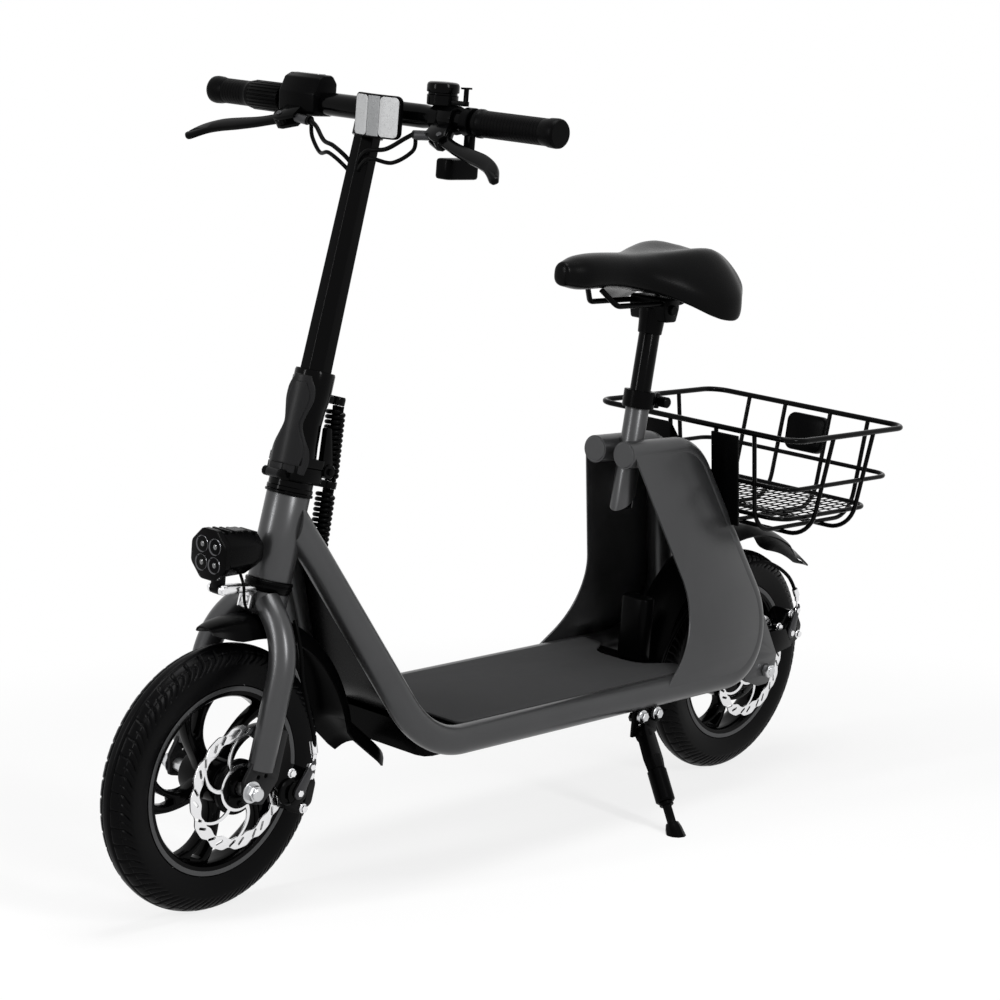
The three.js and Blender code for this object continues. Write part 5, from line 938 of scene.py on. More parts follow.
@dataclass
class Wheel(Assembly):
    """A cast wheel with its tyre and brake disc."""

    name: str
    spot: Spot
    hub_radius: float
    hub_half: float
    motor: bool = False
    radius: float = 152.4
    width: float = 43.6
    wall: float = 5
    rim_lip: float = 108.6
    rim_inner: float = 97
    rim_width: float = 37
    spokes: int = 5
    spoke_lean: float = radians(17)
    spoke_phase: float = radians(20)
    spoke_depth: float = 17
    disc_radius: float = 71
    disc_y: float = 44
    sipes: int = 46
    tread_depth: float = 1.9
    lobes: int = 12
    lobe_dip: float = 3.4
    arms: int = 6
    arm_sweep: float = radians(26)
    ring_width: float = 14
    carrier: float = 27
    slot_tilt: float = radians(52)
    screws: int = 12

    def tyre(self) -> None:
        """Spin the tyre and press its tread in."""
        half, centre = self.width / 2, self.radius - self.width / 2
        crown = []
        for share in shares(60):
            angle = mix(-QUARTER * 1.02, QUARTER * 1.02, share)
            crown.append((centre + half * cos(angle), half * sin(angle)))
        lip = self.rim_lip + 0.4
        inside = [(lip, self.rim_width / 2 - 0.5), (centre, half - self.wall), (self.radius - self.wall, 0),
                  (centre, self.wall - half), (lip, 0.5 - self.rim_width / 2)]
        profile = [(lip, -self.rim_width / 2), (centre - 9, -half * 0.99)] + crown
        profile += [(centre - 9, half * 0.99), (lip, self.rim_width / 2)] + inside
        form = Form.turned([*profile, profile[0]], 23, angle=TAU / self.sipes)

        def tread(p: Vector) -> Vector:
            """Press grooves into the crown.

            Args:
                p: a point of the tyre.
            Returns:
                Its movement.
            """
            out = hypot(p.x, p.z)
            if out < centre - 2 or abs(p.y) > half:
                return at(0, 0)
            across = asin(max(-1, min(1, p.y / half))) / QUARTER
            round_share = atan2(p.z, p.x) / TAU * self.sipes
            side = 1 if across > 0 else -1
            lean = 1.25 * abs(across) ** 1.3
            bend = 0.16 * sin(abs(across) * 7)
            phase = (round_share + lean + bend + (0.5 if side > 0 else 0)) % 1
            reach = clamp((abs(across) - 0.2) / 0.05) * clamp((0.94 - abs(across)) / 0.08)
            sipe = max(0, 1 - abs(phase - 0.5) / 0.11) * reach
            small = max(0, 1 - abs(((phase + 0.5) % 1) - 0.5) / 0.08) * reach
            small *= clamp((abs(across) - 0.42) / 0.05)
            ring = max(0, 1 - abs(abs(across) - 0.17) / 0.045)
            edge = max(0, 1 - abs(abs(across) - 0.5) / 0.03) * 0.6
            depth = min(1.0, max(sipe, small * 0.7, ring, edge)) * self.tread_depth
            inward = at(-p.x, 0, -p.z).normalized() * cos(across * QUARTER)
            return (inward + at(0, -p.y / half, 0) * abs(sin(across * QUARTER))) * depth

        form.push(tread).repeated(self.sipes)
        self.fit(f"{self.name}_road_tyre", form, self.spot, TYRE, f"{self.name}_tyre", 32)

    def _spoke(self) -> Form:
        """One swept spoke that opens in a slot towards the rim.

        Returns:
            The spoke.
        """
        inner, outer = self.hub_radius - 4, self.rim_inner + 1
        widths = [27, 19, 19.5, 25, 35, 50]
        left, right, slot_left, slot_right = [], [], [], []
        for share in shares(18):
            radius = mix(inner, outer, share)
            turn = self.spoke_lean * share * share * 1.25
            half = smooth_shares(widths, share) / 2 / radius
            left.append(polar(radius, turn - half))
            right.append(polar(radius, turn + half))
            slot = clamp((share - 0.5) / 0.16) * clamp((0.95 - share) / 0.06)
            if 0.5 < share < 0.95:
                wide = (3.2 + 6.4 * (share - 0.5) * 2) * sqrt(slot) / radius
                slot_left.append(polar(radius, turn - wide))
                slot_right.append(polar(radius, turn + wide))
        plate = Form.plate(left + right[::-1], self.spoke_depth, 3.2, [slot_left + slot_right[::-1]])
        return plate.on_edge()

    def casting(self) -> None:
        """The rim, the spokes and the hub in one casting, with a grey ring at each rim lip that is a painted
        highlight.
        """
        half, lip, inner, hub_radius = self.rim_width / 2, self.rim_lip, self.rim_inner, self.hub_radius
        seat = lip - 4.2
        side = [(seat, half - 6), (seat, half - 2.6), (lip - 0.8, half - 2.2),
                (lip, half - 1.2), (lip - 0.6, half), (lip - 3, half + 0.2),
                (inner + 1, half - 1), (inner, half - 2),
                (inner - 2.5, half - 7), (inner - 3, half - 12)]
        profile = side + [(r, -y) for r, y in reversed(side)]
        form = Form.turned([*profile, profile[0]], 144)
        spoke = self._spoke()
        for i in range(self.spokes):
            form.join(spoke.copy().turn(i / self.spokes * TAU + self.spoke_phase, "Y"))
        wide = self.hub_half
        step = 5 if self.motor else 3
        edge = [(hub_radius - step, wide), (hub_radius - step * 0.3, wide - step * 0.3),
                (hub_radius, wide - step)]
        hub = [(8, -wide), *((r, -y) for r, y in edge), *reversed(edge), (24, wide), (24, self.disc_y - 4),
               (8, self.disc_y - 4)]
        form.join(Form.turned([*hub, hub[0]], 72))
        if self.motor:
            for i in range(self.screws):
                spot = polar(hub_radius - 9, (i + 0.5) / self.screws * TAU)
                for y in (-wide - 1.2, wide - 0.5):
                    form.join(Form.bar((spot.x, y, spot.y), (spot.x, y + 1.7, spot.y), 2.6, 12, 0.4))
        self.fit(f"{self.name}_cast_wheel", form, self.spot, GLOSS, f"{self.name}_wheel", 32)
        # A thin ring of frame paint at each rim lip: a painted highlight along the glossy lip.
        lines = Form()
        for side in (1, -1):
            ring = [(lip - 6.2, half - 0.25), (lip - 3, half + 0.45),
                    (lip - 1, half + 0.3), (lip - 3, half - 0.3)]
            lines.join(Form.turned([*ring, ring[0]], 144).on_side(side))
        self.fit(f"{self.name}_rim_lip_highlight_rings", lines, self.spot, PAINT)

    def _disc_edge(self) -> list[Vector]:
        """The disc's outer edge, a row of shallow dips.

        Returns:
            The outline.
        """
        outline, steps = [], 20 * self.lobes
        for i in range(steps):
            saw = (i / steps * self.lobes) % 1
            dip = self.lobe_dip * sin(min(1, saw / 0.62) * pi) ** 2 if saw < 0.62 else 0
            outline.append(polar(self.disc_radius - dip, i / steps * TAU))
        return outline

    def _disc_window(self, i: int) -> list[Vector]:
        """An opening between two swept arms.

        Args:
            i: its number.
        Returns:
            Its outline.
        """
        gap, ring, carrier = TAU / self.arms, self.disc_radius - self.ring_width, self.carrier
        margin, start, end = 4.2 / 50, i * gap, (i + 1) * gap
        window = []
        for share in shares(16):
            turn = start + self.arm_sweep + mix(margin, gap - margin, share)
            window.append(polar(ring + 1.6 * sin(share * 2 * TAU), turn))
        for share in shares(10):
            radius = mix(ring, carrier, share)
            window.append(polar(radius, end + self.arm_sweep * (1 - share) ** 1.6 - 2.4 / radius))
        for share in shares(8):
            window.append(polar(carrier, mix(end - 2.6 / carrier, start + 2.6 / carrier, share)))
        for share in shares(10):
            radius = mix(carrier, ring, share)
            window.append(polar(radius, start + self.arm_sweep * share ** 1.6 + 2.4 / radius))
        kept: list[Vector] = []
        for p in window:
            if not kept or (p - kept[-1]).length > 0.6:
                kept.append(p)
        return kept

    def _disc_slot(self, i: int) -> list[Vector]:
        """A slanted cooling slot in the ring.

        Args:
            i: its number.
        Returns:
            Its outline.
        """
        middle = at(self.disc_radius - 7.6, 0)
        half = spun_points([at(4, 0)], self.slot_tilt)[0]
        across = at(-half.y, half.x).normalized()
        ends = []
        for sign in (1, -1):
            for share in shares(5):
                turn = mix(-QUARTER, QUARTER, share)
                way = half.normalized() * cos(turn) + across * sin(turn)
                ends.append(middle + half * sign + way * sign * 1.5)
        return spun_points(ends, (i + 0.35 + 0.22 * (i % 2)) / (self.lobes * 2) * TAU)

    def disc(self) -> None:
        """The wavy brake disc with its slanted slots and swept arms, on a dark carrier."""
        y = self.disc_y
        holes = [circle(12, 48), *(self._disc_window(i) for i in range(self.arms)),
                 *(self._disc_slot(i) for i in range(self.lobes * 2))]
        form = Form.plate(self._disc_edge(), 2, 0.15, holes).on_edge(y)
        self.fit(f"{self.name}_brake_disc", form, self.spot, STEEL, f"{self.name}_rotor", 30)
        hat = Form.turned([(9, y - 7), (30, y - 7), (31.5, y - 5.5), (31.5, y - 2), (30.5, y - 1.1),
                           (9, y - 1.1)], 60)
        plate = Form.plate(circle(23.4, 60), 1.6, 0.4, [circle(9, 32)]).on_edge(y + 1.9)
        for i in range(6):
            spot = polar(18, (i + 0.5) / 6 * TAU)
            plate.join(Form.bar((spot.x, y + 2.6, spot.y), (spot.x, y + 4.6, spot.y), 3.2, 24, 0.6))
        self.fit(f"{self.name}_disc_carrier", hat.join(plate), self.spot, SATIN)

    def build(self) -> None:
        """Make the whole wheel."""
        self.tyre()
        self.casting()
        self.disc()


# Frame

@dataclass
class TubeFrame(Assembly):
    """The two bent tubes, the head tube, the deck, the side panels and the rear plates."""

    tube_radius: float = 17.5
    half_width: float = 97
    height: float = 170.5
    lean: float = radians(13.93)
    head_end: Vector = at(-95, 15, 426)
    front_bend: float = -241
    front_radius: float = 98
    rear_bend: float = -922
    top_bend: float = -781
    top_height: float = 462
    rear_end: float = -650
    deck_end: float = -746
    mat_end: float = -745.7
    mat_bay: float = -699.7
    deck_top: float = 184.2
    mat_top: float = 188.4
    shield_top: float = 392
    dropout_y: float = 69

    def _on_loop(self, x: float, z: float) -> Vector:
        """A point of the leaning plane that the loop lies in."""
        return at(x, self.half_width - tan(self.lean) * (z - self.height), z)

    def _path(self) -> list[Vector]:
        """The middle line of the left tube.

        Returns:
            Its points, from the head tube round to the open end under the saddle.
        """
        head, foot = self.head_end, self._on_loop(self.front_bend, self.height)
        corners = [head + (head - foot).normalized() * 34, foot,
                   self._on_loop(self.rear_bend, self.height), self._on_loop(self.top_bend, self.top_height),
                   self._on_loop(self.rear_end, self.top_height + 2.5)]
        return rounded(corners, [0, self.front_radius, 75, 50, 0], 20)

    def tubes(self) -> None:
        """Both tubes with the plates that hold the rear axle."""
        layout = self.layout
        head_way = at(cos(layout.head_angle), 0, sin(layout.head_angle))
        base = at(-layout.setback, 0, layout.wheel_radius)
        for side, name in SIDES:
            tube = Form.tube(self._path(), self.tube_radius, 40)
            tube.cut(base + head_way * -3, head_way)
            tube.cut(at(0, 0.2, 0), at(0, -1, 0))
            rim = self._path()[-1]
            tube.join(Form.bar(rim + at(-2, 0, 0), rim + at(1.2, 0, 0), self.tube_radius - 1.6, 40, 0.8))
            back, up = -layout.wheelbase, layout.wheel_radius
            corners = [at(back + x, up + z) for x, z in (
                (-22, 19), (-20, -6), (-6, -20), (16, -20), (44, -9), (66, 46), (66, 106), (37, 106), (20, 85))]
            holes = [circle(radius, sides, at(back + x, up + z)) for radius, sides, x, z in (
                (6.4, 24, 0, 0), (7, 20, 34, 24), (5, 20, 46, 58))]
            plate = Form.plate(rounded(corners, 9, 5, True), 5, 0.6, holes).on_edge(self.dropout_y)
            tube.on_side(side)
            self.fit(f"{name}_bent_tube", tube.join(plate.on_side(side)), ON_FRAME, PAINT,
                     f"{name}_frame_tube", 40)

    def head(self) -> None:
        """The head tube with its bearing cups."""
        tube = [(14.6, 222), (24.1, 222), (24.5, 222.6), (24.5, 318.4), (24.1, 319), (14.6, 319)]
        self.fit("turned_head_tube", Form.turned(tube, 72, "Z"), (Place.STEERING, "frame"), PAINT,
                 "head_tube", 40)
        cup = [(14.6, 209.1), (24.6, 209.1), (25.6, 210), (26.6, 213.6), (27, 214.2), (27, 216.2),
               (26.2, 216.8), (26.2, 217.6), (27, 218.2), (27, 220.9), (26.4, 221.6), (14.6, 221.6)]
        top = [(14.6, 319.2), (26.4, 319.2), (27, 319.8), (27, 321.6), (26.4, 322.2), (14.6, 322.2)]
        self.fit("head_bearing_cups", Form.turned(cup, 72, "Z").join(Form.turned(top, 72, "Z")),
                 (Place.STEERING, "frame"), SATIN)

    def deck(self) -> None:
        """The deck sheet that rises into a shield, and its mat."""
        down = self.head_end - self._on_loop(self.front_bend, self.height)
        way = at(down.x, 0, down.z).normalized()
        reach = (self.shield_top - self.height) / way.z
        foot = at(self.front_bend, 0, self.height)
        line = rounded([(self.deck_end, 0, self.height), foot, foot + way * reach], self.front_radius, 18)
        lift = self.deck_top - self.height - 1
        rows = []
        for p, along in zip(line, headings(line)):
            half = mix(self.half_width, self.head_end.y, max(0.0, (p.z - self.height) / down.z))
            middle = p + at(-along.z, 0, along.x) * lift
            rows.append([middle + at(0, y * half, 0) for y in (-1, -0.97, -0.5, 0, 0.5, 0.97, 1)])
        self.fit("deck_sheet", Form.sheet(rows, 2), ON_FRAME, SATIN, "deck_plate", 40)
        horn, bay = self.mat_end, self.mat_bay
        front = self.front_bend - self.front_radius * 0.62
        outline = rounded([(front, -93), (front, 93), (horn, 93), (horn, 60), (bay, 36),
                           (bay, -36), (horn, -60), (horn, -93)],
                          [14, 14, 0, 16, 32, 32, 16, 0], 8, True)
        rise = self.mat_top - self.deck_top - 0.3
        mat = Form.plate(outline, rise, 1.2).move(z=self.deck_top + 0.3 + rise / 2)
        self.fit("ribbed_deck_mat", mat, ON_FRAME, MAT, "deck_mat", 40)

    def panels(self) -> None:
        """The sheets on the outer face of each tube loop."""
        path = self._path()

        def rise(z: float) -> float:
            """How far up the leaning sheet a height lies."""
            return (z - self.height) / cos(self.lean)

        start = next(i for i, p in enumerate(path) if p.x < -700 and p.z < self.height + 1)
        rear = [at(p.x, p.z) for p in path[start + 1:]]
        front = rounded([rear[-1], (-750, 240), (-665, self.height)], 90, 16)
        outline = [at(p.x, rise(p.y)) for p in rear + front[1:]]
        for side, name in SIDES:
            sheet = Form.plate(outline, 2.6, 0.8).move(z=3 - self.tube_radius - 1.3)
            sheet.turn(QUARTER + self.lean, "X").move(y=self.half_width, z=self.height)
            self.fit(f"{name}_panel_sheet", sheet.on_side(side), ON_FRAME, PAINT, f"{name}_side_panel", 40)

    def build(self) -> None:
        """Make the whole frame."""
        self.tubes()
        self.head()
        self.deck()
        self.panels()
        self.dress("battery_tray", SATIN)
        self.dress("battery_pack", PLASTIC)
        self.refine("motor_controller", "frame", PLASTIC, 3)


# Front end

@dataclass
class Fork(Assembly):
    """The fork's crown, legs and axle plates, with the axle's nuts."""

    leg_radius: float = 15
    leg_offset: float = 61
    leg_ahead: float = 12.5
    leg_end: float = 20
    shoulder: float = 160
    crown_top: float = 208.7
    axle_ahead: float = 21.8 * cos(radians(12.29))
    axle_drop: float = 21.8 * sin(radians(12.29))

    def build(self) -> None:
        """Make the fork and dress what is bolted to it."""
        crown = Form.turned([(0, 183.7), (21, 183.7), (23.5, 184.6), (25, 187), (25, 206.6), (24.2, 208.2),
                             (23, 208.7), (14.3, 208.7), (14.3, 344), (0, 344)], 64, "Z")
        plates = Form()
        for side in (1, -1):
            path = rounded([(self.leg_ahead, 16, self.crown_top - self.leg_radius / 2 - 2),
                            (self.leg_ahead, self.leg_offset, self.shoulder),
                            (self.leg_ahead, self.leg_offset, self.leg_end)], 90, 18)
            widths = [1] * (len(path) - 1) + [0.97]
            leg = Form.tube(path, self.leg_radius, 36, widths=widths).soften(1.2, 3, 60)
            crown.join(leg.on_side(side))
            plates.join(self._dropout(side))
        self.fit("bent_fork", crown, ON_FORK, PAINT, "fork", 40)
        self.fit("fork_axle_plates", plates, ON_FORK, LEVER, "", 40)
        self.refine("front_axle", "fork", ZINC, 0.7)
        ends = Form()
        for side in (1, -1):
            face = side * (self.leg_offset + 2.7)
            middle = at(self.axle_ahead, face, -self.axle_drop)
            ends.join(Form.bar(middle, middle + at(0, side * 1.6, 0), 12.5, 32, 0.4))
            tip = middle + at(0, side * 11, 0)
            ends.join(Form.bar(tip, tip + at(0, side * 2.6, 0), 7.5, 32, 1.2))
        self.fit("front_axle_washers", ends, ON_FORK, ZINC)

    def _dropout(self, side: int) -> Form:
        """The plate that holds the axle; the left one carries the caliper's tab.

        Args:
            side: 1 for the left, -1 for the right.
        Returns:
            The plate.
        """
        ahead, top = self.leg_ahead, self.leg_end + 18.4
        low, front, rear = -self.axle_drop - 13.8, self.axle_ahead + 13.2, ahead - 22
        corners = [(mix(rear, front, 0.2), low), (mix(rear, front, 0.85), low), (front, 4),
                   (ahead + 10.5, top), (ahead - 10.5, top)]
        if side > 0:
            corners += [(ahead - 10.5, 66), (rear - 6.5, 66), (rear - 6.5, 10)]
        else:
            corners += [(rear, self.leg_end)]
        holes = [circle(6.4, 24, at(self.axle_ahead, -self.axle_drop)), circle(2.6, 16, at(15, 12)),
                 circle(2.6, 16, at(4, 14))]
        plate = Form.plate(rounded(corners, 3.5, 4, True), 5, 0.5, holes)
        return plate.on_edge(side * self.leg_offset)


@dataclass
class Fenders(Assembly):
    """The front and rear fender sheets."""

    wall: float = 2.4
    crown: float = 10
    skirt: float = 12
    half_width: float = 31
    front_radius: float = 172
    front_lead: float = radians(17)
    front_trail: float = radians(80)
    front_shift: Vector = at(-25, 0, 10.6)
    flap_half: float = 43
    flap_length: float = 65
    flap_turn: float = radians(41)
    rear_radius: float = 188
    rear_lead: float = radians(82)
    rear_trail: float = radians(30)
    stay_angle: float = radians(62)
    stay_half: float = 58

    @staticmethod
    def _arc(radius: float, lead: float, trail: float) -> list[Vector]:
        """Points over a wheel between two angles from its top."""
        turns = [mix(lead, trail, s) for s in shares(36)]
        return [at(radius * sin(a), 0, radius * cos(a)) for a in turns]

    def _sheet(self, path: Sequence[Vector], widths: Sequence[float], skirt: float = 0) -> Form:
        """Sweep a crowned section along a route in the machine's middle plane.

        Args:
            path: the route.
            widths: the half width at each point of it.
            skirt: how much lower its edges are turned.
        Returns:
            The sheet with its wall.
        """
        rows = []
        for p, along, half in zip(path, headings(path), widths):
            out = at(-along.z, 0, along.x)
            out = out if out.z > 0 else -out
            rows.append([])
            for share in (k / 8 - 1 for k in range(17)):
                fall = (self.crown * share ** 2 + skirt * share ** 6) * min(1.0, half / 30) ** 1.5
                rows[-1].append(p + at(0, share * half, 0) - out * fall)
        return Form.sheet(rows, self.wall)

    def front(self) -> None:
        """The front fender with its flared flap."""
        arc = self._arc(self.front_radius, self.front_lead, -self.front_trail)
        angle = pi - self.front_trail + self.flap_turn
        flap = at(cos(angle), 0, -sin(angle)) * self.flap_length
        knee = arc[-1]
        tail = smooth_route([knee, knee + flap * 0.35, knee + flap * 0.7, knee + flap], 12)[1:]
        path = [p + self.front_shift for p in arc + tail]
        widths = []
        for i, p in enumerate(path):
            nose = min(1.0, (i + 1.2) / 7)
            wide = self.half_width * sin(nose * QUARTER) ** 0.55
            if i >= len(arc) - 12:
                flare = min(1.0, (i - len(arc) + 12) / 20) ** 1.3
                wide = mix(self.half_width, self.flap_half, flare)
            over = i - (len(path) - 4)
            widths.append(wide * (1 - 0.015 * max(0, over) ** 1.4))
        form = self._sheet(path, widths, self.skirt)
        self.fit("front_fender_sheet", form, (Place.FRONT_HUB, "fork"), PLASTIC, "front_fender", 50)

    def rear(self) -> None:
        """The rear fender with its long tail, on its cross stay."""
        arc = self._arc(self.rear_radius, self.rear_lead, -self.rear_trail)
        form = self._sheet(arc, [self.half_width] * len(arc))
        edge = [(-1, 31), (16, 30.2), (34, 24), (52, 17.5), (68, 14.2), (80, 13)]
        edge = smooth_route(edge, 24)
        edge += [at(80 + 11 * sin(QUARTER * s), 13 * cos(QUARTER * s)) for s in shares(6)[1:]]
        slot = [at(79 + 6.5 * cos(TAU * s), 4 * sin(TAU * s)) for s in shares(20)[1:]]
        tail = Form.plate(edge + [at(p.x, -p.y) for p in reversed(edge[:-1])], self.wall, 0.5, [slot])
        tail.sliced((-22, -14, -7, 0, 7, 14, 22), 1).sliced((15, 30, 45, 60))

        def arch(p: Vector) -> Vector:
            """Bow the tail across and let its tip fall."""
            fall = self.crown * (p.y / self.half_width) ** 2 * (1 + min(1, max(0, p.x) / 30))
            return at(0, 0, -4 * (p.x / 90) ** 2 - self.wall / 2 - fall)

        tail.push(arch).turn(pi, "Z").turn(-self.rear_trail, "Y")
        form.join(tail.move(arc[-1].x, 0, arc[-1].z))
        reach = self.rear_radius + 4
        stay = at(reach * cos(self.stay_angle), 0, reach * sin(self.stay_angle))
        out = at(0, self.stay_half, 0)
        form.join(Form.bar(stay - out, stay + out, 8, 24, 1))
        self.fit("rear_fender_sheet", form, (Place.REAR_HUB, "frame"), PLASTIC, "rear_fender", 50)

    def build(self) -> None:
        """Make both fenders."""
        self.front()
        self.rear()


@dataclass
class Fold(Assembly):
    """The folding joint: its base, casting, lever and catch, and the stem above it."""

    height: float = 352
    lever_low: float = 343
    lever_high: float = 452
    casting_top: float = 459
    stem_low: float = 424
    stem_top: float = 747.5

    def build(self) -> None:
        """Make the joint and the stem."""
        self.refine("fold_base", "fork", SATIN, 1.0)
        ring = Form.turned([(20, 322.6), (25.4, 322.6), (26, 323.2), (26, 327), (25, 327.8), (25, 334),
                            (24.2, 335), (20, 335)], 64, "Z")
        self.fit("fold_base_collar", ring, ON_FORK, GLOSS)
        profile = [(0, 352.3), (22, 352.3), (22.3, 353), (22.1, 362), (20.6, 376), (19.5, 400), (20.4, 416),
                   (22.2, 428), (22.8, 436), (22.8, 456), (22, 458.6), (20, self.casting_top),
                   (19.6, 458), (19.6, self.stem_low), (0, self.stem_low)]
        casting = Form.turned(profile, 64, "Z")
        flange = rounded([(-26, -25), (22.5, -25), (22.5, 25), (-26, 25)], 9, 8, True)
        casting.join(Form.plate(flange, 10.4, 1.2).move(z=357.7))
        for side in (1, -1):
            eye, end = at(-31, side * 14.4, self.height), at(-31, side * 25.4, self.height)
            casting.join(Form.bar(eye, end, 8.4, 28, 1))
            corners = [(-38, self.height), (-20, self.height), (-14, 400), (-22, 400)]
            cheek = rounded(corners, 3, 4, True)
            casting.join(Form.plate(cheek, 8, 1).on_edge(side * 19))
        casting.join(Form.block((-9.6, -22.4, 406), (9.6, -14, 453), 1.2))
        port = Form.turned([(4, 426.2), (8.6, 426.2), (9, 427), (9, 434), (8, 436), (4, 436)], 32, "Z")
        casting.join(port.move(x=-44), Form.block((-40, -4, 427), (-20, 4, 435), 1))
        self.fit("stem_casting_shell", casting, ON_STEM, GLOSS, "stem_casting", 36)
        self._lever()
        self.refine("fold_catch", "fold_catch", DARK_STEEL, 1.0)
        self._stem()

    def _lever(self) -> None:
        """The hourglass lever up the front of the casting."""
        widths = [20, 22, 20, 13.5, 9.4, 11.4, 14.4, 13.6, 8]
        low, high = self.lever_low, self.lever_high
        edge = [at(smooth_shares(widths, s), mix(low, high, s)) for s in shares(32)]
        ring = edge + [at(-p.x, p.y) for p in reversed(edge)]
        plate = Form.plate(ring, 5.4, 1.6).on_edge().sliced(range(-16, 17, 4))
        raised = [at(p.x * 0.66, mix(low + 9, high - 8, (p.y - low) / (high - low))) for p in ring]
        plate.join(Form.plate(raised, 2.4, 0.9).on_edge(-2.9).sliced(range(-12, 13, 4)))

        def wrap(p: Vector) -> Vector:
            """Lay the flat plate round the casting, nearer to its left."""
            turn, out = p.x / 22 + 0.32, 26.6 - p.y
            return at(out * cos(turn), out * sin(turn), p.z) - p

        plate.push(wrap)
        plate.join(Form.bar((29, -9.4, 340), (29, 9.4, 340), 5.4, 24, 0.6))
        plate.join(Form.block((23.4, -9.4, 338), (29.8, 9.4, 352), 0.8))
        self.fit("hourglass_fold_lever", plate, (Place.STEERING, "fold_lever"), LEVER, "fold_lever")

    def _stem(self) -> None:
        """The tapered stem, an extrusion with rounded flats."""
        rings = []
        for height, radius in ((self.stem_low + 0.4, 19.0), (self.casting_top + 6, 18.2),
                               (self.stem_top, 15.2)):
            corners = [polar(radius * 1.03, (i + 0.5) / 8 * TAU) for i in range(8)]
            ring = rounded(corners, radius * 0.16, 4, True)
            rings.append([at(p.x, p.y, height) for p in ring])
        form = Form.lofted(rings)
        collar = Form.turned([(14, 722), (17, 722), (17.6, 723), (17.6, 736), (16.4, 738), (14, 738)], 48, "Z")
        form.join(collar)
        self.fit("tapered_stem", form, ON_STEM, GLOSS, "stem_tube", 22)


# Bar and controls

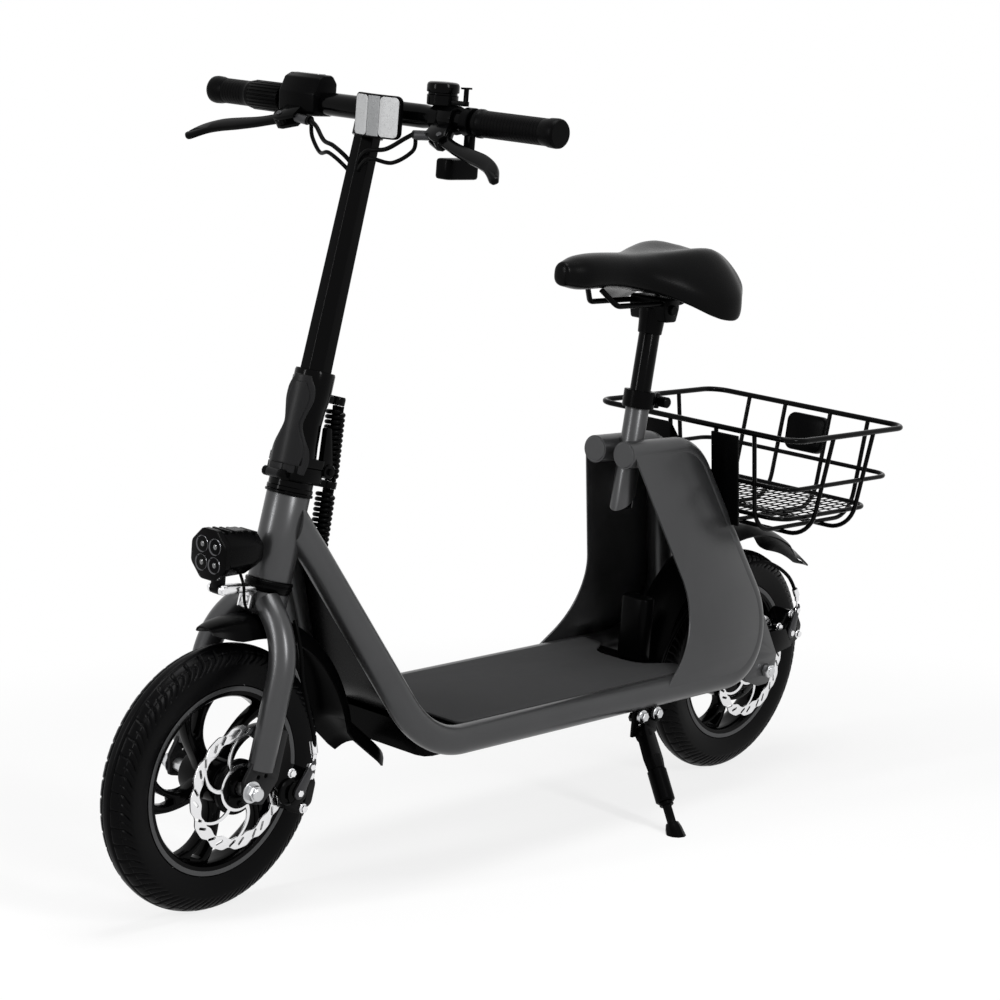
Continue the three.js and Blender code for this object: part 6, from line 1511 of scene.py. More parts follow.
@dataclass
class Handlebar(Assembly):
    """The bar with its grips, throttle, levers, bell, switch and reflector."""

    half_length: float = 262
    radius: float = 11.1
    centre_radius: float = 13
    centre_half: float = 72
    pivot: Vector = at(34, 124, 0)
    blade_reach: float = 48
    blade_length: float = 112
    reflector_half: float = 34
    reflector_low: float = -27
    reflector_high: float = 20
    reflector_back: float = 27.4
    reflector_bow: float = 7
    reflector_y: float = 32

    def _grip(self, inner: float) -> Form:
        """A moulded grip with end bands, open towards the middle.

        Args:
            inner: where its inner end lies on the bar.
        Returns:
            The left grip.
        """
        profile = [(11.8, 255), (11.8, inner), (14.6, inner), (15.6, inner + 1), (15.6, inner + 5),
                   (15.0, inner + 6), (14.6, inner + 9), (14.5, inner + 12)]
        along = inner + 14
        while along < 247:
            profile += [(14.5, along), (14.2, along + 0.5), (14.2, along + 1.2), (14.5, along + 1.7)]
            along += 4.6
        profile += [(14.6, 250), (15.6, 254), (15.9, 262), (15.4, 265.4), (14.2, 267), (0, 267)]
        return Form.turned(profile, 64)

    def bar(self) -> None:
        """The bar and its clamp on the stem."""
        half, mid = self.half_length, self.centre_half
        profile = [(0, -half), (self.radius, -half), (self.radius, -mid - 16), (self.centre_radius, -mid),
                   (self.centre_radius, mid), (self.radius, mid + 16), (self.radius, half), (0, half)]
        self.fit("swaged_bar", Form.turned(profile, 56), ON_BARS, GLOSS, "handlebar", 40)
        clamp = Form.turned([(13.1, -17), (16.4, -17), (17, -16.2), (17, 16.2), (16.4, 17), (13.1, 17)], 56)
        for side in (1, -1):
            clamp.join(Form.bar((-9, side * 11, -16), (-9, side * 11, 16), 3.2, 16, 0.5))
        self.fit("bar_clamp", clamp, ON_BARS, SATIN)

    def grips(self) -> None:
        """Both grips, the ribbed twist throttle and its housing."""
        self.fit("left_moulded_grip", self._grip(152), ON_BARS, SOFT_BLACK, "left_grip", 30)
        self.fit("right_moulded_grip", self._grip(196.6).mirrored(), ON_BARS, SOFT_BLACK, "right_grip", 30)
        ring = []
        for i in range(24 * 6):
            ring.append(polar(17 - 1.2 * max(0, sin(i / 6 * TAU)) ** 0.5, i / (24 * 6) * TAU))
        twist = Form.plate(ring, 49, 0.6, [circle(12, 40)]).on_edge(-171.5)
        self.fit("ribbed_twist", twist, (Place.BARS, "twist"), SOFT_BLACK, "throttle_twist", 30)
        hump = rounded([(-17, -15), (19, -15), (20, 10), (12, 27), (4, 31), (-10, 31), (-17, 22)],
                       [7, 7, 6, 5, 4, 5, 6], 5, True)
        housing = Form.plate(hump, 58, 3.4).on_edge(-111)
        housing.join(Form.turned([(12, -140), (17.4, -140), (17.8, -139), (17.8, -134), (12, -134)], 48))
        self.fit("throttle_shell", housing, ON_BARS, PLASTIC, "throttle_housing", 30)
        face = Form.block((-9, -130, 29.8), (3, -94, 31.7), 0.8)
        self.fit("display_window", face, ON_BARS, LAMP_GLASS)

    def _on_blade(self, reach: float, length: float) -> Vector:
        """A point of a lever's blade, from shares of its reach and its length."""
        return at(self.pivot.x + reach * self.blade_reach, self.pivot.y + length * self.blade_length)

    def levers(self) -> None:
        """The levers and their perches."""
        for side, name in SIDES:
            self.refine(f"{name}_lever_perch", "stem", GLOSS, 1.1)
            places = ((-0.06, -0.03), (0.2, 0.24), (0.36, 0.48), (0.5, 0.7), (0.7, 0.87), (1, 1))
            route = smooth_route([self._on_blade(*place) for place in places], 40)
            near, far = [], []
            for i, (p, way) in enumerate(zip(route, headings(route))):
                half = smooth_shares([7.5, 6.6, 7.4, 8.4, 8.6, 8.0, 7.2, 5.4], i / 40)
                near.append(p + at(-way.y, way.x) * half)
                far.append(p - at(-way.y, way.x) * half)
            reach = at(1.5, 5.5)
            tip = rounded([near[-1], near[-1] + reach, far[-1] + reach, far[-1]], [0, 4, 4, 0], 5)
            blade = Form.plate(near[:-1] + tip + far[:-1][::-1], 7.4, 2.6)
            up = at(0, 0, 1)
            blade.join(Form.bar(self.pivot - up * 3.7, self.pivot + up * 3.7, 9, 28, 0.8))
            self.fit(f"{name}_brake_blade", blade.on_side(side), (Place.CONTROLS, f"{name}_lever"), GLOSS,
                     f"{name}_brake_lever", 40)
            pin = Form.bar(self.pivot - up * 9.6, self.pivot + up * 9.6, 3.4, 20, 0.5)
            barrel = Form.bar((29, 104, 0), (31.4, 84, 0), 5.2, 24, 0.7)
            self.fit(f"{name}_lever_pin", pin.join(barrel).on_side(side), (Place.CONTROLS, "stem"), DARK_STEEL)

    def bell(self) -> None:
        """The bell's dome on its clamp, with the striker."""
        dome = [(0, 14), (15.6, 14), (17, 15), (17.2, 25), (16, 25.8), (16, 27.4), (17.5, 28.2), (17.8, 29),
                (17.8, 35.5), (16.8, 37.8), (14.6, 39), (8, 39.5), (0, 39.6)]
        form = Form.turned(dome, 56, "Z").move(y=96)
        form.join(Form.bar((0, 96, 12), (0, 96, 24), 4.4, 24, 0.4))
        ring = [(11.7, -6), (15.4, -6), (15.9, -5.4), (15.9, 5.4), (15.4, 6), (11.7, 6)]
        form.join(Form.turned(ring, 48).move(y=96))
        form.join(Form.block((-22, 91, -3.5), (-14, 101, 3.5), 0.8))
        self.fit("bell_dome", form, ON_BARS, GLOSS, "bell")
        self.refine("bell_lever", "bell_arm", PLASTIC, 0.7)

    def switch(self) -> None:
        """The switch box, hung from a slim clamp, and its button."""
        ring = Form.turned([(11.5, 134.5), (15, 134.5), (15.6, 135.2), (15.6, 144.8), (15, 145.5),
                            (11.5, 145.5)], 48)
        strap = Form.block((-4.5, 135, -45), (5, 145, -12), 2)
        box = rounded([(-12, -12), (38, -12), (38, 11), (-12, 11)], 7, 6, True)
        shell = Form.plate(box, 22, 3).move(y=137.3, z=-50)
        self.fit("switch_shell", ring.join(strap, shell), ON_BARS, PLASTIC, "switch_box")
        self.refine("switch_button", "button", SOFT_BLACK, 0.5)

    def _panel(self, low: float, high: float, margin: float, lift: float, thick: float,
               corner: float) -> Form:
        """A bowed rectangle of the reflector.

        Args:
            low: its right edge, as a share of the reflector's half width.
            high: its left edge, as such a share.
            margin: how far it stays inside the top and the bottom.
            lift: how far it stands out.
            thick: its thickness.
            corner: the radius of its corners.
        Returns:
            The rectangle.
        """
        half, bottom, top = self.reflector_half, self.reflector_low + margin, self.reflector_high - margin
        corners = [(low * half, bottom), (high * half, bottom), (high * half, top), (low * half, top)]
        form = Form.plate(rounded(corners, corner, 6, True), thick, min(0.6, thick * 0.3))
        form.sliced(range(-28, 29, 7)).on_edge().turn(QUARTER, "Z")

        def bow(p: Vector) -> Vector:
            """Carry a point forward onto the bow."""
            return at(self.reflector_back + lift + self.reflector_bow * (1 - (p.y / half) ** 2), 0, 0)

        return form.push(bow).move(y=self.reflector_y)

    def reflector(self) -> None:
        """The bowed front reflector: three bands in a dark frame."""
        self.fit("reflector_frame", self._panel(-1, 1, 0, 3.2, 5, 7), ON_BARS, PLASTIC, "front_reflector", 40)
        bands = self._panel(-0.95, -0.27, 1.8, 5.4, 1.6, 5).join(self._panel(0.27, 0.95, 1.8, 5.4, 1.6, 5))
        self.fit("reflector_side_bands", bands, ON_BARS, LENS, angle=40)
        self.fit("reflector_middle_band", self._panel(-0.26, 0.26, 1.8, 5.3, 1.6, 0.4), ON_BARS,
                 LENS_DARK, angle=40)
        arm = Form.block((12, 24, -7), (self.reflector_back + 3, 38, 7), 1.5)
        self.fit("reflector_arm", arm, ON_BARS, PLASTIC)

    def build(self) -> None:
        """Make the whole bar."""
        self.bar()
        self.grips()
        self.levers()
        self.bell()
        self.switch()
        self.reflector()


# Cables

@dataclass
class Cables(Assembly):
    """The looped control cables, the brake cables and the wrapped bundle."""

    bundle_radius: float = 11.6
    wire: float = 2.6
    pitch: float = 5.9

    def _helix(self, top: Vector, bottom: Vector) -> list[Vector]:
        """The middle line of the wrap between two points of the machine's middle plane.

        Args:
            top: its upper end.
            bottom: its lower end.
        Returns:
            Its points, with a straight lead at each end.
        """
        way = (bottom - top).normalized()
        across, length = at(0, 1, 0), (bottom - top).length
        other = way.cross(across)
        lead = 2 * self.wire
        curls = round((length - 2 * lead) / self.pitch)
        radius, steps = self.bundle_radius - self.wire, 24
        points = []
        for i in range(curls * steps + 1):
            share = i / (curls * steps)
            angle = share * curls * TAU
            points.append(top + way * mix(lead, length - lead, share)
                          + across * (radius * cos(angle)) + other * (radius * sin(angle)))
        return [points[0] - way * lead, *points, points[-1] + way * lead]

    def wraps(self) -> None:
        """The spiral wrap above and below its clip, with the cables that it holds."""
        matrix = self.layout.matrix(Place.STEERING)
        spans = (("upper", at(-44, 0, 425.6), at(-57, 0, 341.4), "stem", "fork"),
                 ("lower", at(-57, 0, 332.6), at(-65, 0, 257.4), "fork", "frame"))
        for name, top, bottom, first, second in spans:
            way = (bottom - top).normalized()
            ends = [matrix @ (top + way * 8), matrix @ (bottom - way * 8)]
            wrap = Form.tube(self._helix(top, bottom), self.wire, 10)
            self.fit(f"{name}_spiral_wrap", wrap, (Place.STEERING, first), PLASTIC,
                     f"{name}_cable_wrap", 40, blend=(second, *ends))
            inner = Form()
            for i in range(3):
                shift = polar(2.7, i / 3 * TAU)
                inner.join(Form.tube([top.lerp(bottom, s) + shift for s in shares(24)], 2.3, 12))
            self.fit(f"{name}_bundled_cables", inner, (Place.STEERING, first), SOFT_BLACK, "", 40,
                     blend=(second, *ends))

    def loops(self) -> None:
        """The control cables from each lever to the stem, and both brake cables."""
        form = Form()
        for side in (1, -1):
            start, end = at(25, side * 79, -19), at(24, -side * 3, -74)
            upper = [start, (26, side * 68, -25), (33, side * 48, -38), (39, side * 26, -42),
                     (33, side * 8, -55), end]
            lower = [start + at(-3, side * 2, -3), (22, side * 78, -37), (30, side * 56, -52),
                     (40, side * 32, -50), (35, side * 12, -62), end + at(1, side * 3, -4)]
            form.join(Form.tube(smooth_route(upper, 60), 2.5, 16),
                      Form.tube(smooth_route(lower, 60), 2.3, 16))
        self.fit("looped_control_cables", form, ON_BARS, SOFT_BLACK, "control_cables", 40)
        front = [(-22, 30, 184), (-25, 36, 170), (-31, 42, 148), (-38, 47, 120), (-47, 55, 92),
                 (-58, 62, 62), (-64, 64, 42)]
        self.fit("front_cable_hose", Form.tube(smooth_route(front, 60), 2.5, 16), ON_FORK,
                 SOFT_BLACK, "front_brake_cable", 40)
        rear = [(-738, 48, 186), (-752, 47, 212), (-790, 45, 252), (-840, 43, 282), (-895, 45, 296),
                (-945, 52, 297), (-985, 60, 276), (-1006, 64, 246)]
        self.fit("rear_cable_hose", Form.tube(smooth_route(rear, 80), 2.5, 16), ON_FRAME,
                 SOFT_BLACK, "rear_brake_cable", 40)

    def pulls(self) -> None:
        """The bare pull wire and the barrel at each hose's lower end."""
        front = at(-61, 60, 56), at(-64, 64, 42), at(-63.7, 65, 24)
        rear = at(-1001, 63, 256), at(-1006, 64, 246), at(-1009.6, 65, 221)
        for name, place, body, points in (("front", Place.STEERING, "fork", front),
                                          ("rear", Place.UPRIGHT, "frame", rear)):
            first, second, last = points
            pull = Form.bar(second, last, 1.1, 12)
            pull.join(Form.bar(first, second, 4.2, 24, 0.6),
                      Form.bar(second, second.lerp(last, 0.3), 3, 20, 0.5))
            self.fit(f"{name}_pull_wire", pull, (place, body), STEEL)

    def build(self) -> None:
        """Make every cable."""
        self.pulls()
        self.wraps()
        self.loops()


# Brakes, lamp and stand

@dataclass
class Fittings(Assembly):
    """The calipers, the lamp and the side stand."""

    lamp_radius: float = 29.5
    lamp_rise: float = 40

    def calipers(self) -> None:
        """Both calipers with their arms."""
        for name, body, arm, place, turn in (
                ("front", "fork", "front_arm", Place.FRONT_CALIPER, 70),
                ("rear", "frame", "rear_arm", Place.REAR_CALIPER, 40)):
            self.refine(f"{name}_caliper", body, GLOSS, 1.2)
            self.refine(f"{name}_caliper_arm", arm, DARK_STEEL, 0.6)
            bolts, relief = Form(), Form()
            for x, z in ((92, 19), (92, -19), (62, -21)):
                bolts.join(Form.bar((x, 57.5, z), (x, 62.5, z), 4.4, 6, 0.6),
                           Form.bar((x, 57.5, z), (x, 59, z), 5.6, 24, 0.3))
            bolts.join(Form.bar((74.6, 64, 0), (74.6, 68, 0), 4.2, 6, 0.5))
            self.fit(f"{name}_caliper_bolts", bolts, (place, body), STEEL)
            relief.join(Form.turned([(8, 57), (14.4, 57), (15.4, 58), (15.4, 61), (14, 62), (12.6, 62),
                                     (12.6, 60.6), (8, 60.6)], 40).move(x=62))
            for x in (78, 84, 90):
                relief.join(Form.block((x, 57, -12), (x + 2.4, 60.4, 12), 0.6))
            self.fit(f"{name}_caliper_ribs", relief, (place, body), SATIN)
            pinch = Form.bar((32, -3, 0), (32, 5.5, 0), 3.8, 6, 0.5).join(
                Form.bar((32, 1.7, 0), (32, 3, 0), 5.2, 24, 0.3))
            pinch.turn(radians(turn), "Y").move(74.6, 62.3, 0)
            self.fit(f"{name}_pinch_bolt", pinch, (place, arm), STEEL)
        self.refine("rear_axle", "frame", ZINC, 0.7)

    def lamp(self) -> None:
        """The finned lamp with its four lenses, on a bent strap."""
        rise, xs = self.lamp_rise, [17, 16, 10, 6, -28, -47, -48]
        sizes = [0.93, 1.0, 1.0, 0.9, 0.88, 0.66, 0.6]
        rings = []
        for x, size in zip(xs, sizes):
            corners = [polar(self.lamp_radius * size * 1.035, (i + 0.5) / 8 * TAU) for i in range(8)]
            ring = rounded(corners, self.lamp_radius * size * 0.3, 4, True)
            rings.append([at(x, p.x, rise + p.y) for p in ring])
        form = Form.lofted(rings)
        for i in range(5):
            x = mix(-40, 0, i / 4)
            form.join(Form.block((x - 1.8, -13, rise + 14), (x + 1.8, 13, rise + mix(22, 27, i / 4)), 0.6))
        form.join(Form.block((-6, -6, 0), (6, 6, rise - 20), 1.4),
                  Form.bar((0, -6, 0), (0, 6, 0), 6, 28, 0.8))
        self.fit("lamp_body", form, (Place.LAMP, "lamp"), SATIN, "headlight", 30)
        cups, glass = Form(), Form()
        for y, z in ((-10.2, 10.2), (10.2, 10.2), (-10.2, -10.2), (10.2, -10.2)):
            cup = Form.turned([(0, -7), (3, -6.4), (6, -3.6), (8.2, 0.6), (9.2, 1.4), (9.6, 1.0),
                               (9.6, -2)], 32)
            cups.join(cup.turn(-QUARTER, "Z").move(x=16.6, y=y, z=rise + z))
            dome = Form.turned([(0, 3.6), (2.4, 3.2), (4.2, 1.8), (5, 0), (4.4, -3), (0, -3.6)], 28)
            glass.join(dome.turn(-QUARTER, "Z").move(x=14.2, y=y, z=rise + z))
        self.fit("lamp_cups", cups, (Place.LAMP, "lamp"), MIRROR, "", 50)
        self.fit("lamp_lenses", glass, (Place.LAMP, "lamp"), LAMP_GLASS, "", 60)
        strap = rounded([(25.6, 187.5), (32, 187.5), (32, 203), (37, 206), (69, 199.5), (80, 198.5),
                         (81.5, 205), (79, 210.5), (69, 208), (37, 212.5), (25.6, 212)],
                        [0, 1, 4, 4, 2, 4, 4, 4, 2, 4, 3], 5, True)
        arms = Form.block((25.6, -9.5, 187.5), (28, 9.5, 207), 0.3)
        for side in (1, -1):
            arms.join(Form.plate(strap, 2.2, 0.3).on_edge(side * 8.4))
            arms.join(Form.bar((75, side * 9.5, 204.3), (75, side * 13.5, 204.3), 4.6, 6, 0.6),
                      Form.bar((75, side * 9.4, 204.3), (75, side * 10.6, 204.3), 5.8, 24, 0.3))
        arms.join(Form.bar((75, -9, 204.3), (75, 9, 204.3), 2.6, 16),
                  Form.bar((28, 0, 197), (32.5, 0, 197), 5.2, 6, 0.6),
                  Form.bar((28, 0, 197), (29.4, 0, 197), 6.6, 24, 0.3))
        self.fit("lamp_strap", arms, ON_FORK, STEEL, "light_bracket", 36)
        lead = smooth_route([(52, 6, 224), (50, 13, 212), (47, 16, 196), (38, 15, 186),
                             (28, 10, 184)], 30)
        frame = self.layout.matrix(Place.STEERING)
        self.fit("lamp_lead", Form.tube(lead, 1.7, 12), ON_FORK, SOFT_BLACK,
                 blend=("lamp", frame @ lead[-8], frame @ lead[0]))

    def stand(self) -> None:
        """The side stand and its bracket."""
        self.refine("kickstand_bracket", "frame", SATIN, 0.8)
        self.refine("kickstand_leg", "stand", SATIN, 1.0)
        bolts = Form()
        for x in (-654.4, -625.6):
            head = at(x, 107, 147.6)
            bolts.join(Form.bar(head, head + at(0, 9, 0), 6.2, 6, 0.8),
                       Form.bar(head, head + at(0, 4.4, 0), 8.4, 28, 0.5))
        self.fit("stand_bolts", bolts, ON_FRAME, ZINC)
        leg = at(30, 83, -104)
        way = leg.normalized()
        plate = rounded([(-11, -12), (11, -12), (13, 34), (8, 60), (-8, 60), (-13, 34)],
                        [10, 10, 12, 6, 6, 12], 6, True)
        across = way.cross(at(0, 1, 0)).normalized()
        turn = Matrix((across, way, across.cross(way)))
        cover = Form.plate(plate, 15, 2).change(turn.transposed().to_4x4())
        cover.join(Form.bar(way * 48, way * 92, 12.4, 28, 2), Form.bar(way * 92, way * 97, 9, 28, 1))
        self.fit("stand_leg_cover", cover.move(-632, 113, 124), (Place.UPRIGHT, "stand"), PLASTIC)

    def build(self) -> None:
        """Make all of them."""
        self.calipers()
        self.lamp()
        self.stand()


# Seat

@dataclass
class Seat(Assembly):
    """The saddle with its post, rails, clamp and seat tube."""

    nose_x: float = -527.5
    length: float = 269
    half_width: float = 96
    top: float = 730
    thickness: float = 60
    fall: float = 22
    droop: float = 44
    notch: float = 12
    radius_shares: tuple[float, ...] = (0.13, 0.25, 0.29, 0.31, 0.34, 0.42, 0.58, 0.77, 0.92, 1, 0.98, 0.8)
    height_shares: tuple[float, ...] = (0.5, 0.68, 0.72, 0.72, 0.74, 0.78, 0.85, 0.93, 1, 1, 0.96, 0.72)
    top_shares: tuple[float, ...] = (0.9, 0.62, 0.5, 0.48, 0.5, 0.52, 0.44, 0.26, 0.1, 0, 0.02, 0.22)
    rail_height: float = 655
    around: int = 48

    def _ring(self, along: float, shrink: float = 1.0) -> list[Vector]:
        """One cross-section of the saddle.

        Args:
            along: its place from the nose to the tail, 0 to 1.
            shrink: a share that the section is drawn in by.
        Returns:
            The points of the section.
        """
        wide = smooth_shares(self.radius_shares, along)
        half = wide * self.half_width * shrink
        thick = smooth_shares(self.height_shares, along) * self.thickness * shrink
        top = self.top - smooth_shares(self.top_shares, along) * self.fall
        top -= smooth_shares(self.height_shares, along) * self.thickness * (1 - shrink) / 2
        points = []
        for i in range(self.around):
            angle = i / self.around * TAU
            across, rise = cos(angle), sin(angle)
            up = copysign(abs(rise) ** 0.75, rise)
            droop = self.droop * wide * wide * abs(across) ** 2.6
            channel = self.notch * 0.95 * wide ** 3 * max(0, 1 - (across / 0.5) ** 2) ** 1.5
            back = self.notch * along ** 6 * (1 - across * across)
            lobe = 7 * wide ** 4 * (1 - abs(abs(across) - 0.55) / 0.55) if up > 0 else 0
            skirt = 9 * wide ** 4 * across ** 4 if up <= 0 else 0
            rise_by = up * thick / 2 - (channel * up if up > 0 else 0) + lobe * abs(up) - skirt
            points.append(at(self.nose_x - along * self.length + back, half * across,
                             top - thick / 2 - droop + rise_by))
        return points

    def saddle(self) -> None:
        """The padded saddle, drawn in to a round at the nose and the tail."""
        rings = [self._ring(0, s) for s in (0.35, 0.7, 0.9)]
        rings += [self._ring(share) for share in shares(40)]
        rings += [self._ring(1, s) for s in (0.95, 0.85, 0.65, 0.35)]
        for k, shift in enumerate((2.6, 1.9, 1.0)):
            rings[k] = [p + at(shift * 1.6, 0, 0) for p in rings[k]]
        for k, shift in enumerate((1.6, 3.2, 4.8, 5.8)):
            rings[-4 + k] = [p + at(-shift, 0, 0) for p in rings[-4 + k]]
        form = Form.lofted(rings)
        piece = self.fit("padded_saddle", form, (Place.UPRIGHT, "seat"), LEATHER, "saddle", 70, rounds=1)

    def post(self) -> None:
        """The post with its clamp and rails, the seat tube and its collar."""
        post = Form.turned([(0, -92), (13.3, -92), (13.5, -91), (13.5, 148), (12.6, 150), (0, 150)], 56, "Z")
        self.fit("seat_post", post, (Place.SEAT, "seat"), GLOSS, "seatpost", 40)
        clamp = Form.turned([(0, 132), (14.6, 132), (15.4, 133), (16.4, 148), (18.4, 158), (18.4, 164),
                             (0, 164)], 40, "Z")
        self.fit("post_head", clamp, (Place.SEAT, "seat"), SATIN)
        low, high = self.rail_height, self.rail_height + 20
        path = rounded([(-592, 11, high), (-612, 22, low), (-742, 22, low), (-762, 28.6, high)], 14, 8)
        rails = Form()
        for side in (1, -1):
            rails.join(Form.tube(path, 3.5, 16).on_side(side))
        layout = self.layout
        head = layout.seat_x - (low - layout.seat_z) * tan(layout.seat_angle)
        shape = [at(head + x, low + z) for x, z in ((-10.5, -24), (10.5, -24), (15, -8), (15, 7), (-15, 7),
                                                    (-15, -8))]
        rails.join(Form.plate(rounded(shape, 4, 4, True), 58, 2).on_edge())
        rails.join(Form.bar((head, -33, low - 8), (head, 33, low - 8), 6.5, 24, 1))
        self.fit("seat_rails", rails, (Place.UPRIGHT, "seat"), SATIN)
        tube = Form.turned([(13.8, -98), (15.2, -98), (15.2, 57.4), (14.8, 58), (13.8, 58)], 56, "Z")
        way = at(-sin(radians(42)), 0, -cos(radians(42)))
        tube.cut(at(0, 0, -84), way)
        self.fit("seat_tube_sleeve", tube, (Place.SEAT, "frame"), PAINT, "seat_tube", 40)
        collar = Form.turned([(15.5, 37), (20, 37), (20.5, 37.6), (20.5, 58.4), (20, 59), (15.5, 59)], 48, "Z")
        for side in (1, -1):
            ear = Form.block((-32, 0.8, 38), (-18, 9.6, 58), 1.2)
            collar.join(ear.on_side(side))
        collar.join(Form.bar((-26.5, -15, 48), (-26.5, 20.6, 48), 3.5, 20, 0.5))
        collar.join(Form.bar((-26.5, 13.3, 48), (-26.5, 27.2, 48), 7, 28, 1.2))
        self.fit("seat_collar", collar, (Place.SEAT, "frame"), SATIN, "seat_clamp", 36)

    def build(self) -> None:
        """Make the whole seat."""
        self.saddle()
        self.post()


# Basket

@dataclass
class Basket(Assembly):
    """The wire basket, its bracket and its reflector."""

    half_width: float = 164
    rim: float = 3.7
    wire: float = 3.0
    depth: float = 132
    base_inset: float = 22
    corner: float = 26
    middle_inset: float = 11.5
    middle_drop: float = 67
    floor_inset: float = 29
    floor_drop: float = 111
    long_wires: tuple[float, ...] = (-100, -38, 38, 100)
    cross_wires: tuple[float, ...] = (-906, -998)

    @property
    def middle(self) -> Vector:
        """The middle of the rim."""
        return at(self.layout.basket_front - self.layout.basket_length / 2, 0, self.layout.basket_top)

    def _ring(self, inset: float, drop: float, radius: float) -> Form:
        """A closed ring of wire.

        Args:
            inset: how far inside the rim it lies.
            drop: how far below the rim it lies.
            radius: the wire's radius.
        Returns:
            The ring.
        """
        half, wide = self.layout.basket_length / 2 - inset, self.half_width - inset
        corners = [self.middle + at(x * half, y * wide, -drop) for x, y in ((1, 1), (-1, 1), (-1, -1), (1, -1))]
        return Form.tube(rounded(corners, self.corner, 8, True), radius, 14, True)

    def _under(self, half: float, low: float = 0) -> Form:
        """A wire from one wall under the floor to the other, in the plane of X and Z.

        Args:
            half: half of its reach at the rim.
            low: how far below the first layer of wires it runs.
        Returns:
            The wire.
        """
        foot, base = half - self.base_inset, -self.depth - low
        line = rounded([(half, 0), (foot, 0, base), (-foot, 0, base), (-half, 0)], 40, 8)
        return Form.tube(line, self.wire, 12).move(z=self.middle.z)

    def _floor(self) -> Form:
        """The mesh floor: thin black wires that leave long openings.

        Returns:
            The mesh.
        """
        form = Form()
        half_x, half_y = self.layout.basket_length / 2 - 36, self.half_width - 36
        bmesh.ops.create_grid(form.bm, x_segments=8, y_segments=26, size=1)
        form.change(Matrix.Diagonal((half_x, half_y, 1, 1)))
        bmesh.ops.wireframe(form.bm, faces=form.bm.faces[:], thickness=1.7, use_replace=True,
                            use_boundary=True, use_even_offset=True, use_relative_offset=False,
                            use_crease=False)
        return form.move(*(self.middle - at(0, 0, self.floor_drop)))

    def build(self) -> None:
        """Make the basket and what is fixed to it."""
        form = self._ring(0, 0, self.rim).join(self._ring(self.middle_inset, self.middle_drop, self.wire),
                                               self._ring(self.floor_inset, self.floor_drop, self.wire))
        for y in self.long_wires:
            form.join(self._under(self.layout.basket_length / 2).move(x=self.middle.x, y=y))
        for x in self.cross_wires:
            form.join(self._under(self.half_width, 2 * self.wire).turn(QUARTER, "Z").move(x=x))
        self.fit("wire_basket", form, ON_FRAME, GLOSS, "basket", 60)
        self.fit("basket_floor", self._floor(), ON_FRAME, SATIN, "", 50)
        self.refine("basket_bracket", "frame", SATIN, 0.8)
        shape = rounded([(-33, -10), (33, -10), (30, -62), (-30, -62)], 12, 8, True)
        tail = Form.plate(shape, 14, 2.4).on_edge().turn(QUARTER, "Z").move(x=-9.2)
        self.fit("tail_reflector", tail, (Place.WALL_REAR, "frame"), PLASTIC, "basket_reflector", 40)
        lens = Form.plate([p * 0.84 + at(0, -6) for p in shape], 1.6, 0.5).on_edge().turn(QUARTER, "Z")
        self.fit("tail_reflector_lens", lens.move(x=-16.6), (Place.WALL_REAR, "frame"), TAIL_LENS)


# Studio

@dataclass(frozen=True)
class Softbox:
    """A soft light over the machine: its place, its two sides in metres and its power in watts."""

    name: str
    place: Vector
    size: tuple[float, float]
    power: float


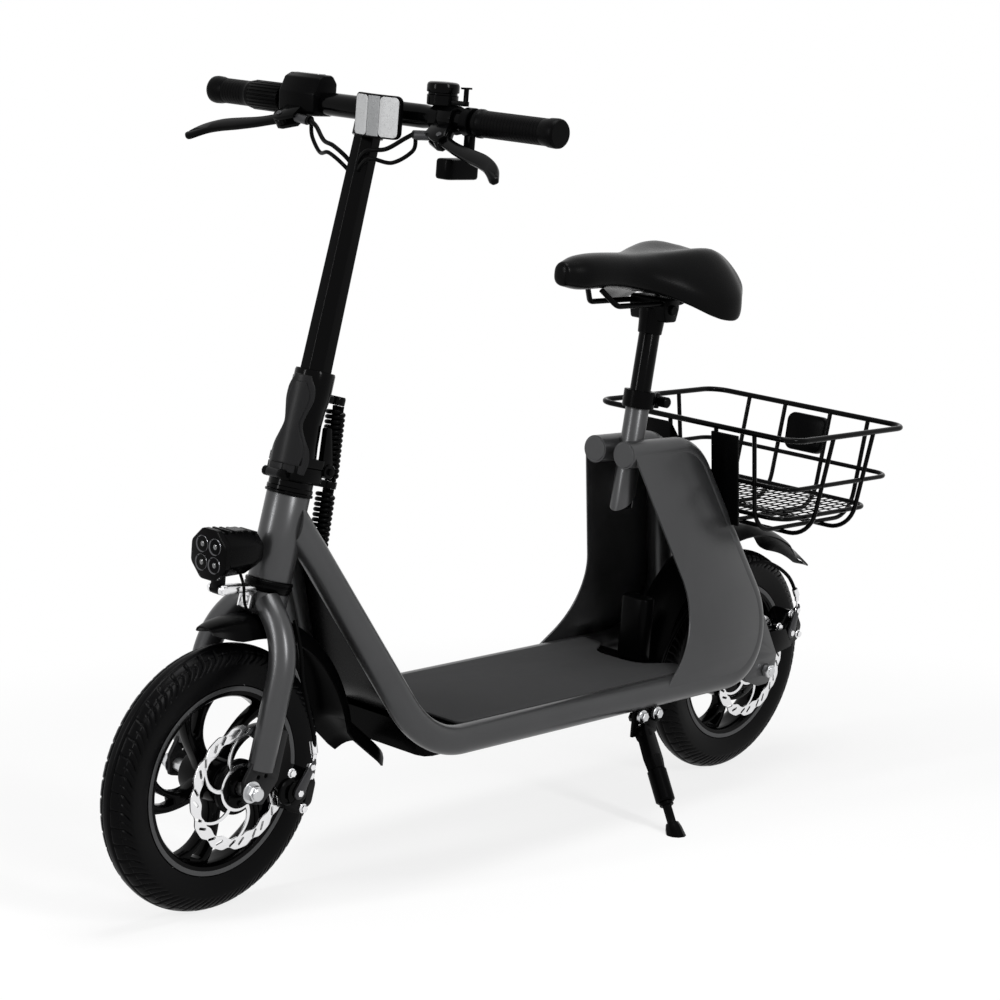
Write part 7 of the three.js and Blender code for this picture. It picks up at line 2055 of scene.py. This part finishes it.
@dataclass(frozen=True)
class Studio:
    """The camera, the pale floor and the soft lights, in metres of the shared frame."""

    eye: tuple[float, float, float] = (2.36834, 2.03522, 0.82384)
    yaw: float = radians(221.745)
    pitch: float = radians(-7.353)
    lens: float = 93.73
    sensor: float = 36
    ambient: float = 0.16
    floor_color: float = 0.98
    floor_radius: float = 60
    floor_glow: float = 0.8
    glow_start: float = 0.7
    glow_end: float = 1.45
    aim: Vector = at(0, 0, 0.4)
    boxes: tuple[Softbox, ...] = (Softbox("key", at(0.7, 2.9, 2.0), (0.3, 1.5), 60),
                                  Softbox("rim", at(2.9, -0.7, 1.6), (0.26, 1.5), 34),
                                  Softbox("top", at(0.2, 0.3, 3.0), (1.3, 1.3), 46))

    @staticmethod
    def _stand(name: str, data: Any, place: Sequence[float], look: Vector) -> bpy.types.Object:
        """Stand a camera or a light in the scene.

        Args:
            name: its name.
            data: the camera or the light.
            place: where it stands.
            look: the way it looks.
        Returns:
            The object.
        """
        holder = bpy.data.objects.new(name, data)
        holder.location = place
        holder.rotation_euler = look.to_track_quat("-Z", "Y").to_euler()
        bpy.context.scene.collection.objects.link(holder)
        return holder

    def camera(self) -> None:
        """Stand the camera where the photograph was taken."""
        lens = bpy.data.cameras.new("camera")
        lens.lens, lens.sensor_width, lens.clip_end = self.lens, self.sensor, 200
        level = cos(self.pitch)
        look = at(cos(self.yaw) * level, sin(self.yaw) * level, sin(self.pitch))
        bpy.context.scene.camera = self._stand("camera", lens, self.eye, look)

    @staticmethod
    def _seen(tree: Tree) -> Signal:
        """Mark the rays that show the backdrop: from the camera, from gloss and through glass.

        Args:
            tree: the nodes that ask for it.
        Returns:
            1 on those rays, and 0 on all others.
        """
        camera, gloss, glass = (tree.node("ShaderNodeLightPath", {}, {}, f"Is {kind} Ray")
                                for kind in ("Camera", "Glossy", "Transmission"))
        return (camera + gloss + glass).above(0.5)

    def floor(self) -> None:
        """A wide pale floor that keeps the shadow."""
        form = Form()
        bmesh.ops.create_circle(form.bm, segments=96, radius=self.floor_radius, cap_ends=True)
        mesh = form.mesh("floor")
        tree = Tree(material := bpy.data.materials.new("pale_floor"))
        lit = tree.node("ShaderNodeBsdfDiffuse", {}, {"Color": (*[self.floor_color] * 3, 1)})
        white = tree.node("ShaderNodeEmission", {}, {"Color": (1, 1, 1, 1), "Strength": 1.0})
        reach = tree.node("ShaderNodeVectorMath", {"operation": "LENGTH"},
                          {0: tree.node("ShaderNodeTexCoord", {}, {}, "Object")}, "Value")
        far = reach.between(self.glow_start, self.glow_end)
        share = self._seen(tree) * (far * (1 - self.floor_glow) + self.floor_glow)
        tree.surface(tree.node("ShaderNodeMixShader", {}, {0: share, 1: lit, 2: white}))
        mesh.materials.append(material)
        floor = bpy.data.objects.new("floor", mesh)
        bpy.context.scene.collection.objects.link(floor)

    def light(self) -> None:
        """An even white surround and the soft boxes."""
        bpy.context.scene.world = bpy.data.worlds.new("surround")
        tree = Tree(bpy.context.scene.world)
        strength = self._seen(tree) * (1 - self.ambient) + self.ambient
        tree.surface(tree.node("ShaderNodeBackground", {}, {"Color": (1, 1, 1, 1), "Strength": strength}))
        for box in self.boxes:
            lamp = bpy.data.lights.new(box.name, "AREA")
            lamp.shape, lamp.energy = "RECTANGLE", box.power
            lamp.size, lamp.size_y = box.size
            self._stand(box.name, lamp, box.place, self.aim - box.place)

    def build(self) -> None:
        """Set the whole studio."""
        self.camera()
        self.floor()
        self.light()
        bpy.context.scene.view_settings.view_transform = "Standard"


def main() -> None:
    """Build the machine on its frame, piece by piece."""
    logging.basicConfig(level=logging.INFO, format="%(message)s")
    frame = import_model()
    Studio().build()
    shop = Workshop(frame)
    parts = [Wheel(shop, "front", (Place.FRONT_HUB, "front_wheel"), hub_radius=26, hub_half=29),
             Wheel(shop, "rear", (Place.REAR_HUB, "rear_wheel"), hub_radius=53, hub_half=31, motor=True)]
    parts += [kind(shop) for kind in (TubeFrame, Fork, Fenders, Fold, Handlebar, Cables, Fittings, Seat,
                                      Basket)]
    for part in parts:
        part.build()
        log.info("%s done", type(part).__name__)
    log.info("%d pieces", shop.count)


if __name__ == "__main__":
    main()
